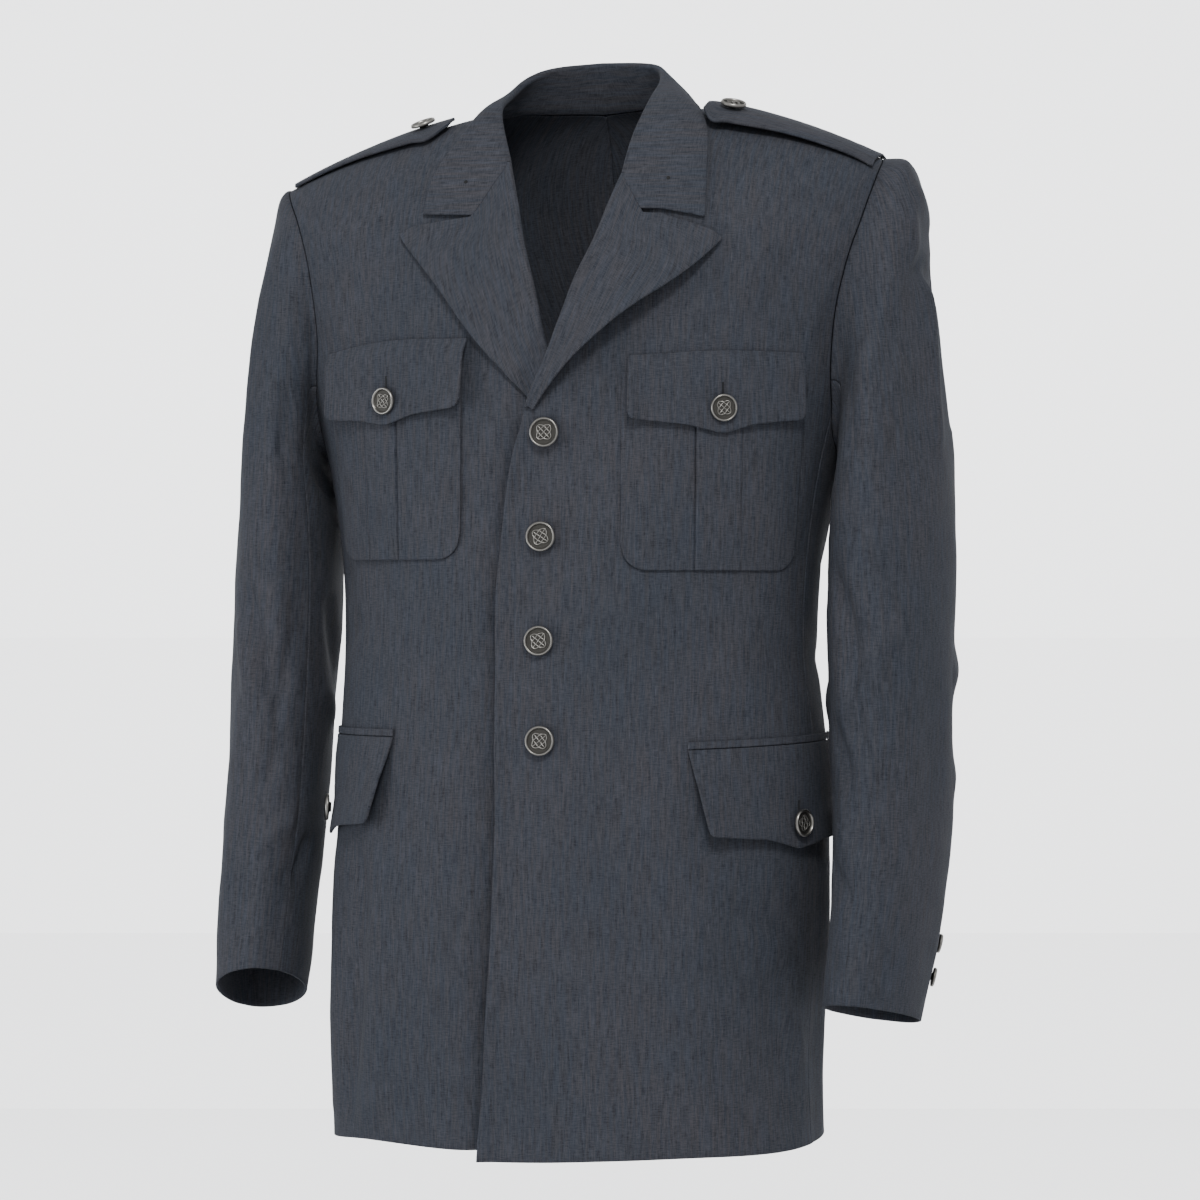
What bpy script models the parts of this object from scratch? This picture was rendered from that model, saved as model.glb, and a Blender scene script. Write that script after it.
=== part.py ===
"""Dress uniform jacket, worn, built as its cut and sewn pieces.

Metres. +Z is up, the front faces -Y, and the wearer's left is +X. The origin is level with the points
where the shoulder seams meet the neck. Each half of the body is worked out in its own frame, in which x
grows from the middle out to that side.
"""

import math

import bpy
import numpy as np
from mathutils import Matrix, Vector

for old in list(bpy.data.objects):
    bpy.data.objects.remove(old, do_unlink=True)

LEFT = 1
RIGHT = -1

SEAM = 0.0003                # gap between two pieces at a seam
BODY_WALL = 0.0020           # cloth, interlining and turnings of the body
SLEEVE_WALL = 0.0020
COLLAR_WALL = 0.0022
LAPEL_WALL = 0.0022
POCKET_WALL = 0.0013
FLAP_WALL = 0.0020
WELT_WALL = 0.0018
STRAP_WALL = 0.0022
FOLD_RADIUS = 0.0019         # middle of the cloth where a lapel or the collar turns over

HEM = -0.806
BREAK = -0.229               # where the lapels start to turn
ARMPIT = -0.270
RIDGE = 0.090                # row number of the shoulder seam
UNDER_LAP_EDGE = -0.033      # edge of the right front, past the middle
LAP_SINK = 0.0034            # how far the right front passes under the left one
LAP_RUN = 0.020              # the step inward begins this far outside the left front's edge
LAP_MARGIN = 0.003           # and ends this far outside it
LAPEL_STACK = 0.0042         # how far the left front stands off over the foot of the right lapel
REST = 0.0006                # gap under what lies on a panel
EDGE_BAND = 0.0020           # width of the column of faces along a seam
SHOULDER_TILT = {LEFT: 0.0045, RIGHT: -0.0100}     # rise of each shoulder's outer end
TILT_START = -0.250
NAPE_RISE = 0.020            # the middle of the back's top rises this much toward the neck

# One level section of the body a row. Rows up to -0.18 lie level at their own height, and rows above
# follow the slope of the shoulder.
BODY = (
    # row,    height, slope, bend, half_left, half_right, front, back, side, round_left, round_right, round_back
    (-0.8300, -0.8300, 0.000, 0.00, 0.193, 0.190, -0.155, 0.113, -0.012, 2.35, 2.50, 2.40),
    (-0.7400, -0.7400, 0.000, 0.00, 0.189, 0.189, -0.156, 0.115, -0.012, 2.35, 2.80, 2.40),
    (-0.6200, -0.6200, 0.000, 0.00, 0.195, 0.189, -0.155, 0.118, -0.012, 2.30, 2.70, 2.35),
    (-0.5500, -0.5500, 0.000, 0.00, 0.196, 0.189, -0.152, 0.114, -0.012, 2.25, 2.45, 2.30),
    (-0.4900, -0.4900, 0.000, 0.00, 0.194, 0.189, -0.149, 0.108, -0.012, 2.20, 2.25, 2.25),
    (-0.4200, -0.4200, 0.000, 0.00, 0.187, 0.187, -0.144, 0.101, -0.010, 2.15, 2.15, 2.20),
    (-0.3600, -0.3600, 0.000, 0.00, 0.190, 0.190, -0.140, 0.106, -0.006, 2.10, 2.10, 2.15),
    (-0.3100, -0.3100, 0.000, 0.00, 0.197, 0.197, -0.138, 0.115, -0.002, 2.10, 2.10, 2.15),
    (-0.2700, -0.2700, 0.000, 0.00, 0.205, 0.205, -0.137, 0.121, 0.000, 2.10, 2.10, 2.15),
    (-0.2400, -0.2400, 0.000, 0.00, 0.2125, 0.2125, -0.136, 0.123, 0.000, 2.10, 2.10, 2.15),
    (-0.2100, -0.2100, 0.000, 0.00, 0.220, 0.220, -0.134, 0.124, 0.000, 2.10, 2.10, 2.15),
    (-0.1800, -0.1800, 0.000, 0.00, 0.225, 0.225, -0.131, 0.122, 0.000, 2.10, 2.10, 2.15),
    (-0.1200, -0.1200, 0.030, 0.13, 0.238, 0.238, -0.121, 0.113, 0.000, 2.30, 2.30, 2.25),
    (-0.0600, -0.0580, 0.085, 0.40, 0.247, 0.247, -0.102, 0.102, 0.000, 2.80, 2.80, 2.60),
    (-0.0100, -0.0230, 0.070, 0.60, 0.248, 0.248, -0.078, 0.084, 0.000, 3.40, 3.40, 3.20),
    (0.0300, -0.0025, 0.050, 0.70, 0.248, 0.248, -0.050, 0.060, 0.000, 3.80, 3.80, 3.60),
    (0.0600, 0.0085, 0.050, 0.78, 0.248, 0.248, -0.026, 0.034, 0.000, 4.20, 4.20, 4.20),
    (0.0900, 0.0130, 0.050, 0.80, 0.248, 0.248, 0.000, 0.000, 0.000, 4.40, 4.40, 4.40),
)
ROW, HEIGHT, SLOPE, BEND, HALF_LEFT, HALF_RIGHT, FRONT, BACK, SIDE, ROUND_LEFT, ROUND_RIGHT, ROUND_BACK = range(12)

# The armhole, by the same rows: a depth near the armpit, then a length from the middle on the front and a
# depth on the back, then a width at the top of the back.
ARM_FRONT_DEPTH = ((-0.2700, 0.0000), (-0.2620, -0.0215), (-0.2500, -0.0335), (-0.2350, -0.0405))
ARM_FRONT_LENGTH = (
    # row,   left,   right
    (-0.2080, 0.2322, 0.2235),
    (-0.1830, 0.2310, 0.2155),
    (-0.1550, 0.2310, 0.2120),
    (-0.1250, 0.2333, 0.2105),
    (-0.0850, 0.2368, 0.2110),
    (-0.0300, 0.2420, 0.2190),
    (0.0250, 0.2440, 0.2325),
    (0.0900, 0.2380, 0.2380),
)
ARM_BACK_DEPTH = (
    (-0.2700, 0.0000), (-0.2620, 0.0215), (-0.2500, 0.0345), (-0.2350, 0.0445), (-0.2100, 0.0560),
    (-0.1800, 0.0640), (-0.1200, 0.0670), (-0.0600, 0.0590), (-0.0200, 0.0444),
)
ARM_BACK_WIDTH = ((-0.0200, 0.2345), (0.0300, 0.2370), (0.0900, 0.2380))

# Where the neckline crosses the rows, from the lapel's fold to the shoulder seam.
NECK_FRONT = {
    LEFT: ((-0.0530, 0.0590), (-0.0100, 0.0660), (0.0300, 0.0755), (0.0600, 0.0815), (0.0900, 0.0850)),
    RIGHT: ((-0.0440, 0.0385), (-0.0100, 0.0530), (0.0300, 0.0690), (0.0600, 0.0785), (0.0900, 0.0850)),
}
NECK_BACK = ((0.0100, 0.0000), (0.0200, 0.0320), (0.0380, 0.0560), (0.0600, 0.0715), (0.0900, 0.0850))

# Edge of the left front: across the middle, by height.
LAP_EDGE = (
    (-0.8300, -0.0455), (-0.7957, -0.0433), (-0.7579, -0.0404), (-0.7072, -0.0372), (-0.6575, -0.0344),
    (-0.6123, -0.0320), (-0.5597, -0.0307), (-0.4995, -0.0315), (-0.4490, -0.0321), (-0.4112, -0.0327),
    (-0.3712, -0.0324), (-0.3432, -0.0301), (-0.3182, -0.0277), (-0.2849, -0.0231), (-0.2600, -0.0178),
    (-0.2524, -0.0154), (-0.2373, -0.0112),
)
LAP_TOP = -0.2373            # row in which the left front's edge ends and its fold starts
FOLD_FOOT = -0.2360          # row above which both fronts start at their fold
FOOT_ROWS = (-0.2366, -0.2359)

# Fold of each lapel in its own half: height and width from the middle.
FOLD = {
    LEFT: ((-0.2365, -0.0112), (-0.2270, -0.0080), (-0.1907, 0.0065), (-0.1368, 0.0239), (-0.1062, 0.0374),
           (-0.0799, 0.0464), (-0.0572, 0.0542)),
    RIGHT: ((-0.2365, -0.0200), (-0.2290, -0.0175), (-0.1869, -0.0040), (-0.1409, 0.0071),
            (-0.1075, 0.0170), (-0.0761, 0.0243), (-0.0464, 0.0333)),
}
# Outer edge of each lapel from its foot to the tip, then its top edge in to the fold.
LAPEL_EDGE = {
    LEFT: ((-0.0030, -0.2372), (0.0092, -0.2189), (0.0295, -0.1979), (0.0466, -0.1799), (0.0650, -0.1650),
           (0.0833, -0.1513), (0.1030, -0.1400), (0.1244, -0.1187), (0.1355, -0.1073)),
    RIGHT: ((0.0060, -0.2310), (0.0207, -0.2161), (0.0370, -0.1991), (0.0589, -0.1757), (0.0762, -0.1507),
            (0.1002, -0.1230), (0.1166, -0.1045), (0.1196, -0.1000)),
}
LAPEL_TOP = {
    LEFT: ((0.0542, -0.0572), (0.0720, -0.0850), (0.0872, -0.0852), (0.1203, -0.0926), (0.1350, -0.0985)),
    RIGHT: ((0.0333, -0.0464), (0.0516, -0.0776), (0.0588, -0.0876), (0.1041, -0.0923), (0.1190, -0.0975)),
}
COLLAR_END = {
    LEFT: ((0.0542, -0.0572), (0.0720, -0.0850), (0.0872, -0.0852), (0.1200, -0.0916)),
    RIGHT: ((0.0333, -0.0464), (0.0516, -0.0776), (0.0588, -0.0876), (0.0994, -0.0859)),
}
LAPEL_FOOT_HEIGHT = {LEFT: -0.2350, RIGHT: -0.2020}

# Collar from its front end round to the middle of the back: fold, outer edge and the way it faces there.
COLLAR = {
    LEFT: (
        # share, fold_x, fold_y, fold_z, edge_x, edge_y, edge_z, out_x, out_y, out_z, bulge
        (0.00, 0.0542, -0.1023, -0.0572, 0.1200, -0.1080, -0.0916, 0.20, -0.86, 0.47, 0.0040),
        (0.15, 0.0570, -0.0810, -0.0290, 0.1190, -0.0950, -0.0560, 0.22, -0.75, 0.62, 0.0060),
        (0.32, 0.0615, -0.0390, 0.0050, 0.1140, -0.0660, -0.0200, 0.26, -0.60, 0.75, 0.0060),
        (0.50, 0.0605, 0.0020, 0.0250, 0.0920, -0.0080, 0.0060, 0.52, 0.02, 0.85, 0.0035),
        (0.66, 0.0535, 0.0270, 0.0380, 0.0765, 0.0280, 0.0070, 0.66, 0.25, 0.68, 0.0025),
        (0.82, 0.0380, 0.0460, 0.0450, 0.0570, 0.0600, 0.0070, 0.52, 0.70, 0.45, 0.0020),
        (1.00, 0.0000, 0.0590, 0.0480, 0.0000, 0.0820, 0.0080, 0.00, 0.94, 0.33, 0.0015),
    ),
    RIGHT: (
        (0.00, 0.0333, -0.0992, -0.0464, 0.0994, -0.1077, -0.0859, 0.18, -0.87, 0.47, 0.0040),
        (0.15, 0.0440, -0.0750, -0.0225, 0.0945, -0.0950, -0.0530, 0.20, -0.76, 0.62, 0.0060),
        (0.32, 0.0560, -0.0370, 0.0020, 0.0800, -0.0660, -0.0220, 0.26, -0.60, 0.75, 0.0060),
        (0.50, 0.0580, 0.0050, 0.0180, 0.0740, -0.0080, 0.0000, 0.52, 0.02, 0.85, 0.0030),
        (0.66, 0.0530, 0.0270, 0.0320, 0.0680, 0.0280, 0.0030, 0.66, 0.25, 0.68, 0.0020),
        (0.82, 0.0385, 0.0460, 0.0430, 0.0560, 0.0600, 0.0060, 0.52, 0.70, 0.45, 0.0015),
        (1.00, 0.0000, 0.0590, 0.0480, 0.0000, 0.0820, 0.0080, 0.00, 0.94, 0.33, 0.0015),
    ),
}

# Heights of the hem by length from the middle front.
HEM_LINE = {
    LEFT: ((-0.0700, -0.8050), (0.0000, -0.8040), (0.0500, -0.8020), (0.1200, -0.7997), (0.2000, -0.7995),
           (0.2600, -0.7975), (0.3400, -0.7930), (0.4900, -0.7960)),
    RIGHT: ((-0.0700, -0.7970), (0.0000, -0.7970), (0.0740, -0.7961), (0.1470, -0.7938), (0.2000, -0.7970),
            (0.2600, -0.8000), (0.3400, -0.7990), (0.4900, -0.7960)),
}

# Chest pocket: lengths from the middle, and rows of its flap and of its bag.
CHEST_POCKET = {
    # flap_in, flap_out, flap_top_in, flap_top_mid, flap_top_out, flap_low_in, flap_point, flap_low_out,
    # button_along, button_row, bag_in, bag_out, bag_low, pleat_in, pleat_out
    LEFT: (0.0670, 0.2040, -0.1970, -0.1932, -0.1938, -0.2450, -0.2554, -0.2429,
           0.1381, -0.2360, 0.0625, 0.2075, -0.3588, 0.1185, 0.1548),
    RIGHT: (0.0590, 0.1960, -0.1816, -0.1815, -0.1894, -0.2345, -0.2473, -0.2403,
            0.1273, -0.2284, 0.0632, 0.1965, -0.3503, 0.1205, 0.1530),
}
# Hip pocket: lengths from the middle, and rows.
HIP_POCKET = {
    # top_in, top_out, welt_top_in, welt_top_out, low_in, low_out, low_in_row, point_row, low_out_row,
    # button_along, button_row
    LEFT: (0.1155, 0.2960, -0.4892, -0.4830, 0.1290, 0.2980, -0.5592, -0.5700, -0.5607, 0.2110, -0.5504),
    RIGHT: (0.1215, 0.3020, -0.4800, -0.4796, 0.1330, 0.3040, -0.5528, -0.5640, -0.5560, 0.2170, -0.5430),
}
WELT_HEIGHT = 0.0055
HIP_FLAP_DROP = 0.0005       # gap under the welt

SLEEVE = {
    LEFT: (
        # along, out_x, out_z, in_x, in_z, mid_y, front, back, turn, tilt
        (0.000, 0.2380, -0.0390, 0.2050, -0.2700, 0.000, 0.066, 0.067, 0.0, 0.0),
        (0.012, 0.2560, -0.0400, 0.2062, -0.2740, 0.000, 0.068, 0.068, 0.0, 0.0),
        (0.030, 0.2650, -0.0560, 0.2060, -0.2790, 0.001, 0.071, 0.071, 0.0, 0.0),
        (0.075, 0.2725, -0.1050, 0.2045, -0.2880, 0.001, 0.077, 0.077, 1.0, 0.0),
        (0.140, 0.2810, -0.1800, 0.2030, -0.3000, 0.001, 0.082, 0.082, 3.0, 0.0),
        (0.220, 0.2890, -0.2700, 0.2015, -0.3250, 0.001, 0.083, 0.083, 6.0, 0.0),
        (0.300, 0.2915, -0.3600, 0.2020, -0.3750, -0.003, 0.081, 0.081, 9.0, 2.0),
        (0.390, 0.2900, -0.4550, 0.2045, -0.4600, -0.009, 0.078, 0.077, 10.0, 4.0),
        (0.470, 0.2895, -0.5450, 0.2070, -0.5450, -0.018, 0.073, 0.073, 10.0, 8.0),
        (0.550, 0.2855, -0.6180, 0.2095, -0.6180, -0.038, 0.067, 0.066, 10.0, 12.0),
        (0.625, 0.2755, -0.6960, 0.2085, -0.6940, -0.064, 0.060, 0.058, 10.0, 11.0),
    ),
    RIGHT: (
        (0.000, 0.2380, -0.0480, 0.2050, -0.2700, 0.000, 0.066, 0.067, 0.0, 0.0),
        (0.012, 0.2435, -0.0550, 0.2062, -0.2740, 0.000, 0.068, 0.068, 0.0, 0.0),
        (0.030, 0.2490, -0.0750, 0.2060, -0.2790, 0.001, 0.071, 0.071, 0.0, 0.0),
        (0.075, 0.2570, -0.1200, 0.2045, -0.2880, 0.001, 0.077, 0.077, 1.0, 0.0),
        (0.140, 0.2670, -0.1900, 0.2030, -0.3000, 0.001, 0.081, 0.081, 3.0, 0.0),
        (0.220, 0.2780, -0.2750, 0.2010, -0.3250, 0.001, 0.082, 0.082, 6.0, 0.0),
        (0.300, 0.2840, -0.3600, 0.2010, -0.3750, -0.003, 0.080, 0.080, 9.0, 2.0),
        (0.390, 0.2850, -0.4550, 0.2040, -0.4600, -0.009, 0.077, 0.076, 10.0, 4.0),
        (0.470, 0.2865, -0.5450, 0.2070, -0.5450, -0.018, 0.073, 0.073, 10.0, 8.0),
        (0.550, 0.2860, -0.6150, 0.2095, -0.6150, -0.038, 0.067, 0.067, 10.0, 14.0),
        (0.625, 0.2800, -0.6880, 0.2100, -0.6830, -0.065, 0.060, 0.060, 10.0, 19.0),
    ),
}
SEAM_IN_FRONT = 0.360        # share of the way round, from the top by the front, of the front sleeve seam
SEAM_BEHIND = ((0.000, 0.730), (0.300, 0.750), (0.625, 0.850))

# Shoulder strap: width from the middle, width forward and behind the shoulder seam, lift, along the strap.
STRAP = {
    # x, middle, half_width, lift
    LEFT: ((0.1030, -0.0350, 0.0090, 0.0070), (0.1110, -0.0350, 0.0250, 0.0070), (0.1250, -0.0340, 0.0255, 0.0070),
           (0.1700, -0.0250, 0.0250, 0.0050), (0.2350, -0.0130, 0.0245, 0.0012)),
    RIGHT: ((0.0965, -0.0350, 0.0090, 0.0035), (0.1045, -0.0350, 0.0250, 0.0035), (0.1250, -0.0340, 0.0255, 0.0035),
            (0.1700, -0.0250, 0.0250, 0.0025), (0.2340, -0.0130, 0.0245, 0.0012)),
}

STRAP_END_CUT = {LEFT: 0.0020, RIGHT: 0.0110}     # the strap's outer end follows the armhole

# Buttons: radius and height from the middle of the front face out to the edge, and down to the back.
BUTTON_SHAPE = (
    # share of radius, share of height
    (0.00, 0.86), (0.62, 0.76), (0.72, 0.84), (0.86, 1.00), (1.00, 0.66), (0.94, 0.34), (0.38, 0.24),
    (0.36, 0.00), (0.00, 0.00),
)
BUTTON_SIDES = 12
FRONT_BUTTON = (0.0115, 0.0060)
POCKET_BUTTON = (0.0105, 0.0055)
STRAP_BUTTON = (0.0100, 0.0052)
CUFF_BUTTON = (0.0075, 0.0042)
FRONT_BUTTONS = (
    # x, z, lift
    (0.0049, -0.2545, 0.0010), (0.0022, -0.3332, 0.0006), (0.0019, -0.4120, 0.0006), (0.0041, -0.4872, 0.0004),
)


def curve(table, at):
    """Values of a smooth curve through a table whose first column is the position."""
    table = np.asarray(table, dtype=float)
    at = np.asarray(at, dtype=float)
    knots = table[:, 0]
    values = table[:, 1:]
    steps = np.diff(knots)[:, None]
    rates = np.diff(values, axis=0) / steps
    slopes = np.empty_like(values)
    slopes[1:-1] = (rates[:-1] * steps[1:] + rates[1:] * steps[:-1]) / (steps[:-1] + steps[1:])
    slopes[0] = rates[0]
    slopes[-1] = rates[-1]
    flat = np.clip(at.ravel(), knots[0], knots[-1])
    cell = np.clip(np.searchsorted(knots, flat, side="right") - 1, 0, len(knots) - 2)
    step = steps[cell]
    part = ((flat - knots[cell])[:, None]) / step
    start = (2 * part - 3) * part * part + 1
    rise = ((part - 2) * part + 1) * part
    fall = (part - 1) * part * part
    found = (start * values[cell] + (1 - start) * values[cell + 1]
             + step * (rise * slopes[cell] + fall * slopes[cell + 1]))
    return found.reshape(at.shape + (values.shape[1],))


def smooth(low, high, at):
    """0 below low, 1 above high, with a soft change between."""
    part = np.clip((np.asarray(at, dtype=float) - low) / (high - low), 0.0, 1.0)
    return part * part * (3 - 2 * part)


def unit(vectors):
    """Vectors of length 1."""
    return vectors / np.maximum(np.linalg.norm(vectors, axis=-1, keepdims=True), 1e-12)


def mixed(first, second, share):
    """Between two values."""
    return first + (second - first) * share


SKIN_ROWS = 240
SKIN_COLUMNS = 260
SKIN_START = -0.070          # the section runs on this far past the middle of the front
QUARTER_STEPS = 300


def body_table(side):
    """Points of half a body, row by row, evenly spaced from past the middle front to the middle back."""
    rows = np.linspace(BODY[0][0], RIDGE, SKIN_ROWS)
    columns = curve(BODY, rows)
    points = np.empty((SKIN_ROWS, SKIN_COLUMNS, 3))
    lengths = np.empty(SKIN_ROWS)
    angle = np.linspace(0.0, math.pi / 2, QUARTER_STEPS)
    round_column = ROUND_LEFT if side == LEFT else ROUND_RIGHT
    half_column = HALF_LEFT if side == LEFT else HALF_RIGHT
    for number in range(SKIN_ROWS):
        row = np.concatenate(([rows[number]], columns[number]))
        front_power = 2 / row[round_column]
        back_power = 2 / row[ROUND_BACK]
        front_x = row[half_column] * np.sin(angle) ** front_power
        front_y = row[SIDE] + (row[FRONT] - row[SIDE]) * np.cos(angle) ** front_power
        back_x = row[half_column] * np.sin(angle[::-1]) ** back_power
        back_y = row[SIDE] + (row[BACK] - row[SIDE]) * np.cos(angle[::-1]) ** back_power
        across = np.concatenate((-front_x[:0:-1], front_x, back_x[1:]))
        deep = np.concatenate((front_y[:0:-1], front_y, back_y[1:]))
        length = np.concatenate(([0.0], np.cumsum(np.hypot(np.diff(across), np.diff(deep)))))
        length -= length[QUARTER_STEPS - 1]
        lengths[number] = length[-1]
        wanted = np.linspace(SKIN_START, length[-1], SKIN_COLUMNS)
        points[number, :, 0] = np.interp(wanted, length, across)
        points[number, :, 1] = np.interp(wanted, length, deep)
        out = np.abs(points[number, :, 0])
        tilt = SHOULDER_TILT[side] * out / row[half_column] * smooth(TILT_START, RIDGE, rows[number])
        nape = (1 - smooth(0.02, 0.13, out)) * smooth(0.0, 0.06, points[number, :, 1])
        nape = nape * NAPE_RISE * smooth(-0.10, 0.01, rows[number])
        points[number, :, 2] = row[HEIGHT] - (row[SLOPE] + row[BEND] * out) * out + tilt + nape
    padded = np.concatenate((2 * points[:1] - points[1:2], points, 2 * points[-1:] - points[-2:-1]))
    padded = np.concatenate((2 * padded[:, :1] - padded[:, 1:2], padded,
                             2 * padded[:, -1:] - padded[:, -2:-1]), axis=1)
    return padded, lengths


TABLES = {side: body_table(side) for side in (LEFT, RIGHT)}


def row_length(side, row):
    """Length of a row from the middle front to the middle back."""
    place = (np.asarray(row) - BODY[0][0]) / (RIDGE - BODY[0][0]) * (SKIN_ROWS - 1)
    return np.interp(place, np.arange(SKIN_ROWS), TABLES[side][1])


def four_weights(part):
    """Weights of four neighbours for a smooth reading of a table."""
    return (((-0.5 * part + 1) * part - 0.5) * part,
            (1.5 * part - 2.5) * part * part + 1,
            ((-1.5 * part + 2) * part + 0.5) * part,
            (0.5 * part - 0.5) * part * part)


def skin(side, along, row):
    """Outer points of the body in its own frame, at a length from the middle front and a row."""
    along, row = np.broadcast_arrays(np.asarray(along, dtype=float), np.asarray(row, dtype=float))
    table = TABLES[side][0]
    place = (row - BODY[0][0]) / (RIDGE - BODY[0][0]) * (SKIN_ROWS - 1)
    place = np.clip(place, 0.0, SKIN_ROWS - 1.0)
    column = (along - SKIN_START) / (row_length(side, row) - SKIN_START) * (SKIN_COLUMNS - 1)
    column = np.clip(column, 0.0, SKIN_COLUMNS - 1.0)
    low_row = np.minimum(place.astype(int), SKIN_ROWS - 2)
    low_column = np.minimum(column.astype(int), SKIN_COLUMNS - 2)
    row_weights = four_weights(place - low_row)
    column_weights = four_weights(column - low_column)
    found = np.zeros(along.shape + (3,))
    for i in range(4):
        for j in range(4):
            weight = (row_weights[i] * column_weights[j])[..., None]
            found += weight * table[low_row + i, low_column + j]
    return found


def normals(side, along, row):
    """Outward directions of the body's skin."""
    reach = 0.0015
    across = skin(side, along + reach, row) - skin(side, along - reach, row)
    up = skin(side, along, row + reach) - skin(side, along, row - reach)
    return unit(np.cross(across, up))


def lifted(side, along, row, lift):
    """Points of the body's skin moved outward."""
    along, row, lift = np.broadcast_arrays(along, row, lift)
    return skin(side, along, row) + normals(side, along, row) * lift[..., None]


def length_at_x(side, x, row):
    """Length along a row's front at which it is x from the middle."""
    x, row = np.broadcast_arrays(np.asarray(x, dtype=float), np.asarray(row, dtype=float))
    along = x.copy()
    for _ in range(8):
        here = skin(side, along, row)[..., 0]
        rate = (skin(side, along + 0.001, row)[..., 0] - skin(side, along - 0.001, row)[..., 0]) / 0.002
        along = along + (x - here) / np.maximum(rate, 0.12)
    return along


def on_front(side, x, z):
    """Length and row of the front point at a distance x from the middle and a height z."""
    x, z = np.broadcast_arrays(np.asarray(x, dtype=float), np.asarray(z, dtype=float))
    row = np.minimum(z + 0.1 * np.abs(x), RIDGE - 0.003)
    for _ in range(8):
        along = length_at_x(side, x, row)
        here = skin(side, along, row)[..., 2]
        rate = (skin(side, along, row + 0.001)[..., 2] - skin(side, along, row - 0.001)[..., 2]) / 0.002
        row = np.clip(row + (z - here) / np.maximum(rate, 0.15), BODY[0][0], RIDGE - 0.002)
    return length_at_x(side, x, row), row


def length_where(side, row, axis, value, from_back=False):
    """Length along one row at which a coordinate reaches a value, on the front or coming from the back."""
    total = float(row_length(side, row))
    tries = np.linspace(total if from_back else 0.0, total * 0.45 if from_back else total, 500)
    found = np.maximum.accumulate(skin(side, tries, row)[:, axis])
    return float(np.interp(value, found, tries))


def arm_front(side, row):
    """Length at which the armhole cuts a row of the front."""
    low = ARM_FRONT_DEPTH[-1]
    if row < low[0]:
        return length_where(side, row, 1, float(curve(ARM_FRONT_DEPTH, row)[0]))
    first = (low[0], length_where(side, low[0], 1, low[1]), length_where(side, low[0], 1, low[1]))
    column = 0 if side == LEFT else 1
    return float(curve((first,) + ARM_FRONT_LENGTH, row)[column])


def arm_back(side, row):
    """Length at which the armhole cuts a row of the back."""
    if row < ARM_BACK_WIDTH[0][0]:
        return length_where(side, row, 1, float(curve(ARM_BACK_DEPTH, row)[0]))
    return length_where(side, row, 0, float(curve(ARM_BACK_WIDTH, row)[0]), from_back=True)


ARM_FRONT_FOOT = -0.2380     # rows at which the side seams meet the armhole
ARM_BACK_FOOT = -0.2330


def side_seam(side, row, depth):
    """Length at which a side seam cuts a row."""
    return length_where(side, row, 1, depth)


def fold_x(side, row):
    """Width of a lapel's fold at a height."""
    return float(curve(FOLD[side], row)[0])


def front_lift(x, z):
    """The left front lies over the right lapel's foot near the break."""
    over = (1 - smooth(0.014, 0.050, x)) * smooth(-0.268, -0.236, z) * (1 - smooth(-0.182, -0.150, z))
    return LAPEL_STACK * over


def lap_sink(x, z):
    """The right front passes inward under the left one; x is the true width, + to the wearer's left."""
    edge = np.where(z < LAP_TOP, curve(LAP_EDGE, z)[..., 0], curve(FOLD[LEFT], z)[..., 0])
    return -LAP_SINK * smooth(edge - LAP_RUN, edge - LAP_MARGIN, x) * (1 - smooth(-0.185, -0.160, z))


def body_lift(side, along, row):
    """How far a front stands off the plain skin."""
    point = skin(side, along, row)
    if side == LEFT:
        return front_lift(point[..., 0], point[..., 2])
    return lap_sink(-point[..., 0], point[..., 2])


def world(side, points):
    """Own frame to the jacket's."""
    moved = np.array(points, dtype=float)
    moved[..., 0] *= side
    return moved


collection = bpy.data.collections.new("dress_uniform_jacket")
bpy.context.scene.collection.children.link(collection)


def paint(name, colour, roughness, metallic):
    """A plain material."""
    material = bpy.data.materials.new(name)
    material.use_nodes = True
    shader = material.node_tree.nodes["Principled BSDF"]
    shader.inputs["Base Color"].default_value = (*colour, 1.0)
    shader.inputs["Roughness"].default_value = roughness
    shader.inputs["Metallic"].default_value = metallic
    return material


CLOTH = (0.060, 0.075, 0.095)
METAL = (0.30, 0.29, 0.27)


def place(name, mesh, colour, roughness, metallic):
    """An object for a mesh, with its own material, in the jacket's collection."""
    thing = bpy.data.objects.new(name, mesh)
    mesh.materials.append(paint(name, colour, roughness, metallic))
    collection.objects.link(thing)
    return thing


def sheet(name, side, grid, wall, offset=-1.0, thickness=None):
    """Cloth: a grid of points in the own frame, rows upward and columns outward, given its thickness."""
    points = world(side, grid)
    rows, columns = points.shape[:2]
    faces = []
    for i in range(rows - 1):
        for j in range(columns - 1):
            corners = (i * columns + j, i * columns + j + 1, (i + 1) * columns + j + 1, (i + 1) * columns + j)
            faces.append(corners if side == LEFT else corners[::-1])
    mesh = bpy.data.meshes.new(name)
    mesh.from_pydata([tuple(point) for point in points.reshape(-1, 3)], [], faces)
    thing = place(name, mesh, CLOTH, 0.9, 0.0)
    solid = thing.modifiers.new("cloth", "SOLIDIFY")
    solid.thickness = wall
    solid.offset = offset
    if thickness is not None:
        group = thing.vertex_groups.new(name="thickness")
        for number, share in enumerate(np.asarray(thickness).ravel()):
            group.add([number], float(share), "REPLACE")
        solid.vertex_group = group.name
    return thing


def spread(start, end, count):
    """Even steps between two arrays, as a last axis."""
    share = np.linspace(0.0, 1.0, count)
    return np.asarray(start)[..., None] * (1 - share) + np.asarray(end)[..., None] * share


def banded(start, end, count):
    """Like spread, with a narrow column at each edge so that the edge faces squarely out."""
    inner = spread(start + EDGE_BAND, end - EDGE_BAND, count - 2)
    return np.concatenate((np.asarray(start)[..., None], inner, np.asarray(end)[..., None]), axis=-1)


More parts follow.
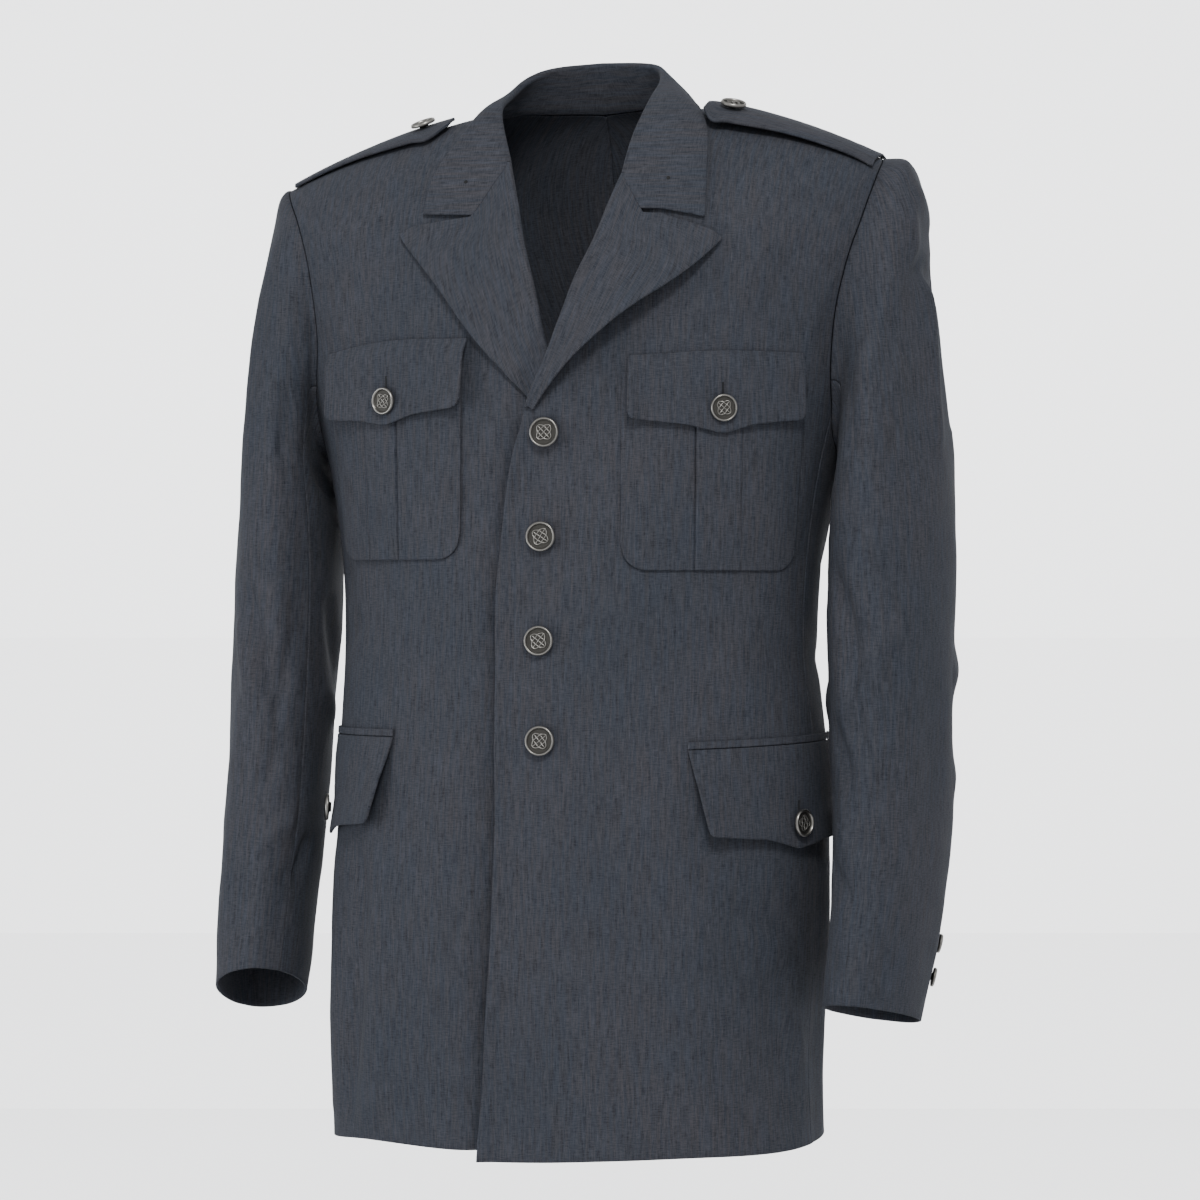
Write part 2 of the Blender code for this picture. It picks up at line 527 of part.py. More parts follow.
HEM_SPREAD = -0.700          # row up to which the hem line's bend reaches


def hem_rows(side, along, rows):
    """Rows bent to the hem line near the bottom."""
    drop = curve(HEM_LINE[side], along)[..., 0] - rows[0]
    return rows[:, None] + drop * (1 - smooth(rows[0], HEM_SPREAD, rows))[:, None]


FRONT_COLUMNS = 13
LOWER_TOP = -0.290           # row up to which the rows of all panels are level
LOWER_ROWS = np.linspace(HEM, LOWER_TOP, 10)
TOP_ROWS = (RIDGE - 0.0030, RIDGE - 0.0005)
FRONT_ROWS = np.concatenate((
    LOWER_ROWS, (-0.2620, -0.2480), (ARM_FRONT_FOOT,), (-0.2290, -0.2100),
    np.linspace(-0.185, -0.060, 7), (-0.0300, 0.0000, 0.0250, 0.0500, 0.0720), TOP_ROWS))
SIDE_COLUMNS = 7
SIDE_MIDDLE = 0.54           # share of the way from the last level row up to the armhole
BACK_COLUMNS = 11
BACK_ROWS = np.concatenate((
    LOWER_ROWS, (-0.2600,), (ARM_BACK_FOOT,), np.linspace(-0.212, -0.080, 6),
    (-0.0600, -0.0450, -0.0300, -0.0200, -0.0050, 0.0100, 0.0220, 0.0380, 0.0550, 0.0740), TOP_ROWS))
FOLD_INSET = FOLD_RADIUS + LAPEL_WALL / 2 + 0.0017
RIDGE_GAP = 0.0006
LEAN = 1.07                  # the fold runs slantwise, so its inset is this much wider along a row


def front_inner(side, row):
    """Width at which a front starts."""
    neck_row = NECK_FRONT[side][0][0]
    if row > neck_row:
        return float(curve(NECK_FRONT[side], row)[0])
    edge = float(curve(LAP_EDGE, row)[0]) if side == LEFT else UNDER_LAP_EDGE
    fold = fold_x(side, row) + FOLD_INSET * LEAN
    if row > FOLD_FOOT:
        return fold
    return edge


def front_outer(side, row):
    """Length at which a front ends, at the side seam or the armhole."""
    if row < ARM_FRONT_FOOT + 1e-6:
        depth = float(skin(side, arm_front(side, ARM_FRONT_FOOT), ARM_FRONT_FOOT)[1])
        return side_seam(side, row, depth) - SEAM / 2
    return arm_front(side, row)


def lap_columns(inner, outer, rows):
    """Columns of the right front, which follow its step inward under the left one."""
    edge = np.where(rows < LAP_TOP, curve(LAP_EDGE, rows)[:, 0], curve(FOLD[LEFT], rows)[:, 0])
    sunk = np.maximum(LAP_MARGIN - edge, inner + 0.010)
    plain = np.maximum(LAP_RUN - edge, sunk + 0.010)
    under = spread(inner + EDGE_BAND, sunk, 4)
    step = ((sunk + plain) / 2)[:, None]
    beyond = spread(plain, outer - EDGE_BAND, FRONT_COLUMNS - 6)
    return np.concatenate((inner[:, None], under, step, beyond, outer[:, None]), axis=1)


def ridge_gap(x):
    """Half the gap along the shoulder seam, wider where the shoulder's two slopes meet at an angle."""
    return SEAM * 0.6 + RIDGE_GAP * smooth(0.16, 0.22, x)


def front(side):
    """Front panel, from the hem to the shoulder seam."""
    rows = np.sort(np.concatenate((FRONT_ROWS, FOOT_ROWS, (NECK_FRONT[side][0][0],))))
    rows = rows[np.concatenate(([True], np.diff(rows) > 0.0004))]
    inner_x = np.array([front_inner(side, row) for row in rows])
    inner = length_at_x(side, inner_x, rows)
    outer = np.array([front_outer(side, row) for row in rows])
    along = banded(inner, outer, FRONT_COLUMNS)
    if side == RIGHT:
        along = lap_columns(inner, outer, rows)
    height = hem_rows(side, along, rows)
    points = lifted(side, along, height, body_lift(side, along, height))
    points[-1, :, 1] = np.minimum(points[-1, :, 1], -ridge_gap(points[-1, :, 0]))
    return points


def side_panel(side):
    """Panel under the arm."""
    start_depth = float(skin(side, arm_front(side, ARM_FRONT_FOOT), ARM_FRONT_FOOT)[1])
    end_depth = float(skin(side, arm_back(side, ARM_BACK_FOOT), ARM_BACK_FOOT)[1])
    depths = banded(np.array(start_depth), np.array(end_depth), SIDE_COLUMNS)
    front_part = np.array(ARM_FRONT_DEPTH)[:, ::-1]
    back_part = np.array(ARM_BACK_DEPTH)[:4, ::-1]
    edge = np.concatenate((front_part[::-1], back_part[1:]))
    tops = curve(edge, depths)[:, 0]
    low = np.repeat(LOWER_ROWS[:, None], SIDE_COLUMNS, axis=1)
    rows = np.concatenate((low, mixed(low[-1], tops, SIDE_MIDDLE)[None, :], tops[None, :]))
    along = np.empty_like(rows)
    for place_at in np.ndindex(rows.shape):
        along[place_at] = side_seam(side, float(rows[place_at]), float(depths[place_at[1]]))
    along[:, 0] += SEAM / 2
    along[:, -1] -= SEAM / 2
    drop = curve(HEM_LINE[side], along)[..., 0] - HEM
    rows = rows + drop * (1 - smooth(HEM, HEM_SPREAD, rows))
    return skin(side, along, rows)


def back_outer(side, row):
    """Length at which a back starts, at its side seam or the armhole."""
    if row < ARM_BACK_FOOT + 1e-6:
        depth = float(skin(side, arm_back(side, ARM_BACK_FOOT), ARM_BACK_FOOT)[1])
        return side_seam(side, row, depth) + SEAM / 2
    return arm_back(side, row)


def back(side):
    """Back panel, from its outer edge to the middle of the back."""
    rows = BACK_ROWS
    outer = np.array([back_outer(side, row) for row in rows])
    inner = np.empty(len(rows))
    for number, row in enumerate(rows):
        if row <= NECK_BACK[0][0]:
            inner[number] = float(row_length(side, row)) - SEAM / 2
        else:
            inner[number] = length_where(side, row, 0, float(curve(NECK_BACK, row)[0]), from_back=True)
    along = banded(outer, inner, BACK_COLUMNS)
    height = hem_rows(side, along, rows)
    points = skin(side, along, height)
    points[-1, :, 1] = np.maximum(points[-1, :, 1], ridge_gap(points[-1, :, 0]))
    return points


def arm_loop(side, shares):
    """The armhole's edge: 0 at the shoulder seam, by the front to 0.5 at the armpit, and up the back."""
    rows = np.concatenate((np.linspace(RIDGE - 0.0004, -0.2400, 60), np.linspace(-0.2420, ARMPIT, 40)))
    before = np.array([skin(side, arm_front(side, row), row) for row in rows])
    behind = np.array([skin(side, arm_back(side, row), row) for row in rows])
    found = np.empty(shares.shape + (3,))
    for path, near in ((before, shares <= 0.5), (behind, shares > 0.5)):
        length = np.concatenate(([0.0], np.cumsum(np.linalg.norm(np.diff(path, axis=0), axis=1))))
        part = np.where(shares <= 0.5, shares, 1.0 - shares) * 2 * length[-1]
        for axis in range(3):
            found[..., axis] = np.where(near, np.interp(part, length, path[:, axis]), found[..., axis])
    return found


LOOP_FADE = 0.110
LOOP_SHARES = np.linspace(0.0, 1.0, 241)
LOOPS = {side: arm_loop(side, LOOP_SHARES) for side in (LEFT, RIGHT)}
ARM_GAP = 0.0013
ARM_CORNER = 0.895           # share of the way round at which the armhole turns onto the shoulder
ARM_CORNER_GAP = 0.0042
START_BAND = 0.0025          # the sleeve first runs straight out of the armhole


def sleeve_point(side, along, share):
    """Outer points of a sleeve in its own frame: a length down the arm and a share of the way round."""
    along, share = np.broadcast_arrays(np.asarray(along, dtype=float), np.asarray(share, dtype=float))
    share = share % 1.0
    plain = oval(side, along, share)
    loop = np.stack([np.interp(share, LOOP_SHARES, LOOPS[side][:, axis]) for axis in range(3)], axis=-1)
    corner = ARM_CORNER_GAP * np.exp(-((share - ARM_CORNER) / 0.045) ** 2)
    loop[..., 0] += ARM_GAP + corner + np.minimum(along, START_BAND)
    first = oval(side, np.minimum(along, START_BAND), share)
    fade = (1 - smooth(START_BAND, LOOP_FADE, along))[..., None]
    return plain + (loop - first) * fade


def oval(side, along, share):
    """Plain oval section of a sleeve."""
    values = curve(SLEEVE[side], along)
    out_x, out_z, in_x, in_z, mid_y, before, behind, turn, tilt = (values[..., i] for i in range(9))
    round_at = share * 2 * math.pi
    across = np.cos(round_at)
    deep = np.sin(round_at)
    reach = np.where(deep > 0, before, behind) * deep
    half_x = (out_x - in_x) / 2 * across
    rise = (out_z + in_z) / 2 + (out_z - in_z) / 2 * across
    turned = np.radians(turn)
    x = (out_x + in_x) / 2 + half_x * np.cos(turned) - reach * np.sin(turned)
    y = mid_y - reach * np.cos(turned) - half_x * np.sin(turned)
    z = rise + reach * np.tan(np.radians(tilt))
    return np.stack((x, y, z), axis=-1)


SLEEVE_RINGS = np.array((0.0, 0.0025, 0.011, 0.025, 0.050, 0.090, 0.140, 0.195, 0.255, 0.315, 0.375,
                         0.435, 0.495, 0.550, 0.590, 0.625))
UPPER_COLUMNS = 13
UNDER_COLUMNS = 9
SLEEVE_GIRTH = 0.42          # about the way round a sleeve


def sleeve(side, upper):
    """One of the two pieces of a sleeve; rows run up the arm and columns outward from its front seam."""
    along = SLEEVE_RINGS[::-1]
    behind = curve(SEAM_BEHIND, along)[:, 0]
    slip = SEAM * 1.1 / SLEEVE_GIRTH
    start = np.full_like(behind, SEAM_IN_FRONT)
    ends = (behind - 1 + slip, start - slip) if upper else (start + slip, behind - slip)
    share = banded(ends[0] * SLEEVE_GIRTH, ends[1] * SLEEVE_GIRTH,
                   UPPER_COLUMNS if upper else UNDER_COLUMNS) / SLEEVE_GIRTH
    points = sleeve_point(side, along[:, None], share)
    return points[:, ::-1]


def fold_frame(side, height, lift):
    """A point on a lapel's fold, the ways out of the chest and toward the neck."""
    step = 0.004
    ends = []
    for z in (height - step, height + step, height):
        along, row = on_front(side, fold_x(side, z), z)
        ends.append((skin(side, along, row), along, row))
    run = unit(ends[1][0] - ends[0][0])
    out = normals(side, ends[2][1], ends[2][2])
    out = unit(out - run * float(np.dot(out, run)))
    toward = np.cross(run, out)
    toward = toward if toward[0] < 0 else -toward
    return ends[2][0] + out * lift, out, toward, run


FOLD_ANGLES = np.radians((-90, -45, 0, 45, 90))


def fold_points(edge, out, toward):
    """Middle of the cloth round a fold whose outermost line is at edge, with a short lead-in."""
    middle = edge - toward * (FOLD_RADIUS + LAPEL_WALL / 2) + out * (FOLD_RADIUS - LAPEL_WALL / 2)
    ring = [middle + FOLD_RADIUS * (toward * math.cos(a) + out * math.sin(a)) for a in FOLD_ANGLES]
    lead = ring[0] - toward * 0.0009
    return [lead] + ring


LAPEL_ROWS = 13
LAPEL_REST = 0.0016          # under side of a lapel above the front, past the fold
BELLY = {LEFT: 0.0085, RIGHT: 0.0006}


def path_point(path, share):
    """Point at a share of the length of a bent line."""
    path = np.asarray(path, dtype=float)
    length = np.concatenate(([0.0], np.cumsum(np.linalg.norm(np.diff(path, axis=0), axis=1))))
    return np.array([np.interp(share * length[-1], length, path[:, axis]) for axis in range(path.shape[1])]).T


def line_nodes(line):
    """Shares along a lapel's or collar's end at which its grid has its columns: the bends and some between."""
    line = np.asarray(line)
    length = np.concatenate(([0.0], np.cumsum(np.linalg.norm(np.diff(line, axis=0), axis=1))))
    marks = [length[1] * 0.5, length[1], length[2], mixed(length[2], length[3], 0.34),
             mixed(length[2], length[3], 0.67)] + list(length[3:])
    return np.array(marks) / length[-1]


END_SHIFT = np.array((0.00025, 0.00028))
INNER_SHIFT = np.array((0.00090, 0.00040))


def end_shift(share):
    """Half the gap between a lapel's top and the collar's end, by share of its length."""
    return END_SHIFT + INNER_SHIFT * (1 - smooth(0.15, 0.60, share))[:, None]


def lapel_lift(side, down, share):
    """Middle of the lapel's cloth above the front, by share down from the tip and share out from the fold."""
    rest = LAPEL_REST + LAPEL_WALL / 2
    belly = BELLY[side] * np.sin(np.clip(down, 0, 1) * math.pi) ** 0.8 * smooth(0.15, 1.0, share)
    return rest + (FOLD_RADIUS * 2 - LAPEL_WALL / 2 - rest) * (1 - smooth(0.0, 0.25, share)) + belly


def lapel(side, rows=LAPEL_ROWS):
    """Lapel turned out at its fold, from its foot up to the seam with the collar."""
    foot = LAPEL_FOOT_HEIGHT[side]
    top = FOLD[side][-1][0] - SEAM * 0.8
    edge = np.array(LAPEL_EDGE[side])
    top_line = np.array(LAPEL_TOP[side])
    share = line_nodes(top_line)
    grid = []
    for number in range(rows):
        up = number / (rows - 1)
        z = foot + (top - foot) * up
        lift = float(body_lift(side, *on_front(side, fold_x(side, z), z)))
        point, out, toward, _ = fold_frame(side, z, lift)
        row = fold_points(point, out, toward)
        inset = (FOLD_RADIUS + LAPEL_WALL / 2) * LEAN
        start = np.array((fold_x(side, z) + inset, z))
        end = path_point(edge, up)
        line = start + (end - start) * share[:, None]
        straight = top_line[0] + (top_line[-1] - top_line[0]) * share[:, None]
        bend = (path_point(top_line, share) - straight) * smooth(0.62, 1.0, up) ** 1.3
        line = line + bend
        line = line - end_shift(share) * up ** 8
        along, height = on_front(side, line[:, 0], line[:, 1])
        lifts = body_lift(side, along, height) + lapel_lift(side, 1 - up, share)
        row.extend(lifted(side, along, height, lifts))
        grid.append(row)
    return np.array(grid)


COLLAR_STATIONS = 10
COLLAR_REST = 0.0021          # least gap under the collar's fall
COLLAR_BAND = 0.02           # share of the half collar taken by the narrow faces at its end


def neck_place(side, share):
    """Length and row along the neckline, from the lapel's fold to the middle of the back."""
    front_rows = NECK_FRONT[side]
    if share <= 0.5:
        row = mixed(front_rows[0][0], RIDGE - 0.0004, share / 0.5)
        return float(length_at_x(side, float(curve(front_rows, row)[0]), row)), row
    row = mixed(RIDGE - 0.0004, NECK_BACK[0][0], (share - 0.5) / 0.5)
    return length_where(side, row, 0, float(curve(NECK_BACK, row)[0]), from_back=True), row


def neck_point(side, share):
    """Middle of the body's cloth along the neckline."""
    along, row = neck_place(side, share)
    return skin(side, along, row) - normals(side, along, row) * BODY_WALL / 2


def neck_facing(side, share):
    """The way the body faces along the neckline."""
    return normals(side, *neck_place(side, share))


def table_normals(side):
    """Outward directions at every point of a body table."""
    table = TABLES[side][0][1:-1, 1:-1]
    return unit(np.cross(np.gradient(table, axis=1), np.gradient(table, axis=0)))


TABLE_NORMALS = {side: table_normals(side) for side in (LEFT, RIGHT)}


def above_body(side, points, least):
    """Points pushed out so that they stand at least this far off the body's skin."""
    table = TABLES[side][0][1:-1, 1:-1]
    found = []
    for point in np.asarray(points):
        nearest = np.unravel_index(np.argmin(((table - point) ** 2).sum(axis=-1)), table.shape[:2])
        out = TABLE_NORMALS[side][nearest]
        height = float((point - table[nearest]) @ out)
        found.append(point + out * max(0.0, least - height))
    return np.array(found)


def collar_half(side, stations=COLLAR_STATIONS):
    """Collar from its front end to the middle of the back; each station runs from the neck seam over."""
    table = np.array(COLLAR[side])
    grid = []
    end_line = np.array(COLLAR_END[side])
    share_out = line_nodes(end_line)
    line = path_point(end_line, share_out) + end_shift(share_out)
    along, height = on_front(side, line[:, 0], line[:, 1])
    lifts = body_lift(side, along, height) + lapel_lift(side, np.zeros(len(share_out)), share_out)
    end_points = lifted(side, along, height, lifts)
    top = FOLD[side][-1][0]
    point, out, toward, run = fold_frame(side, top, 0.0)
    end_ring = fold_points(point + run * SEAM * 2, out, toward)
    shares = np.concatenate(((0.0, COLLAR_BAND), np.linspace(0.0, 1.0, stations)[1:] ** 0.9))
    for share in shares:
        values = curve(table, share)
        edge, far, facing, bulge = values[0:3], values[3:6], values[6:9], values[9]
        step = 0.01
        run_here = unit(curve(table, min(share + step, 1.0))[0:3] - curve(table, max(share - step, 0.0))[0:3])
        if share == 1.0:
            run_here = np.array((-1.0, 0.0, 0.0))
        facing = unit(facing - run_here * float(np.dot(facing, run_here)))
        toward_here = np.cross(run_here, facing)
        if np.dot(toward_here, edge - far) < 0:
            toward_here = -toward_here
        ring = fold_points(edge, facing, toward_here)
        ring = ring[1:]
        neck, neck_out = neck_point(side, share), neck_facing(side, share)
        step = 0.02
        along_neck = neck_point(side, min(share + step, 1.0)) - neck_point(side, max(share - step, 0.0))
        inward = unit(np.cross(unit(along_neck), neck_out))
        if np.dot(inward, ring[0] - neck) < 0:
            inward = -inward
        neck = neck + inward * (COLLAR_WALL / 2 + SEAM * 2)
        stand = [neck, mixed(neck, ring[0], 0.5)]
        far_middle = far - facing * COLLAR_WALL / 2
        out_here = [mixed(ring[-1], far_middle, part) + facing * bulge * 4 * part * (1 - part)
                    for part in share_out]
        station = np.array(stand + ring + out_here)
        fade = (1 - smooth(0.0, 0.30, share))
        if share == 0.0:
            lead = end_ring[0]
            first = np.array([lead, mixed(lead, end_ring[1], 0.5)] + end_ring[1:] + list(end_points))
            shift = first - station
        station = station + shift * fade
        falls = len(share_out)
        station[-falls:] = above_body(side, station[-falls:], COLLAR_WALL / 2 + COLLAR_REST)
        grid.append(station)
    return np.array(grid)


def collar():
    """Whole collar, from the right end round the back to the left end."""
    left = world(LEFT, collar_half(LEFT))
    right = world(RIGHT, collar_half(RIGHT))
    middle = (left[-1:] + right[-1:]) / 2
    middle[..., 0] = 0.0
    return np.concatenate((right[:-1], middle, left[:-1][::-1]))


CORNER = 0.020               # radius of the chest pocket's bottom corners
PLEAT_RISE = 0.0012
PLEAT_STEP = 0.0010
BAG_TOP_DROP = 0.014         # the bag starts this far under the flap's top edge


def bag(side):
    """Chest pocket: points on the front, and the share of its thickest cloth at each point."""
    values = CHEST_POCKET[side]
    start, end, low, pleat_in, pleat_out = values[10:15]
    top = (values[2] + values[4]) / 2 - BAG_TOP_DROP
    middle = (pleat_in + pleat_out) / 2
    half_pleat = (pleat_out - pleat_in) / 2
    columns = np.concatenate((np.linspace(start, pleat_in - PLEAT_STEP, 6), (pleat_in,), (middle,), (pleat_out,),
                              np.linspace(pleat_out + PLEAT_STEP, end, 6)))
    shares = np.linspace(0.0, 1.0, 9)
    from_side = np.minimum(columns - start, end - columns)
    inside = np.clip(CORNER - from_side, 0.0, CORNER)
    rise = CORNER - np.sqrt(np.maximum(CORNER ** 2 - inside ** 2, 0.0))
    bottom = low + rise
    rows = bottom[None, :] + (top - bottom[None, :]) * shares[:, None]
    along = np.broadcast_to(columns, rows.shape)
    lifts = body_lift(side, along, rows) + REST * 1.4
    thick = np.where(np.abs(along - middle) <= half_pleat + 1e-6, 1.0, POCKET_WALL / (POCKET_WALL + PLEAT_RISE))
    return lifted(side, along, rows, lifts), thick


FLAP_OVER_PLEAT = 0.0037     # under side of the flap above the front
FLAP_COLUMNS = 13
FLAP_RUN = 0.012             # length over which the flap rises from its seam


def chest_flap_rows(side, share):
    """Top and bottom rows of the chest flap at a share of its width."""
    values = CHEST_POCKET[side]
    top = curve(((0.0, values[2]), (0.5, values[3]), (1.0, values[4])), share)[..., 0]
    point_share = (values[8] - values[0]) / (values[1] - values[0])
    low = np.interp(share, (0.0, point_share * 0.62, point_share, 1 - (1 - point_share) * 0.62, 1.0),
                    (values[5], mixed(values[5], values[6], 0.38), values[6],
                     mixed(values[7], values[6], 0.38), values[7]))
    return top, low


def chest_flap(side):
    """Pointed flap over the chest pocket."""
    values = CHEST_POCKET[side]
    share = np.linspace(0.0, 1.0, FLAP_COLUMNS)
    top, low = chest_flap_rows(side, share)
    down = np.array((1.0, 0.80, 0.60, 0.40, 0.22, 0.10, 0.0))
    rows = top[None, :] + (low - top)[None, :] * down[:, None]
    along = np.broadcast_to(mixed(values[0], values[1], share), rows.shape)
    lifts = body_lift(side, along, rows) + flap_lift(top[None, :] - rows)
    return lifted(side, along, rows, lifts)


def flap_lift(drop):
    """Under side of a chest flap above the front, by the distance under its top edge."""
    return REST + (FLAP_OVER_PLEAT - REST) * smooth(0.001, FLAP_RUN, drop)


HIP_COLUMNS = 16


def hip_lines(side, share):
    """Along, top row and bottom row of the hip flap at a share of its width."""
    values = HIP_POCKET[side]
    top = mixed(values[2], values[3], smooth(-0.4, 1.0, share)) - WELT_HEIGHT - HIP_FLAP_DROP
    point_share = (values[9] - values[4]) / (values[5] - values[4])
    low = np.interp(share, (0.0, point_share * 0.62, point_share, 1 - (1 - point_share) * 0.62, 1.0),
                    (values[6], mixed(values[6], values[7], 0.30), values[7],
                     mixed(values[8], values[7], 0.30), values[8]))
    return top, low


def hip_lift(share, down):
    """Under side of the hip flap above the front: it stands off at its inner edge and at the bottom."""
    return (REST + 0.0010 * smooth(0.0, 0.25, down) + 0.0022 * down ** 2
            + 0.0022 * (1 - smooth(0.0, 0.30, share)) * smooth(0.0, 0.6, down))


def hip_flap(side):
    """Deep pointed flap of the hip pocket, wrapping to the side."""
    values = HIP_POCKET[side]
    share = np.linspace(0.0, 1.0, HIP_COLUMNS)
    down = np.array((1.0, 0.80, 0.60, 0.40, 0.20, 0.0))[:, None]
    top, low = hip_lines(side, share)
    rows = top[None, :] + (low - top)[None, :] * down
    along = mixed(mixed(values[0], values[1], share)[None, :], mixed(values[4], values[5], share)[None, :], down)
    return lifted(side, along, rows, hip_lift(share[None, :], down))


def welt(side):
    """Narrow welt over the hip flap."""
    values = HIP_POCKET[side]
    share = np.linspace(0.0, 1.0, HIP_COLUMNS)
    top = mixed(values[2], values[3], smooth(-0.4, 1.0, share))
    rows = np.stack((top - WELT_HEIGHT, top))
    along = np.broadcast_to(mixed(values[0], values[1], share), rows.shape)
    return lifted(side, along, rows, np.full(rows.shape, REST))


def over_shoulder(side, x, forward):
    """Point of the shoulder at a width, and a length from its seam, backward positive."""
    tries = np.linspace(RIDGE - 0.0002, -0.030, 40)
    if forward <= 0:
        path = skin(side, length_at_x(side, np.full(tries.shape, x), tries), tries)
    else:
        path = np.array([skin(side, length_where(side, row, 0, x, from_back=True), row) for row in tries])
    length = np.concatenate(([0.0], np.cumsum(np.linalg.norm(np.diff(path, axis=0), axis=1))))
    return np.array([np.interp(abs(forward), length, path[:, axis]) for axis in range(3)])


STRAP_ACROSS = 7


def strap_point(side, along, across):
    """Under side of the strap: a share along it from its pointed end, and a share across from its front."""
    table = np.array(STRAP[side])
    start, end = table[0, 0], table[-1, 0]
    x = mixed(start, end, along)
    middle, half, lift = curve(table, x)
    forward = middle + half * (2 * across - 1)
    x = x - STRAP_END_CUT[side] * max(-forward, 0.0) / 0.036 * along ** 3
    ground = over_shoulder(side, x, forward)
    tilt = (forward - middle) / 0.060
    out = unit(np.array((0.36, math.sin(tilt) * 0.93, math.cos(tilt) * 0.93)))
    return ground + out * (SEAM + lift)


def strap(side):
    """Shoulder strap; rows run across it, from its front edge, and columns outward."""
    along = np.array((0.0, 0.060, 0.110, 0.20, 0.32, 0.45, 0.58, 0.70, 0.82, 0.92, 1.0))
    across = np.linspace(0.0, 1.0, STRAP_ACROSS)
    return np.array([[strap_point(side, a, c) for a in along] for c in across])


def button(name, centre, axis, size):
    """Domed button: a profile turned round its axis, its back on the point given."""
    radius, height = size
    mesh = bpy.data.meshes.new(name)
    profile = [(radius * r, 0.0, height * h) for r, h in BUTTON_SHAPE]
    edges = [(i, i + 1) for i in range(len(profile) - 1)]
    mesh.from_pydata(profile, edges, [])
    thing = place(name, mesh, METAL, 0.35, 1.0)
    turn = thing.modifiers.new("turn", "SCREW")
    turn.axis = "Z"
    turn.angle = math.tau
    turn.steps = BUTTON_SIDES
    turn.render_steps = BUTTON_SIDES
    turn.use_merge_vertices = True
    turn.merge_threshold = 0.00001
    turn.use_normal_calculate = True
    direction = Vector([float(value) for value in axis])
    thing.matrix_world = Matrix.Translation([float(value) for value in centre]) @ \
        direction.to_track_quat("Z", "Y").to_matrix().to_4x4()
    return thing


def on_body(side, along, row, lift):
    """Seat and facing of a button on the body's skin."""
    along, row = np.array(float(along)), np.array(float(row))
    extra = float(body_lift(side, along, row))
    point = lifted(side, along, row, np.array(lift + extra))
    return world(side, point), world(side, normals(side, along, row))


for side, word in ((LEFT, "left"), (RIGHT, "right")):
    sheet("front_" + word, side, front(side), BODY_WALL)
    sheet("side_" + word, side, side_panel(side), BODY_WALL)
    sheet("back_" + word, side, back(side), BODY_WALL)
    sheet("sleeve_upper_" + word, side, sleeve(side, True), SLEEVE_WALL)
    sheet("sleeve_under_" + word, side, sleeve(side, False), SLEEVE_WALL)
    sheet("lapel_" + word, side, lapel(side), LAPEL_WALL, offset=0.0)
    points, thick = bag(side)
    sheet("chest_pocket_" + word, side, points, POCKET_WALL + PLEAT_RISE, offset=1.0, thickness=thick)
    sheet("chest_flap_" + word, side, chest_flap(side), FLAP_WALL, offset=1.0)
    sheet("hip_welt_" + word, side, welt(side), WELT_WALL, offset=1.0)
    sheet("hip_flap_" + word, side, hip_flap(side), FLAP_WALL, offset=1.0)
    sheet("shoulder_strap_" + word, side, strap(side), STRAP_WALL, offset=1.0)
    chest = CHEST_POCKET[side]
    seat, facing = on_body(side, chest[8], chest[9], FLAP_OVER_PLEAT + FLAP_WALL + SEAM)
    button("chest_button_" + word, seat, facing, POCKET_BUTTON)
    hip = HIP_POCKET[side]
    share = (hip[9] - hip[4]) / (hip[5] - hip[4])
    top, low = hip_lines(side, np.array(share))
    down = (float(top) - hip[10]) / float(top - low)
    seat, facing = on_body(side, hip[9], hip[10], float(hip_lift(share, down)) + FLAP_WALL + 0.0008)
    button("hip_button_" + word, seat, facing, POCKET_BUTTON)
    near = strap_point(side, 0.16, 0.5)
    run = strap_point(side, 0.20, 0.5) - strap_point(side, 0.12, 0.5)
    wide = strap_point(side, 0.16, 0.9) - strap_point(side, 0.16, 0.1)
    facing = unit(np.cross(run, wide))
    facing = facing if facing[2] > 0 else -facing
    seat = near + facing * (STRAP_WALL + SEAM * 1.5)
    button("strap_button_" + word, world(side, seat), world(side, facing), STRAP_BUTTON)
    for number, along in enumerate((0.567, 0.592)):
        share = float(curve(SEAM_BEHIND, along)[0]) - 1 + 0.045
        here = sleeve_point(side, along, share)
        run = sleeve_point(side, along + 0.004, share) - sleeve_point(side, along - 0.004, share)
        wide = sleeve_point(side, along, share + 0.01) - sleeve_point(side, along, share - 0.01)
        facing = unit(np.cross(wide, run))
        facing = facing if facing[0] > 0 else -facing
        seat = here + facing * SEAM * 0.5
        button("cuff_button_%s_%d" % (word, number + 1), world(side, seat), world(side, facing), CUFF_BUTTON)
sheet("collar", LEFT, collar(), COLLAR_WALL, offset=0.0)
for number, (x, z, lift) in enumerate(FRONT_BUTTONS):
    along, row = on_front(LEFT, x, z)
    seat, facing = on_body(LEFT, along, row, lift)
    button("front_button_%d" % (number + 1), seat, facing, FRONT_BUTTON)
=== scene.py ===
"""Dress uniform jacket, worn: its cloth, seams, creases, sewing and buttons, each laid on its own solid.

Metres. +Z is up, the front faces -Y, and the wearer's left is +X. Each half of the body is worked out in
its own frame, in which x grows from the middle out to that side.
"""

import math

import bpy
import numpy as np
from bpy.props import FloatProperty, FloatVectorProperty, PointerProperty
from mathutils import Matrix, Vector
from mathutils.bvhtree import BVHTree

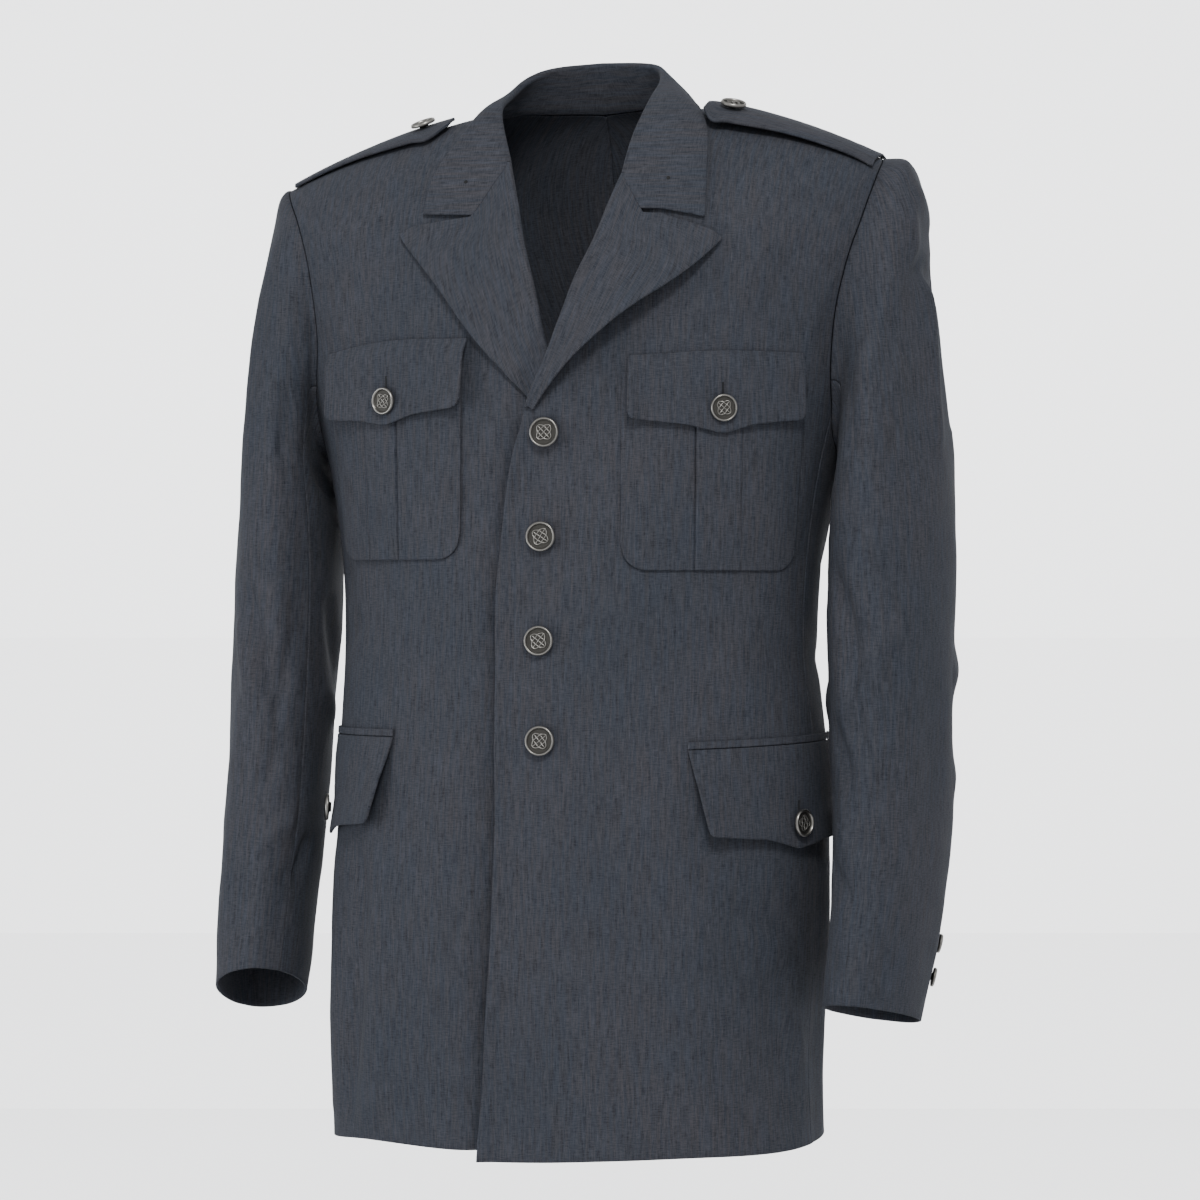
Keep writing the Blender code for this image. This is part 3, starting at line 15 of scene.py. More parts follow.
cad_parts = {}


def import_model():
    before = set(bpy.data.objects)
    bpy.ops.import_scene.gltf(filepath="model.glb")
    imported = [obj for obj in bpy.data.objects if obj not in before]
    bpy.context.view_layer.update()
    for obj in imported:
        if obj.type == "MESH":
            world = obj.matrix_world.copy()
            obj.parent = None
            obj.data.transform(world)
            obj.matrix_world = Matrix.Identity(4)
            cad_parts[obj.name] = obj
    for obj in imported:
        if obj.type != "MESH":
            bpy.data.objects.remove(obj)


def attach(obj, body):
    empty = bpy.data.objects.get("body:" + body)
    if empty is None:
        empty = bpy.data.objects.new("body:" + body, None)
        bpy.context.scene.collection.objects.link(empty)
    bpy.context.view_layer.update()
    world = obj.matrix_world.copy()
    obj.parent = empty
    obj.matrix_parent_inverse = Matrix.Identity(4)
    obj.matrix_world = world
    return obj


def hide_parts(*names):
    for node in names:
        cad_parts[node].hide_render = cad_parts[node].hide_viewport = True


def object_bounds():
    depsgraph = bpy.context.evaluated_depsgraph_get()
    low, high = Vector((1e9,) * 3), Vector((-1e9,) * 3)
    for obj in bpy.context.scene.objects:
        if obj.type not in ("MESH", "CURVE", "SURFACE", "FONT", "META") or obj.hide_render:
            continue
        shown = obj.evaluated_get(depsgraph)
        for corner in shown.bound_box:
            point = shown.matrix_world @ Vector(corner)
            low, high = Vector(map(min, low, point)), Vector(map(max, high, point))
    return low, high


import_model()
CAD_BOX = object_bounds()

bl_info = {
    "name": "Dress Uniform Jacket",
    "version": (1, 0, 0),
    "blender": (4, 5, 0),
    "location": "3D View > Sidebar > Jacket",
    "description": "Builds a worn dress uniform jacket with its seams, creases and buttons",
    "category": "Add Mesh",
}

LEFT = 1
RIGHT = -1
WORD = {LEFT: "left", RIGHT: "right"}

SEAM = 0.0003                # gap between two pieces at a seam
# Walls: cloth, interlining and turnings together.
BODY_WALL = 0.0020
SLEEVE_WALL = 0.0020
COLLAR_WALL = 0.0022
LAPEL_WALL = 0.0022
POCKET_WALL = 0.0013
FLAP_WALL = 0.0020
WELT_WALL = 0.0018
STRAP_WALL = 0.0022
FOLD_RADIUS = 0.0019         # middle of the cloth where a lapel or the collar turns over

HEM = -0.806                 # lowest row of the body
ARMPIT = -0.270              # row of the armhole's foot
RIDGE = 0.090                # row number of the shoulder seam
SHOULDER_TOP = RIDGE - 0.0004    # row in which the neckline and the armholes pass over the shoulder
UNDER_LAP_EDGE = -0.033      # edge of the right front, past the middle
LAP_SINK = 0.0034            # how far the right front passes under the left one
LAP_RUN = 0.020              # the step inward begins this far outside the left front's edge
LAP_MARGIN = 0.003           # and ends this far outside it
LAPEL_STACK = 0.0042         # how far the left front stands off over the foot of the right lapel
REST = 0.0006                # gap under what lies on a panel
EDGE_BAND = 0.0020           # width of the column of faces along a seam
SHOULDER_TILT = {LEFT: 0.0045, RIGHT: -0.0100}     # rise of each shoulder's outer end
TILT_START = -0.250          # row above which the shoulders differ
NAPE_RISE = 0.020            # the middle of the back's top rises this much toward the neck

# One level section of the body a row. Rows up to -0.18 lie level at their own height, and rows above
# follow the slope of the shoulder.
BODY = (
    # row,    height, slope, bend, half_left, half_right, front, back, side, round_left, round_right, round_back
    (-0.8300, -0.8300, 0.000, 0.00, 0.193, 0.190, -0.155, 0.113, -0.012, 2.35, 2.50, 2.40),
    (-0.7400, -0.7400, 0.000, 0.00, 0.189, 0.189, -0.156, 0.115, -0.012, 2.35, 2.80, 2.40),
    (-0.6200, -0.6200, 0.000, 0.00, 0.195, 0.189, -0.155, 0.118, -0.012, 2.30, 2.70, 2.35),
    (-0.5500, -0.5500, 0.000, 0.00, 0.196, 0.189, -0.152, 0.114, -0.012, 2.25, 2.45, 2.30),
    (-0.4900, -0.4900, 0.000, 0.00, 0.194, 0.189, -0.149, 0.108, -0.012, 2.20, 2.25, 2.25),
    (-0.4200, -0.4200, 0.000, 0.00, 0.187, 0.187, -0.144, 0.101, -0.010, 2.15, 2.15, 2.20),
    (-0.3600, -0.3600, 0.000, 0.00, 0.190, 0.190, -0.140, 0.106, -0.006, 2.10, 2.10, 2.15),
    (-0.3100, -0.3100, 0.000, 0.00, 0.197, 0.197, -0.138, 0.115, -0.002, 2.10, 2.10, 2.15),
    (-0.2700, -0.2700, 0.000, 0.00, 0.205, 0.205, -0.137, 0.121, 0.000, 2.10, 2.10, 2.15),
    (-0.2400, -0.2400, 0.000, 0.00, 0.2125, 0.2125, -0.136, 0.123, 0.000, 2.10, 2.10, 2.15),
    (-0.2100, -0.2100, 0.000, 0.00, 0.220, 0.220, -0.134, 0.124, 0.000, 2.10, 2.10, 2.15),
    (-0.1800, -0.1800, 0.000, 0.00, 0.225, 0.225, -0.131, 0.122, 0.000, 2.10, 2.10, 2.15),
    (-0.1200, -0.1200, 0.030, 0.13, 0.238, 0.238, -0.121, 0.113, 0.000, 2.30, 2.30, 2.25),
    (-0.0600, -0.0580, 0.085, 0.40, 0.247, 0.247, -0.102, 0.102, 0.000, 2.80, 2.80, 2.60),
    (-0.0100, -0.0230, 0.070, 0.60, 0.248, 0.248, -0.078, 0.084, 0.000, 3.40, 3.40, 3.20),
    (0.0300, -0.0025, 0.050, 0.70, 0.248, 0.248, -0.050, 0.060, 0.000, 3.80, 3.80, 3.60),
    (0.0600, 0.0085, 0.050, 0.78, 0.248, 0.248, -0.026, 0.034, 0.000, 4.20, 4.20, 4.20),
    (0.0900, 0.0130, 0.050, 0.80, 0.248, 0.248, 0.000, 0.000, 0.000, 4.40, 4.40, 4.40),
)
HEIGHT, SLOPE, BEND, HALF_LEFT, HALF_RIGHT, FRONT, BACK, SIDE, ROUND_LEFT, ROUND_RIGHT, ROUND_BACK = range(1, 12)

# The armhole, by the same rows: a depth near the armpit, then a length from the middle on the front and a
# depth on the back, then a width at the top of the back.
ARM_FRONT_DEPTH = ((-0.2700, 0.0000), (-0.2620, -0.0215), (-0.2500, -0.0335), (-0.2350, -0.0405))
ARM_FRONT_LENGTH = (
    # row,   left,   right
    (-0.2080, 0.2322, 0.2235),
    (-0.1830, 0.2310, 0.2155),
    (-0.1550, 0.2310, 0.2120),
    (-0.1250, 0.2333, 0.2105),
    (-0.0850, 0.2368, 0.2110),
    (-0.0300, 0.2420, 0.2190),
    (0.0250, 0.2440, 0.2325),
    (0.0900, 0.2380, 0.2380),
)
ARM_BACK_DEPTH = (
    (-0.2700, 0.0000), (-0.2620, 0.0215), (-0.2500, 0.0345), (-0.2350, 0.0445), (-0.2100, 0.0560),
    (-0.1800, 0.0640), (-0.1200, 0.0670), (-0.0600, 0.0590), (-0.0200, 0.0444),
)
ARM_BACK_WIDTH = ((-0.0200, 0.2345), (0.0300, 0.2370), (0.0900, 0.2380))

# Where the neckline crosses the rows, from the lapel's fold to the shoulder seam.
NECK_FRONT = {
    LEFT: ((-0.0530, 0.0590), (-0.0100, 0.0660), (0.0300, 0.0755), (0.0600, 0.0815), (0.0900, 0.0850)),
    RIGHT: ((-0.0440, 0.0385), (-0.0100, 0.0530), (0.0300, 0.0690), (0.0600, 0.0785), (0.0900, 0.0850)),
}
NECK_BACK = ((0.0100, 0.0000), (0.0200, 0.0320), (0.0380, 0.0560), (0.0600, 0.0715), (0.0900, 0.0850))

# Edge of the left front: across the middle, by height.
LAP_EDGE = (
    (-0.8300, -0.0455), (-0.7957, -0.0433), (-0.7579, -0.0404), (-0.7072, -0.0372), (-0.6575, -0.0344),
    (-0.6123, -0.0320), (-0.5597, -0.0307), (-0.4995, -0.0315), (-0.4490, -0.0321), (-0.4112, -0.0327),
    (-0.3712, -0.0324), (-0.3432, -0.0301), (-0.3182, -0.0277), (-0.2849, -0.0231), (-0.2600, -0.0178),
    (-0.2524, -0.0154), (-0.2373, -0.0112),
)
FOLD_FOOT_ROWS = (-0.2366, -0.2359)      # rows of the grid just under and just above the folds' foot
LAP_TOP = -0.2373            # row in which the left front's edge ends and its fold starts
FOLD_FOOT = -0.2360          # row above which both fronts start at their fold

# Fold of each lapel in its own half: height and width from the middle.
FOLD = {
    LEFT: ((-0.2365, -0.0112), (-0.2270, -0.0080), (-0.1907, 0.0065), (-0.1368, 0.0239), (-0.1062, 0.0374),
           (-0.0799, 0.0464), (-0.0572, 0.0542)),
    RIGHT: ((-0.2365, -0.0200), (-0.2290, -0.0175), (-0.1869, -0.0040), (-0.1409, 0.0071),
            (-0.1075, 0.0170), (-0.0761, 0.0243), (-0.0464, 0.0333)),
}
# Outer edge of each lapel from its foot to the tip, then its top edge in to the fold.
LAPEL_EDGE = {
    LEFT: ((-0.0030, -0.2372), (0.0092, -0.2189), (0.0295, -0.1979), (0.0466, -0.1799), (0.0650, -0.1650),
           (0.0833, -0.1513), (0.1030, -0.1400), (0.1244, -0.1187), (0.1355, -0.1073)),
    RIGHT: ((0.0060, -0.2310), (0.0207, -0.2161), (0.0370, -0.1991), (0.0589, -0.1757), (0.0762, -0.1507),
            (0.1002, -0.1230), (0.1166, -0.1045), (0.1196, -0.1000)),
}
LAPEL_TOP = {
    LEFT: ((0.0542, -0.0572), (0.0720, -0.0850), (0.0872, -0.0852), (0.1203, -0.0926), (0.1350, -0.0985)),
    RIGHT: ((0.0333, -0.0464), (0.0516, -0.0776), (0.0588, -0.0876), (0.1041, -0.0923), (0.1190, -0.0975)),
}
COLLAR_END = {
    LEFT: ((0.0542, -0.0572), (0.0720, -0.0850), (0.0872, -0.0852), (0.1200, -0.0916)),
    RIGHT: ((0.0333, -0.0464), (0.0516, -0.0776), (0.0588, -0.0876), (0.0994, -0.0859)),
}
LAPEL_FOOT_HEIGHT = {LEFT: -0.2350, RIGHT: -0.2020}

# Collar from its front end round to the middle of the back: fold, outer edge and the way it faces there.
COLLAR = {
    LEFT: (
        # share, fold_x, fold_y, fold_z, edge_x, edge_y, edge_z, out_x, out_y, out_z, bulge
        (0.00, 0.0542, -0.1023, -0.0572, 0.1200, -0.1080, -0.0916, 0.20, -0.86, 0.47, 0.0040),
        (0.15, 0.0570, -0.0810, -0.0290, 0.1190, -0.0950, -0.0560, 0.22, -0.75, 0.62, 0.0060),
        (0.32, 0.0615, -0.0390, 0.0050, 0.1140, -0.0660, -0.0200, 0.26, -0.60, 0.75, 0.0060),
        (0.50, 0.0605, 0.0020, 0.0250, 0.0920, -0.0080, 0.0060, 0.52, 0.02, 0.85, 0.0035),
        (0.66, 0.0535, 0.0270, 0.0380, 0.0765, 0.0280, 0.0070, 0.66, 0.25, 0.68, 0.0025),
        (0.82, 0.0380, 0.0460, 0.0450, 0.0570, 0.0600, 0.0070, 0.52, 0.70, 0.45, 0.0020),
        (1.00, 0.0000, 0.0590, 0.0480, 0.0000, 0.0820, 0.0080, 0.00, 0.94, 0.33, 0.0015),
    ),
    RIGHT: (
        (0.00, 0.0333, -0.0992, -0.0464, 0.0994, -0.1077, -0.0859, 0.18, -0.87, 0.47, 0.0040),
        (0.15, 0.0440, -0.0750, -0.0225, 0.0945, -0.0950, -0.0530, 0.20, -0.76, 0.62, 0.0060),
        (0.32, 0.0560, -0.0370, 0.0020, 0.0800, -0.0660, -0.0220, 0.26, -0.60, 0.75, 0.0060),
        (0.50, 0.0580, 0.0050, 0.0180, 0.0740, -0.0080, 0.0000, 0.52, 0.02, 0.85, 0.0030),
        (0.66, 0.0530, 0.0270, 0.0320, 0.0680, 0.0280, 0.0030, 0.66, 0.25, 0.68, 0.0020),
        (0.82, 0.0385, 0.0460, 0.0430, 0.0560, 0.0600, 0.0060, 0.52, 0.70, 0.45, 0.0015),
        (1.00, 0.0000, 0.0590, 0.0480, 0.0000, 0.0820, 0.0080, 0.00, 0.94, 0.33, 0.0015),
    ),
}

# Heights of the hem by length from the middle front.
HEM_LINE = {
    LEFT: ((-0.0700, -0.8050), (0.0000, -0.8040), (0.0500, -0.8020), (0.1200, -0.7997), (0.2000, -0.7995),
           (0.2600, -0.7975), (0.3400, -0.7930), (0.4900, -0.7960)),
    RIGHT: ((-0.0700, -0.7970), (0.0000, -0.7970), (0.0740, -0.7961), (0.1470, -0.7938), (0.2000, -0.7970),
            (0.2600, -0.8000), (0.3400, -0.7990), (0.4900, -0.7960)),
}

# Chest pocket: lengths from the middle, and rows of its flap and of its bag.
CHEST_POCKET = {
    # flap_in, flap_out, flap_top_in, flap_top_mid, flap_top_out, flap_low_in, flap_point, flap_low_out,
    # button_along, button_row, bag_in, bag_out, bag_low, pleat_in, pleat_out
    LEFT: (0.0670, 0.2040, -0.1970, -0.1932, -0.1938, -0.2450, -0.2554, -0.2429,
           0.1381, -0.2360, 0.0625, 0.2075, -0.3588, 0.1185, 0.1548),
    RIGHT: (0.0590, 0.1960, -0.1816, -0.1815, -0.1894, -0.2345, -0.2473, -0.2403,
            0.1273, -0.2284, 0.0632, 0.1965, -0.3503, 0.1205, 0.1530),
}
(FLAP_IN, FLAP_OUT, FLAP_TOP_IN, FLAP_TOP_MID, FLAP_TOP_OUT, FLAP_LOW_IN, FLAP_POINT, FLAP_LOW_OUT,
 CHEST_BUTTON_ALONG, CHEST_BUTTON_ROW, BAG_IN, BAG_OUT, BAG_LOW) = range(13)
# Hip pocket: lengths from the middle, and rows.
HIP_POCKET = {
    # top_in, top_out, welt_top_in, welt_top_out, low_in, low_out, low_in_row, point_row, low_out_row,
    # button_along, button_row
    LEFT: (0.1155, 0.2960, -0.4892, -0.4830, 0.1290, 0.2980, -0.5592, -0.5700, -0.5607, 0.2110, -0.5504),
    RIGHT: (0.1215, 0.3020, -0.4800, -0.4796, 0.1330, 0.3040, -0.5528, -0.5640, -0.5560, 0.2170, -0.5430),
}
(TOP_IN, TOP_OUT, WELT_TOP_IN, WELT_TOP_OUT, LOW_IN, LOW_OUT, LOW_IN_ROW, POINT_ROW, LOW_OUT_ROW,
 HIP_BUTTON_ALONG, HIP_BUTTON_ROW) = range(11)
WELT_HEIGHT = 0.0055         # of the hip pocket's welt
HIP_FLAP_DROP = 0.0005       # gap under the welt

SLEEVE = {
    LEFT: (
        # along, out_x, out_z, in_x, in_z, mid_y, front, back, turn, tilt
        (0.000, 0.2380, -0.0390, 0.2050, -0.2700, 0.000, 0.066, 0.067, 0.0, 0.0),
        (0.012, 0.2560, -0.0400, 0.2062, -0.2740, 0.000, 0.068, 0.068, 0.0, 0.0),
        (0.030, 0.2650, -0.0560, 0.2060, -0.2790, 0.001, 0.071, 0.071, 0.0, 0.0),
        (0.075, 0.2725, -0.1050, 0.2045, -0.2880, 0.001, 0.077, 0.077, 1.0, 0.0),
        (0.140, 0.2810, -0.1800, 0.2030, -0.3000, 0.001, 0.082, 0.082, 3.0, 0.0),
        (0.220, 0.2890, -0.2700, 0.2015, -0.3250, 0.001, 0.083, 0.083, 6.0, 0.0),
        (0.300, 0.2915, -0.3600, 0.2020, -0.3750, -0.003, 0.081, 0.081, 9.0, 2.0),
        (0.390, 0.2900, -0.4550, 0.2045, -0.4600, -0.009, 0.078, 0.077, 10.0, 4.0),
        (0.470, 0.2895, -0.5450, 0.2070, -0.5450, -0.018, 0.073, 0.073, 10.0, 8.0),
        (0.550, 0.2855, -0.6180, 0.2095, -0.6180, -0.038, 0.067, 0.066, 10.0, 12.0),
        (0.625, 0.2755, -0.6960, 0.2085, -0.6940, -0.064, 0.060, 0.058, 10.0, 11.0),
    ),
    RIGHT: (
        (0.000, 0.2380, -0.0480, 0.2050, -0.2700, 0.000, 0.066, 0.067, 0.0, 0.0),
        (0.012, 0.2435, -0.0550, 0.2062, -0.2740, 0.000, 0.068, 0.068, 0.0, 0.0),
        (0.030, 0.2490, -0.0750, 0.2060, -0.2790, 0.001, 0.071, 0.071, 0.0, 0.0),
        (0.075, 0.2570, -0.1200, 0.2045, -0.2880, 0.001, 0.077, 0.077, 1.0, 0.0),
        (0.140, 0.2670, -0.1900, 0.2030, -0.3000, 0.001, 0.081, 0.081, 3.0, 0.0),
        (0.220, 0.2780, -0.2750, 0.2010, -0.3250, 0.001, 0.082, 0.082, 6.0, 0.0),
        (0.300, 0.2840, -0.3600, 0.2010, -0.3750, -0.003, 0.080, 0.080, 9.0, 2.0),
        (0.390, 0.2850, -0.4550, 0.2040, -0.4600, -0.009, 0.077, 0.076, 10.0, 4.0),
        (0.470, 0.2865, -0.5450, 0.2070, -0.5450, -0.018, 0.073, 0.073, 10.0, 8.0),
        (0.550, 0.2860, -0.6150, 0.2095, -0.6150, -0.038, 0.067, 0.067, 10.0, 14.0),
        (0.625, 0.2800, -0.6880, 0.2100, -0.6830, -0.065, 0.060, 0.060, 10.0, 19.0),
    ),
}
SEAM_IN_FRONT = 0.360        # share of the way round, from the top by the front, of the front sleeve seam
SEAM_BEHIND = ((0.000, 0.730), (0.300, 0.750), (0.625, 0.850))

# Shoulder strap: width from the middle, width forward and behind the shoulder seam, lift, along the strap.
STRAP = {
    # x, middle, half_width, lift
    LEFT: ((0.1030, -0.0350, 0.0090, 0.0070), (0.1110, -0.0350, 0.0250, 0.0070), (0.1250, -0.0340, 0.0255, 0.0070),
           (0.1700, -0.0250, 0.0250, 0.0050), (0.2350, -0.0130, 0.0245, 0.0012)),
    RIGHT: ((0.0965, -0.0350, 0.0090, 0.0035), (0.1045, -0.0350, 0.0250, 0.0035), (0.1250, -0.0340, 0.0255, 0.0035),
            (0.1700, -0.0250, 0.0250, 0.0025), (0.2340, -0.0130, 0.0245, 0.0012)),
}

STRAP_END_CUT = {LEFT: 0.0020, RIGHT: 0.0110}     # the strap's outer end follows the armhole

# Buttons: radius and height.
FRONT_BUTTON = (0.0115, 0.0060)
POCKET_BUTTON = (0.0105, 0.0055)
STRAP_BUTTON = (0.0100, 0.0052)
CUFF_BUTTON = (0.0075, 0.0042)
FRONT_BUTTONS = (
    # x, z, lift
    (0.0049, -0.2545, 0.0010), (0.0022, -0.3332, 0.0006), (0.0019, -0.4120, 0.0006), (0.0041, -0.4872, 0.0004),
)


def curve(table, at):
    """Values of a smooth curve through a table whose first column is the position."""
    table = np.asarray(table, dtype=float)
    at = np.asarray(at, dtype=float)
    knots = table[:, 0]
    values = table[:, 1:]
    steps = np.diff(knots)[:, None]
    rates = np.diff(values, axis=0) / steps
    slopes = np.empty_like(values)
    slopes[1:-1] = (rates[:-1] * steps[1:] + rates[1:] * steps[:-1]) / (steps[:-1] + steps[1:])
    slopes[0] = rates[0]
    slopes[-1] = rates[-1]
    flat = np.clip(at.ravel(), knots[0], knots[-1])
    cell = np.clip(np.searchsorted(knots, flat, side="right") - 1, 0, len(knots) - 2)
    step = steps[cell]
    part = ((flat - knots[cell])[:, None]) / step
    start = (2 * part - 3) * part * part + 1
    rise = ((part - 2) * part + 1) * part
    fall = (part - 1) * part * part
    found = (start * values[cell] + (1 - start) * values[cell + 1]
             + step * (rise * slopes[cell] + fall * slopes[cell + 1]))
    return found.reshape(at.shape + (values.shape[1],))


def smooth(low, high, at):
    """0 below low, 1 above high, with a soft change between."""
    part = np.clip((np.asarray(at, dtype=float) - low) / (high - low), 0.0, 1.0)
    return part * part * (3 - 2 * part)


def unit(vectors):
    """Vectors of length 1."""
    return vectors / np.maximum(np.linalg.norm(vectors, axis=-1, keepdims=True), 1e-12)


def mixed(first, second, share):
    """Between two values."""
    return first + (second - first) * share


def run_lengths(path):
    """Running length along a line of points."""
    return np.concatenate(([0.0], np.cumsum(np.linalg.norm(np.diff(path, axis=0), axis=1))))


def point_at(path, lengths, at):
    """Point of a line at a running length."""
    return np.stack([np.interp(at, lengths, path[:, axis]) for axis in range(path.shape[1])], axis=-1)


SKIN_ROWS = 240              # rows of a body table
SKIN_COLUMNS = 260           # and its columns
SKIN_START = -0.070          # the section runs on this far past the middle of the front
QUARTER_STEPS = 300          # steps in a quarter of a section


def body_table(side):
    """Points of half a body, row by row, evenly spaced from past the middle front to the middle back."""
    rows = np.linspace(BODY[0][0], RIDGE, SKIN_ROWS)
    columns = curve(BODY, rows)
    points = np.empty((SKIN_ROWS, SKIN_COLUMNS, 3))
    lengths = np.empty(SKIN_ROWS)
    angle = np.linspace(0.0, math.pi / 2, QUARTER_STEPS)
    round_column = ROUND_LEFT if side == LEFT else ROUND_RIGHT
    half_column = HALF_LEFT if side == LEFT else HALF_RIGHT
    for number in range(SKIN_ROWS):
        row = np.concatenate(([rows[number]], columns[number]))
        front_power = 2 / row[round_column]
        back_power = 2 / row[ROUND_BACK]
        front_x = row[half_column] * np.sin(angle) ** front_power
        front_y = row[SIDE] + (row[FRONT] - row[SIDE]) * np.cos(angle) ** front_power
        back_x = row[half_column] * np.sin(angle[::-1]) ** back_power
        back_y = row[SIDE] + (row[BACK] - row[SIDE]) * np.cos(angle[::-1]) ** back_power
        across = np.concatenate((-front_x[:0:-1], front_x, back_x[1:]))
        deep = np.concatenate((front_y[:0:-1], front_y, back_y[1:]))
        length = np.concatenate(([0.0], np.cumsum(np.hypot(np.diff(across), np.diff(deep)))))
        length -= length[QUARTER_STEPS - 1]
        lengths[number] = length[-1]
        wanted = np.linspace(SKIN_START, length[-1], SKIN_COLUMNS)
        points[number, :, 0] = np.interp(wanted, length, across)
        points[number, :, 1] = np.interp(wanted, length, deep)
        out = np.abs(points[number, :, 0])
        tilt = SHOULDER_TILT[side] * out / row[half_column] * smooth(TILT_START, RIDGE, rows[number])
        nape = (1 - smooth(0.02, 0.13, out)) * smooth(0.0, 0.06, points[number, :, 1])
        nape = nape * NAPE_RISE * smooth(-0.10, 0.01, rows[number])
        points[number, :, 2] = row[HEIGHT] - (row[SLOPE] + row[BEND] * out) * out + tilt + nape
    padded = np.concatenate((2 * points[:1] - points[1:2], points, 2 * points[-1:] - points[-2:-1]))
    padded = np.concatenate((2 * padded[:, :1] - padded[:, 1:2], padded,
                             2 * padded[:, -1:] - padded[:, -2:-1]), axis=1)
    return padded, lengths


TABLES = {side: body_table(side) for side in (LEFT, RIGHT)}


def table_place(row):
    """Place of a row in the body tables."""
    return (np.asarray(row) - BODY[0][0]) / (RIDGE - BODY[0][0]) * (SKIN_ROWS - 1)


def row_length(side, row):
    """Length of a row from the middle front to the middle back."""
    return np.interp(table_place(row), np.arange(SKIN_ROWS), TABLES[side][1])


def four_weights(part):
    """Weights of four neighbours for a smooth reading of a table."""
    return (((-0.5 * part + 1) * part - 0.5) * part,
            (1.5 * part - 2.5) * part * part + 1,
            ((-1.5 * part + 2) * part + 0.5) * part,
            (0.5 * part - 0.5) * part * part)


def skin(side, along, row):
    """Outer points of the body in its own frame, at a length from the middle front and a row."""
    along, row = np.broadcast_arrays(np.asarray(along, dtype=float), np.asarray(row, dtype=float))
    table = TABLES[side][0]
    place = np.clip(table_place(row), 0.0, SKIN_ROWS - 1.0)
    column = (along - SKIN_START) / (row_length(side, row) - SKIN_START) * (SKIN_COLUMNS - 1)
    column = np.clip(column, 0.0, SKIN_COLUMNS - 1.0)
    low_row = np.minimum(place.astype(int), SKIN_ROWS - 2)
    low_column = np.minimum(column.astype(int), SKIN_COLUMNS - 2)
    row_weights = four_weights(place - low_row)
    column_weights = four_weights(column - low_column)
    found = np.zeros(along.shape + (3,))
    for i in range(4):
        for j in range(4):
            weight = (row_weights[i] * column_weights[j])[..., None]
            found += weight * table[low_row + i, low_column + j]
    return found


FACING_STEP = 0.0015         # distance over which the skin's direction is measured
SEARCH_STEP = 0.001          # distance over which a search measures how fast a coordinate changes


def normals(side, along, row):
    """Outward directions of the body's skin."""
    across = skin(side, along + FACING_STEP, row) - skin(side, along - FACING_STEP, row)
    up = skin(side, along, row + FACING_STEP) - skin(side, along, row - FACING_STEP)
    return unit(np.cross(across, up))


def lifted(side, along, row, lift):
    """Points of the body's skin moved outward."""
    along, row, lift = np.broadcast_arrays(along, row, lift)
    return skin(side, along, row) + normals(side, along, row) * lift[..., None]


def length_at_x(side, x, row):
    """Length along a row's front at which it is x from the middle."""
    x, row = np.broadcast_arrays(np.asarray(x, dtype=float), np.asarray(row, dtype=float))
    along = x.copy()
    for _ in range(8):
        here = skin(side, along, row)[..., 0]
        rate = (skin(side, along + SEARCH_STEP, row)[..., 0]
                - skin(side, along - SEARCH_STEP, row)[..., 0]) / (2 * SEARCH_STEP)
        along = along + (x - here) / np.maximum(rate, 0.12)
    return along


def on_front(side, x, z):
    """Length and row of the front point at a distance x from the middle and a height z."""
    x, z = np.broadcast_arrays(np.asarray(x, dtype=float), np.asarray(z, dtype=float))
    row = np.minimum(z + 0.1 * np.abs(x), RIDGE - 0.003)
    for _ in range(8):
        along = length_at_x(side, x, row)
        here = skin(side, along, row)[..., 2]
        rate = (skin(side, along, row + SEARCH_STEP)[..., 2]
                - skin(side, along, row - SEARCH_STEP)[..., 2]) / (2 * SEARCH_STEP)
        row = np.clip(row + (z - here) / np.maximum(rate, 0.15), BODY[0][0], RIDGE - 0.002)
    return length_at_x(side, x, row), row


def length_where(side, row, axis, value, from_back=False):
    """Length along one row at which a coordinate reaches a value, on the front or coming from the back."""
    total = float(row_length(side, row))
    tries = np.linspace(total if from_back else 0.0, total * 0.45 if from_back else total, 500)
    found = np.maximum.accumulate(skin(side, tries, row)[:, axis])
    return float(np.interp(value, found, tries))


def arm_front(side, row):
    """Length at which the armhole cuts a row of the front."""
    low = ARM_FRONT_DEPTH[-1]
    if row < low[0]:
        return length_where(side, row, 1, float(curve(ARM_FRONT_DEPTH, row)[0]))
    first = (low[0], length_where(side, low[0], 1, low[1]), length_where(side, low[0], 1, low[1]))
    column = 0 if side == LEFT else 1
    return float(curve((first,) + ARM_FRONT_LENGTH, row)[column])


def arm_back(side, row):
    """Length at which the armhole cuts a row of the back."""
    if row < ARM_BACK_WIDTH[0][0]:
        return length_where(side, row, 1, float(curve(ARM_BACK_DEPTH, row)[0]))
    return length_where(side, row, 0, float(curve(ARM_BACK_WIDTH, row)[0]), from_back=True)


ARM_FRONT_FOOT = -0.2380     # rows at which the side seams meet the armhole
ARM_BACK_FOOT = -0.2330


def seam_depth(side, arm, foot):
    """Depth at which a side seam meets the armhole."""
    return float(skin(side, arm(side, foot), foot)[1])


def side_seam(side, row, depth):
    """Length at which a side seam cuts a row."""
    return length_where(side, row, 1, depth)


def fold_x(side, row):
    """Width of a lapel's fold at a height."""
    return float(curve(FOLD[side], row)[0])


def front_lift(x, z):
    """The left front lies over the right lapel's foot near the break."""
    over = (1 - smooth(0.014, 0.050, x)) * smooth(-0.268, -0.236, z) * (1 - smooth(-0.182, -0.150, z))
    return LAPEL_STACK * over


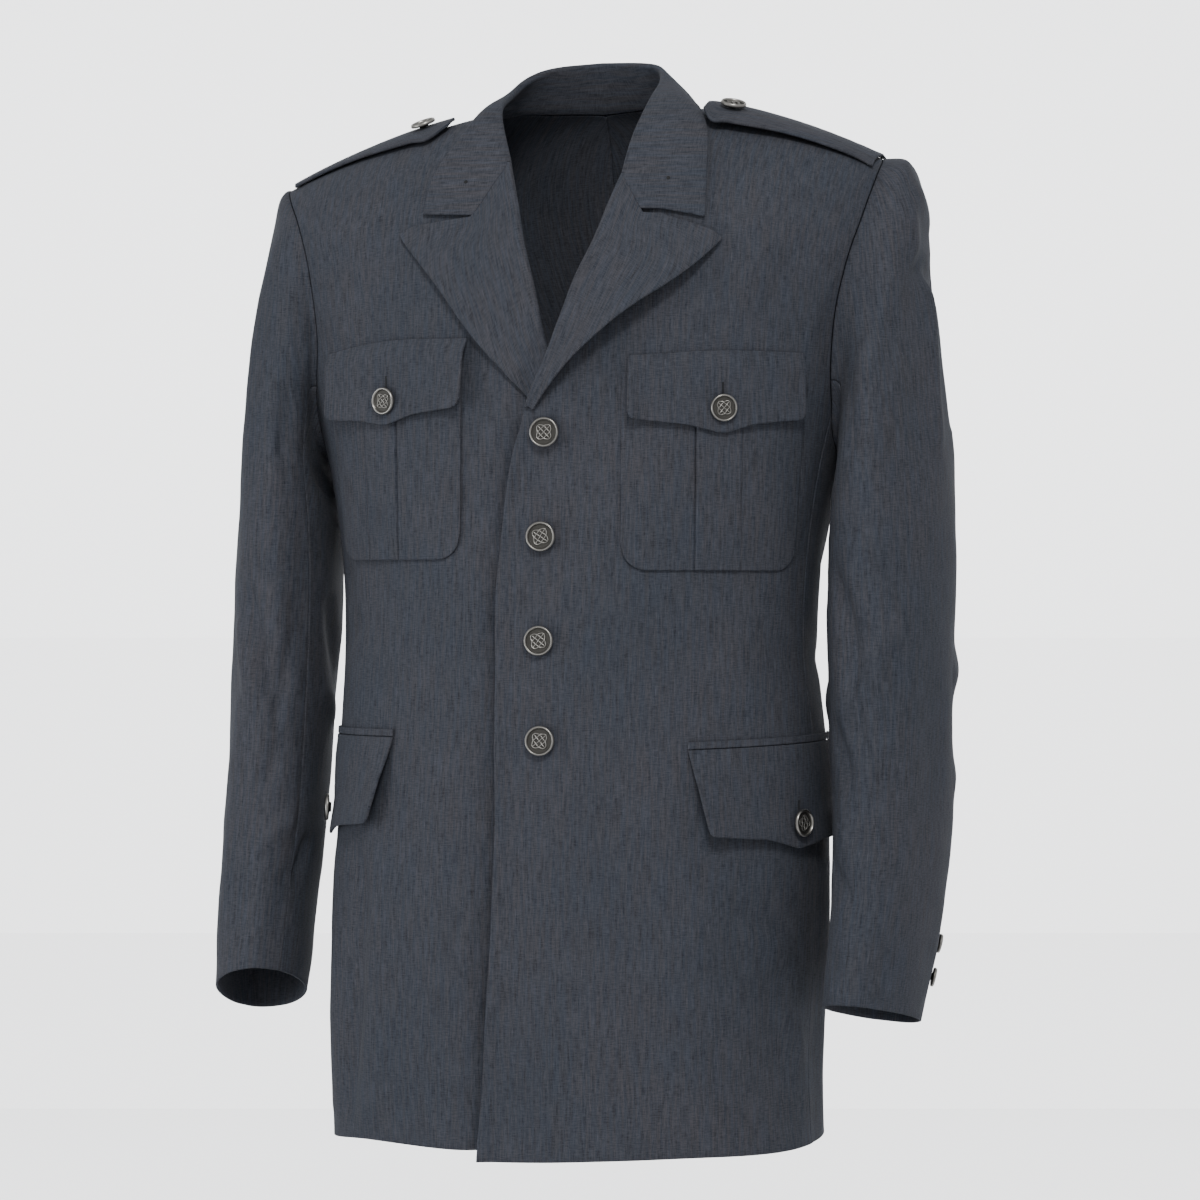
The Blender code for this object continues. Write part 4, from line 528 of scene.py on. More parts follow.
def lap_sink(x, z):
    """The right front passes inward under the left one; x is the true width, + to the wearer's left."""
    edge = np.where(z < LAP_TOP, curve(LAP_EDGE, z)[..., 0], curve(FOLD[LEFT], z)[..., 0])
    return -LAP_SINK * smooth(edge - LAP_RUN, edge - LAP_MARGIN, x) * (1 - smooth(-0.185, -0.160, z))


def body_lift(side, along, row):
    """How far a front stands off the plain skin."""
    point = skin(side, along, row)
    if side == LEFT:
        return front_lift(point[..., 0], point[..., 2])
    return lap_sink(-point[..., 0], point[..., 2])


def world(side, points):
    """Own frame to the jacket's."""
    moved = np.array(points, dtype=float)
    moved[..., 0] *= side
    return moved


def spread(start, end, count):
    """Even steps between two arrays, as a last axis."""
    share = np.linspace(0.0, 1.0, count)
    return np.asarray(start)[..., None] * (1 - share) + np.asarray(end)[..., None] * share


def banded(start, end, count):
    """Like spread, with a narrow column at each edge so that the edge faces squarely out."""
    inner = spread(start + EDGE_BAND, end - EDGE_BAND, count - 2)
    return np.concatenate((np.asarray(start)[..., None], inner, np.asarray(end)[..., None]), axis=-1)


HEM_SPREAD = -0.700          # row up to which the hem's line bends the rows


def hem_rows(side, along, rows):
    """Rows bent to the hem line near the bottom."""
    drop = curve(HEM_LINE[side], along)[..., 0] - rows[0]
    return rows[:, None] + drop * (1 - smooth(rows[0], HEM_SPREAD, rows))[:, None]


FOLD_INSET = FOLD_RADIUS + LAPEL_WALL / 2 + 0.0017
RIDGE_GAP = 0.0006           # what the shoulder seam's gap grows by
LEAN = 1.07                  # the fold runs slantwise, so its inset is this much wider along a row


def front_inner(side, row):
    """Width at which a front starts."""
    if row > NECK_FRONT[side][0][0]:
        return float(curve(NECK_FRONT[side], row)[0])
    if row > FOLD_FOOT:
        return fold_x(side, row) + FOLD_INSET * LEAN
    return float(curve(LAP_EDGE, row)[0]) if side == LEFT else UNDER_LAP_EDGE


def front_outer(side, row):
    """Length at which a front ends, at the side seam or the armhole."""
    if row < ARM_FRONT_FOOT + 1e-6:
        return side_seam(side, row, seam_depth(side, arm_front, ARM_FRONT_FOOT)) - SEAM / 2
    return arm_front(side, row)


def ridge_gap(x):
    """Half the gap along the shoulder seam, wider where the shoulder's two slopes meet at an angle."""
    return SEAM * 0.6 + RIDGE_GAP * smooth(0.16, 0.22, x)


def back_outer(side, row):
    """Length at which a back starts, at its side seam or the armhole."""
    if row < ARM_BACK_FOOT + 1e-6:
        return side_seam(side, row, seam_depth(side, arm_back, ARM_BACK_FOOT)) + SEAM / 2
    return arm_back(side, row)


def arm_loop(side, shares):
    """The armhole's edge: 0 at the shoulder seam, by the front to 0.5 at the armpit, and up the back."""
    rows = np.concatenate((np.linspace(SHOULDER_TOP, -0.2400, 60), np.linspace(-0.2420, ARMPIT, 40)))
    before = np.array([skin(side, arm_front(side, row), row) for row in rows])
    behind = np.array([skin(side, arm_back(side, row), row) for row in rows])
    found = np.empty(shares.shape + (3,))
    for path, near in ((before, shares <= 0.5), (behind, shares > 0.5)):
        length = run_lengths(path)
        part = np.where(shares <= 0.5, shares, 1.0 - shares) * 2 * length[-1]
        found[near] = point_at(path, length, part)[near]
    return found


LOOP_FADE = 0.110            # length over which a sleeve leaves the armhole's shape
LOOP_SHARES = np.linspace(0.0, 1.0, 241)
LOOPS = {side: arm_loop(side, LOOP_SHARES) for side in (LEFT, RIGHT)}
ARM_GAP = 0.0013             # between the armhole and the sleeve
ARM_CORNER = 0.895           # share of the way round at which the armhole turns onto the shoulder
ARM_CORNER_GAP = 0.0042      # what that gap grows by at the turn
START_BAND = 0.0025          # the sleeve first runs straight out of the armhole


def sleeve_point(side, along, share):
    """Outer points of a sleeve in its own frame: a length down the arm and a share of the way round."""
    along, share = np.broadcast_arrays(np.asarray(along, dtype=float), np.asarray(share, dtype=float))
    share = share % 1.0
    plain = oval(side, along, share)
    loop = point_at(LOOPS[side], LOOP_SHARES, share)
    corner = ARM_CORNER_GAP * np.exp(-((share - ARM_CORNER) / 0.045) ** 2)
    loop[..., 0] += ARM_GAP + corner + np.minimum(along, START_BAND)
    first = oval(side, np.minimum(along, START_BAND), share)
    fade = (1 - smooth(START_BAND, LOOP_FADE, along))[..., None]
    return plain + (loop - first) * fade


def oval(side, along, share):
    """Plain oval section of a sleeve."""
    values = curve(SLEEVE[side], along)
    out_x, out_z, in_x, in_z, mid_y, before, behind, turn, tilt = (values[..., i] for i in range(9))
    round_at = share * 2 * math.pi
    across = np.cos(round_at)
    deep = np.sin(round_at)
    reach = np.where(deep > 0, before, behind) * deep
    half_x = (out_x - in_x) / 2 * across
    rise = (out_z + in_z) / 2 + (out_z - in_z) / 2 * across
    turned = np.radians(turn)
    x = (out_x + in_x) / 2 + half_x * np.cos(turned) - reach * np.sin(turned)
    y = mid_y - reach * np.cos(turned) - half_x * np.sin(turned)
    z = rise + reach * np.tan(np.radians(tilt))
    return np.stack((x, y, z), axis=-1)


SLEEVE_GIRTH = 0.42          # about the way round a sleeve
FOLD_STEP = 0.004            # the fold's direction is measured this far up and down


def fold_frame(side, height, lift):
    """A point on a lapel's fold, and the ways out of the chest, toward the neck and up the fold."""
    places = [on_front(side, fold_x(side, z), z) for z in (height - FOLD_STEP, height + FOLD_STEP, height)]
    low, high, here = (skin(side, *place) for place in places)
    run = unit(high - low)
    out = normals(side, *places[2])
    out = unit(out - run * float(np.dot(out, run)))
    toward = np.cross(run, out)
    toward = toward if toward[0] < 0 else -toward
    return here + out * lift, out, toward, run


LAPEL_REST = 0.0016          # under side of a lapel above the front, past the fold
BELLY = {LEFT: 0.0085, RIGHT: 0.0006}    # how far a lapel bows out


def path_point(path, share):
    """Point at a share of the length of a bent line."""
    path = np.asarray(path, dtype=float)
    length = run_lengths(path)
    return point_at(path, length, share * length[-1])


def line_nodes(line):
    """Shares along a lapel's or collar's end at which its grid has its columns: the bends and some between."""
    length = run_lengths(line)
    marks = [length[1] * 0.5, length[1], length[2], mixed(length[2], length[3], 0.34),
             mixed(length[2], length[3], 0.67)] + list(length[3:])
    return np.array(marks) / length[-1]


# Half the gap of the seam between lapel and collar, across and up, and what it grows by near the fold.
END_SHIFT = np.array((0.00025, 0.00028))
INNER_SHIFT = np.array((0.00090, 0.00040))


def end_shift(share):
    """Half the gap between a lapel's top and the collar's end, by share of its length."""
    return END_SHIFT + INNER_SHIFT * (1 - smooth(0.15, 0.60, share))[:, None]


def lapel_lift(side, down, share):
    """Middle of the lapel's cloth above the front, by share down from the tip and share out from the fold."""
    rest = LAPEL_REST + LAPEL_WALL / 2
    belly = BELLY[side] * np.sin(np.clip(down, 0, 1) * math.pi) ** 0.8 * smooth(0.15, 1.0, share)
    return rest + (FOLD_RADIUS * 2 - LAPEL_WALL / 2 - rest) * (1 - smooth(0.0, 0.25, share)) + belly


COLLAR_REST = 0.0021         # least gap under the collar's fall
COLLAR_BAND = 0.02           # share of the half collar taken by the narrow faces at its end


def neck_place(side, share):
    """Length and row along the neckline, from the lapel's fold to the middle of the back."""
    front_rows = NECK_FRONT[side]
    if share <= 0.5:
        row = mixed(front_rows[0][0], SHOULDER_TOP, share / 0.5)
        return float(length_at_x(side, float(curve(front_rows, row)[0]), row)), row
    row = mixed(SHOULDER_TOP, NECK_BACK[0][0], (share - 0.5) / 0.5)
    return length_where(side, row, 0, float(curve(NECK_BACK, row)[0]), from_back=True), row


def neck_point(side, share):
    """Middle of the body's cloth along the neckline."""
    along, row = neck_place(side, share)
    return skin(side, along, row) - normals(side, along, row) * BODY_WALL / 2


def neck_facing(side, share):
    """The way the body faces along the neckline."""
    return normals(side, *neck_place(side, share))


def table_normals(side):
    """Outward directions at every point of a body table."""
    table = TABLES[side][0][1:-1, 1:-1]
    return unit(np.cross(np.gradient(table, axis=1), np.gradient(table, axis=0)))


TABLE_NORMALS = {side: table_normals(side) for side in (LEFT, RIGHT)}


def above_body(side, points, least):
    """Points pushed out so that they stand at least this far off the body's skin."""
    table = TABLES[side][0][1:-1, 1:-1]
    found = []
    for point in np.asarray(points):
        nearest = np.unravel_index(np.argmin(((table - point) ** 2).sum(axis=-1)), table.shape[:2])
        out = TABLE_NORMALS[side][nearest]
        height = float((point - table[nearest]) @ out)
        found.append(point + out * max(0.0, least - height))
    return np.array(found)


BAG_CORNER = 0.020           # radius of the chest pocket's bottom corners
BAG_TOP_DROP = 0.014         # the bag starts this far under the flap's top edge
FLAP_OVER_PLEAT = 0.0037     # under side of the flap above the front
FLAP_RUN = 0.012             # length over which the flap rises from its seam


def pointed_edge(share, at, first, point, last, bow):
    """Rows of a flap's bottom edge, which bows toward a point at a share of its width."""
    return np.interp(share, (0.0, at * 0.62, at, 1 - (1 - at) * 0.62, 1.0),
                     (first, mixed(first, point, bow), point, mixed(last, point, bow), last))


def eased_edge(low, times):
    """An edge's rows with each step softened toward its neighbours."""
    for _ in range(times):
        low[1:-1] = low[1:-1] * 0.5 + (low[:-2] + low[2:]) * 0.25
    return low


def corner_rise(from_side, radius):
    """How far a rounded bottom corner rises, by the distance from the side edge."""
    inside = np.clip(radius - from_side, 0.0, radius)
    return radius - np.sqrt(np.maximum(radius ** 2 - inside ** 2, 0.0))


def chest_flap_rows(side, share):
    """Top and bottom rows of the chest flap at a share of its width."""
    values = CHEST_POCKET[side]
    top = curve(((0.0, values[FLAP_TOP_IN]), (0.5, values[FLAP_TOP_MID]), (1.0, values[FLAP_TOP_OUT])), share)[..., 0]
    point_share = (values[CHEST_BUTTON_ALONG] - values[FLAP_IN]) / (values[FLAP_OUT] - values[FLAP_IN])
    return top, pointed_edge(share, point_share, values[FLAP_LOW_IN], values[FLAP_POINT], values[FLAP_LOW_OUT], 0.38)


def flap_lift(drop):
    """Under side of a chest flap above the front, by the distance under its top edge."""
    return REST + (FLAP_OVER_PLEAT - REST) * smooth(0.001, FLAP_RUN, drop)


def hip_lines(side, share):
    """Along, top row and bottom row of the hip flap at a share of its width."""
    values = HIP_POCKET[side]
    top = mixed(values[WELT_TOP_IN], values[WELT_TOP_OUT], smooth(-0.4, 1.0, share)) - WELT_HEIGHT - HIP_FLAP_DROP
    point_share = (values[HIP_BUTTON_ALONG] - values[LOW_IN]) / (values[LOW_OUT] - values[LOW_IN])
    return top, pointed_edge(share, point_share, values[LOW_IN_ROW], values[POINT_ROW], values[LOW_OUT_ROW], 0.30)


def hip_lift(share, down):
    """Under side of the hip flap above the front: it stands off at its inner edge and at the bottom."""
    return (REST + 0.0010 * smooth(0.0, 0.25, down) + 0.0022 * down ** 2
            + 0.0022 * (1 - smooth(0.0, 0.30, share)) * smooth(0.0, 0.6, down))


def over_shoulder(side, x, forward):
    """Point of the shoulder at a width, and a length from its seam, backward positive."""
    tries = np.linspace(RIDGE - 0.0002, -0.030, 40)
    if forward <= 0:
        path = skin(side, length_at_x(side, np.full(tries.shape, x), tries), tries)
    else:
        path = np.array([skin(side, length_where(side, row, 0, x, from_back=True), row) for row in tries])
    return point_at(path, run_lengths(path), abs(forward))


def strap_point(side, along, across):
    """Under side of the strap: a share along it from its pointed end, and a share across from its front."""
    table = np.array(STRAP[side])
    start, end = table[0, 0], table[-1, 0]
    x = mixed(start, end, along)
    middle, half, lift = curve(table, x)
    forward = middle + half * (2 * across - 1)
    x = x - STRAP_END_CUT[side] * max(-forward, 0.0) / 0.036 * along ** 3
    ground = over_shoulder(side, x, forward)
    tilt = (forward - middle) / 0.060
    out = unit(np.array((0.36, math.sin(tilt) * 0.93, math.cos(tilt) * 0.93)))
    return ground + out * (SEAM + lift)


def on_body(side, along, row, lift):
    """Seat and facing of a button on the body's skin."""
    along, row = np.array(float(along)), np.array(float(row))
    extra = float(body_lift(side, along, row))
    point = lifted(side, along, row, np.array(lift + extra))
    return world(side, point), world(side, normals(side, along, row))


# Soft troughs and ridges, each along a bent line: where it starts, bends and ends, its half width and
# its depth, + outward. Body tables read (length from the middle, row); sleeve tables read (metres round
# from the top by the front, metres down the arm). All are in millimetres.
CREASES = {
    "front_left": (
        # start_u, start_v, mid_u, mid_v, end_u, end_v, width, depth
        (135, -360, 135.6, -400, 136, -437, 1.4, -0.9), (150, -619, 176, -622, 200, -634, 9, -2.2),
        (158, -634, 180, -640, 206, -650, 10, 1.3), (206, -690, 226, -720, 252, -745, 11, 2.4),
        (190, -660, 196, -710, 205, -790, 20, -3.2), (128, -620, 132, -700, 136, -800, 26, 1.6),
        (235, -300, 226, -350, 216, -400, 11, -2.2), (222, -270, 205, -330, 196, -370, 10, 1.4),
        (175, -400, 200, -418, 232, -426, 10, -1.4), (60, -500, 80, -600, 84, -780, 30, -1.4),
        (205, -80, 190, -120, 168, -165, 14, -2.2), (226, -130, 214, -165, 206, -200, 10, 1.6),
        (150, -60, 160, -110, 158, -170, 16, 1.2), (30, -290, 60, -300, 100, -372, 12, -0.8),
        (18, -372, 50, -385, 90, -392, 12, 0.8),
    ),
    "front_right": (
        (162, -563, 151, -610, 152, -650, 10, -4.8), (152, -645, 158, -700, 170, -780, 12, -5.5),
        (138, -560, 134, -660, 140, -790, 18, 2.6), (50, -440, 40, -560, 36, -720, 16, -2),
        (75, -470, 78, -600, 74, -760, 20, 2), (200, -560, 196, -660, 205, -780, 18, 3),
        (135, -360, 135.6, -400, 136, -437, 1.4, -0.9), (160, -392, 185, -408, 215, -412, 10, -1.8),
        (205, -300, 198, -350, 186, -392, 12, -1.6), (185, -85, 172, -120, 158, -160, 13, -2),
        (150, -60, 158, -110, 156, -165, 16, 1.2), (100, -400, 115, -430, 118, -470, 12, 0.9),
    ),
    "side_left": (
        (268, -330, 285, -370, 300, -400, 12, -2), (262, -420, 290, -430, 312, -426, 10, -1.8),
        (270, -560, 276, -660, 282, -790, 18, 2.6),
    ),
    "side_right": (
        (262, -340, 280, -372, 298, -392, 12, -1.8), (258, -430, 285, -424, 310, -431, 10, -1.8),
        (262, -580, 270, -680, 276, -790, 18, 2.4),
    ),
    "back_left": (
        (330, -425, 390, -412, 450, -418, 12, -2.2), (340, -452, 400, -446, 462, -450, 14, 1.6),
        (335, -395, 370, -372, 420, -362, 11, -1.4), (315, -210, 345, -260, 352, -330, 14, -3),
        (335, -200, 372, -250, 384, -320, 16, 2), (350, -60, 370, -110, 376, -170, 16, -1.8),
        (360, -560, 366, -660, 362, -790, 24, 2.6), (405, -540, 412, -640, 416, -780, 22, -2.6),
        (446, -560, 450, -680, 452, -795, 20, 1.8), (420, 10, 440, -10, 470, -18, 10, -1.2),
    ),
    "back_right": (
        (334, -418, 380, -424, 440, -413, 12, -2), (345, -446, 400, -455, 456, -447, 14, 1.8),
        (330, -385, 376, -380, 430, -368, 11, -1.2), (318, -205, 340, -268, 350, -318, 14, -2.8),
        (330, -195, 368, -262, 380, -335, 16, 1.8), (352, -55, 366, -118, 380, -160, 16, -2),
        (354, -570, 360, -680, 366, -790, 24, 2.2), (396, -550, 404, -650, 402, -780, 22, -3),
        (440, -550, 446, -660, 444, -795, 20, 2.2), (424, 12, 442, -6, 468, -14, 10, -1),
    ),
    "sleeve_left": (
        (40, 22, 34, 55, 24, 88, 9, 3.4), (22, 30, 6, 48, -20, 58, 14, 3),
        (34, 78, 12, 94, -26, 100, 10, -5.2), (10, 90, 14, 150, 14, 215, 8, 3.6),
        (52, 85, 40, 160, 34, 235, 15, -3), (98, 35, 76, 90, 60, 140, 12, -4.2),
        (110, 60, 96, 130, 90, 210, 14, 2.2), (128, 70, 124, 120, 116, 170, 9, -2.4),
        (150, 285, 112, 345, 98, 385, 12, -4.8), (128, 345, 110, 395, 104, 425, 11, -5),
        (70, 330, 86, 372, 118, 402, 12, 3.6), (150, 405, 124, 440, 112, 468, 10, -4.2),
        (82, 420, 100, 452, 134, 470, 12, 2.6), (146, 520, 118, 548, 78, 556, 11, -3.6),
        (132, 490, 100, 520, 70, 530, 12, 2.2), (60, 560, 90, 590, 120, 612, 14, 1.6),
        (20, 400, 22, 480, 30, 560, 16, -1.8), (40, 300, 50, 370, 46, 440, 18, 1.8),
        (-30, 60, -34, 120, -30, 200, 14, -3.4), (-60, 30, -66, 90, -58, 160, 14, 3.2),
        (-95, 60, -88, 130, -78, 200, 15, -3.4), (-80, 340, -50, 368, -20, 372, 12, 3),
        (-100, 390, -70, 402, -36, 396, 12, -3.6), (-95, 440, -66, 436, -30, 446, 12, 2.4),
        (-130, 300, -150, 350, -160, 410, 14, -3), (-150, 50, -160, 90, -150, 140, 14, -3),
        (190, 60, 180, 100, 186, 150, 14, -3), (176, 300, 196, 335, 206, 372, 12, -3.4),
        (170, 380, 190, 398, 212, 402, 11, 2.6),
    ),
    "sleeve_right": (
        (86, 40, 80, 120, 82, 200, 16, -2.8), (50, 30, 48, 110, 52, 210, 14, 2.2),
        (70, 310, 84, 345, 108, 392, 10, -5.8), (54, 335, 66, 365, 84, 405, 11, 3.6),
        (108, 300, 118, 340, 130, 372, 12, 2.8), (130, 340, 122, 380, 112, 420, 10, -3.6),
        (120, 420, 108, 452, 84, 470, 12, -3), (168, 500, 164, 530, 140, 552, 10, -4.4),
        (150, 470, 128, 500, 100, 512, 12, 2.6), (76, 520, 88, 560, 84, 606, 16, -2.6),
        (50, 420, 52, 500, 60, 590, 18, 1.8), (126, 70, 122, 130, 118, 190, 11, -2.8),
        (-26, 60, -32, 130, -28, 200, 14, -3), (-64, 40, -60, 100, -62, 170, 15, 3),
        (-100, 50, -90, 120, -84, 190, 15, -3.2), (-86, 352, -56, 362, -16, 378, 12, 3),
        (-104, 384, -66, 398, -40, 404, 12, -3.4), (-90, 446, -60, 430, -26, 438, 12, 2.4),
        (-134, 310, -148, 356, -158, 400, 14, -3), (-146, 54, -156, 96, -148, 136, 14, -3),
        (186, 64, 178, 106, 190, 146, 14, -2.8), (180, 306, 192, 340, 208, 366, 12, -3.4),
        (172, 386, 192, 392, 210, 408, 11, 2.6),
    ),
}

# How much deeper the creases of each kind of piece are than their table.
CREASE_GAIN = {"sleeve": 1.3, "front": 1.35, "side": 1.2, "back": 1.2}


def creased(name, across, up):
    """How far the creases of a piece move its cloth, at places on it."""
    across, up = np.broadcast_arrays(across, up)
    moved = np.zeros(across.shape)
    for crease in CREASES[name]:
        a0, b0, a1, b1, a2, b2, width, depth = (value / 1000 for value in crease)
        nearest = np.full(across.shape, 1e9)
        part = np.zeros(across.shape)
        steps = np.linspace(0.0, 1.0, 13)
        line_a = (1 - steps) ** 2 * a0 + 2 * steps * (1 - steps) * (2 * a1 - (a0 + a2) / 2) + steps ** 2 * a2
        line_b = (1 - steps) ** 2 * b0 + 2 * steps * (1 - steps) * (2 * b1 - (b0 + b2) / 2) + steps ** 2 * b2
        for k in range(len(steps) - 1):
            run_a, run_b = line_a[k + 1] - line_a[k], line_b[k + 1] - line_b[k]
            t = ((across - line_a[k]) * run_a + (up - line_b[k]) * run_b) / (run_a ** 2 + run_b ** 2)
            t = np.clip(t, 0.0, 1.0)
            gap = np.hypot(across - line_a[k] - t * run_a, up - line_b[k] - t * run_b)
            closer = gap < nearest
            nearest = np.where(closer, gap, nearest)
            part = np.where(closer, steps[k] + t * (steps[k + 1] - steps[k]), part)
        ends = np.sqrt(np.clip(4 * part * (1 - part), 0.0, 1.0)) * 0.85 + 0.15
        moved += depth * ends * np.exp(-(nearest / width) ** 2)
    return moved * CREASE_GAIN[name.split("_")[0]]


RIPPLES = ((0.061, 0.190, 0.15, 0.00035), (0.094, 0.141, -0.40, 0.00040), (0.037, 0.083, 0.80, 0.00012),
           (0.150, 0.320, 0.05, 0.00055))


def rippled(across, up, seed):
    """Small unevenness of worn cloth."""
    total = np.zeros(np.broadcast(across, up).shape)
    for k, (wide, tall, turn, size) in enumerate(RIPPLES):
        a = across * math.cos(turn) + up * math.sin(turn)
        b = up * math.cos(turn) - across * math.sin(turn)
        total = total + size * np.sin(a / wide * math.tau + seed * 1.7 + k) * np.sin(b / tall * math.tau + seed * 0.9)
    return total


def worn_in(name, across, up, seed):
    """Creases and unevenness of a body panel."""
    return creased(name, across, up) + rippled(across, up, seed)


def grid_normals(points):
    """Outward directions of a grid whose rows run up and columns outward, in the jacket's frame."""
    across = np.gradient(points, axis=1)
    up = np.gradient(points, axis=0)
    return unit(np.cross(across, up))


def inset_edges(points, amount, top=None):
    """The grid with its border drawn in along the cloth, so that a rounded rim can stand there."""
    moved = points.copy()
    moved[:, 0] += unit(points[:, 1] - points[:, 0]) * amount
    moved[:, -1] += unit(points[:, -2] - points[:, -1]) * amount
    moved[0] += unit(points[1] - points[0]) * amount
    moved[-1] += unit(points[-2] - points[-1]) * (amount if top is None else top)
    return moved


def border(rows, columns):
    """Grid places of the border, once round."""
    path = [(0, j) for j in range(columns)]
    path += [(i, columns - 1) for i in range(1, rows)]
    path += [(rows - 1, j) for j in range(columns - 2, -1, -1)]
    path += [(i, 0) for i in range(rows - 2, 0, -1)]
    return path


def shell(name, side, points, wall, grain, place_of="outer", meet=0.0, meet_top=None):
    """A closed cloth wall on a grid of points: rows run upward and columns outward in the own frame.

    wall is one thickness or one at each point. place_of says which face of the wall the points are.
    grain is the grid's place on the flat cloth in metres, the second value along its threads.
    """
    grid = inset_edges(world(side, points), -meet, -meet if meet_top is None else -meet_top)
    rows, columns = grid.shape[:2]
    flip = side == RIGHT
    out = grid_normals(grid) * (-1.0 if flip else 1.0)
    wall = np.broadcast_to(np.asarray(wall, dtype=float), (rows, columns))[..., None]
    shift = {"outer": 0.0, "middle": 0.5, "inner": 1.0}[place_of]
    outer = grid + out * wall * shift
    inner = outer - out * wall
    roll = float(wall.mean()) * 0.30
    path = border(rows, columns)
    index = np.array([i * columns + j for i, j in path])
    full_outer, full_inner = outer.reshape(-1, 3)[index], inner.reshape(-1, 3)[index]
    outer = inset_edges(outer, roll)
    inner = inset_edges(inner, roll)
    rims = [mixed(full_outer, full_inner, share) + (outer.reshape(-1, 3)[index] - full_outer) * draw
            for share, draw in ((0.12, 0.50), (0.32, 0.08), (0.68, 0.08), (0.88, 0.50))]
    count = rows * columns
    verts = np.concatenate([outer.reshape(-1, 3), inner.reshape(-1, 3)] + rims)
    flat = np.asarray(grain, dtype=float).reshape(-1, 2)
    uvs = np.concatenate([flat, flat] + [flat[index]] * len(rims))
    i, j = np.meshgrid(np.arange(rows - 1), np.arange(columns - 1), indexing="ij")
    base = (i * columns + j).ravel()
    quads = np.stack((base, base + 1, base + columns + 1, base + columns), axis=1)
    ring = len(index)
    at = np.arange(ring)
    after = (at + 1) % ring
    loops = [index] + [2 * count + k * ring + at for k in range(len(rims))] + [count + index]
    bands = [np.stack((high[at], low[at], low[after], high[after]), axis=1) for high, low in zip(loops, loops[1:])]
    faces = np.concatenate([quads, quads[:, ::-1] + count] + bands)
    if flip:
        faces = faces[:, ::-1]
    return mesh_piece(name, verts, faces, uvs)


def placed(name, data):
    """A new object in the scene."""
    thing = bpy.data.objects.new(name, data)
    bpy.context.scene.collection.objects.link(thing)
    return thing


def mesh_piece(name, verts, faces, uvs):
    """A smooth-shaded object from arrays of points, four-sided faces and places on the flat cloth."""
    mesh = bpy.data.meshes.new(name)
    mesh.vertices.add(len(verts))
    mesh.vertices.foreach_set("co", np.ascontiguousarray(verts, dtype=np.float32).ravel())
    mesh.loops.add(faces.size)
    mesh.loops.foreach_set("vertex_index", np.ascontiguousarray(faces, dtype=np.int32).ravel())
    mesh.polygons.add(len(faces))
    mesh.polygons.foreach_set("loop_start", np.arange(0, faces.size, 4, dtype=np.int32))
    mesh.update(calc_edges=True)
    layer = mesh.uv_layers.new(name="cloth")
    layer.data.foreach_set("uv", np.ascontiguousarray(uvs[faces.ravel()], dtype=np.float32).ravel())
    mesh.polygons.foreach_set("use_smooth", np.ones(len(faces), dtype=bool))
    mesh.validate()
    return placed(name, mesh)


def flat_length(points, axis):
    """Running length of a grid along one axis."""
    steps = np.linalg.norm(np.diff(points, axis=axis), axis=-1)
    zero = np.zeros_like(np.take(steps, [0], axis=axis))
    return np.concatenate((zero, np.cumsum(steps, axis=axis)), axis=axis)


def body_grain(along, height, seed):
    """Place of body cloth on the flat weave: across the body and up it."""
    along, height = np.broadcast_arrays(along, height)
    return np.stack((along + seed, height + seed * 0.7), axis=-1)


LEAST_STEP = 0.0004          # rows of a grid stand at least this far apart


def level_rows(*parts):
    """Rows of a grid from parts of a list, without those that nearly meet."""
    levels = np.unique(np.round(np.concatenate(parts), 5))
    return levels[np.concatenate(([True], np.diff(levels) > LEAST_STEP))]


LAP_CREVICE = 0.0024         # the right front dips this much more along the left front's edge
POCKET_ROOM = 0.0060         # most that a front's creases stand out


def front_cloth(side, columns=96):
    """Front panel with its creases; returns its points and its place on the weave."""
    levels = level_rows(np.linspace(HEM, -0.250, 118), np.linspace(-0.246, -0.050, 39),
                        np.linspace(-0.047, RIDGE - 0.0005, 39),
                        (*FOLD_FOOT_ROWS, ARM_FRONT_FOOT, NECK_FRONT[side][0][0]))
    inner = length_at_x(side, np.array([front_inner(side, row) for row in levels]), levels)
    outer = np.array([front_outer(side, row) for row in levels])
    above = float(inner[np.searchsorted(levels, FOLD_FOOT)])
    along = banded(inner, outer, columns)
    if side == RIGHT:
        held = np.where(levels <= FOLD_FOOT, above, inner) + 0.003
        along = np.concatenate((spread(inner, held, 6)[:, :-1], banded(held, outer, columns - 5)), axis=1)
    height = hem_rows(side, along, levels)
    start = mixed(inner, np.maximum(inner, above), smooth(FOLD_FOOT - 0.06, FOLD_FOOT, levels))
    near_edge = np.minimum(along - start[:, None], outer[:, None] - along)
    calm = smooth(0.0, 0.020, near_edge) * (1 - smooth(-0.02, 0.06, height))
    calm = calm * (0.45 + 0.55 * pocket_calm(side, along, height))
    lift = body_lift(side, along, height)
    moved = worn_in("front_" + WORD[side], along, height, side) * calm
    if side == LEFT:
        loose = (1 - smooth(0.0, 0.014, along - inner[:, None])) * (1 - smooth(-0.270, -0.245, height))
        lift = lift + loose * (0.0028 + 0.0006 * np.sin(height * 61.0))
    else:
        edge = -curve(LAP_EDGE, height)[..., 0]
        lift = lift - LAP_CREVICE * smooth(edge + 0.008, edge + 0.001, along) * (1 - smooth(-0.250, -0.238, height))
    points = lifted(side, along, height, lift + np.clip(moved, -0.006, POCKET_ROOM))
    points[-1, :, 1] = np.minimum(points[-1, :, 1], -ridge_gap(points[-1, :, 0]))
    return points, body_grain(along, height, 0.3 * side)


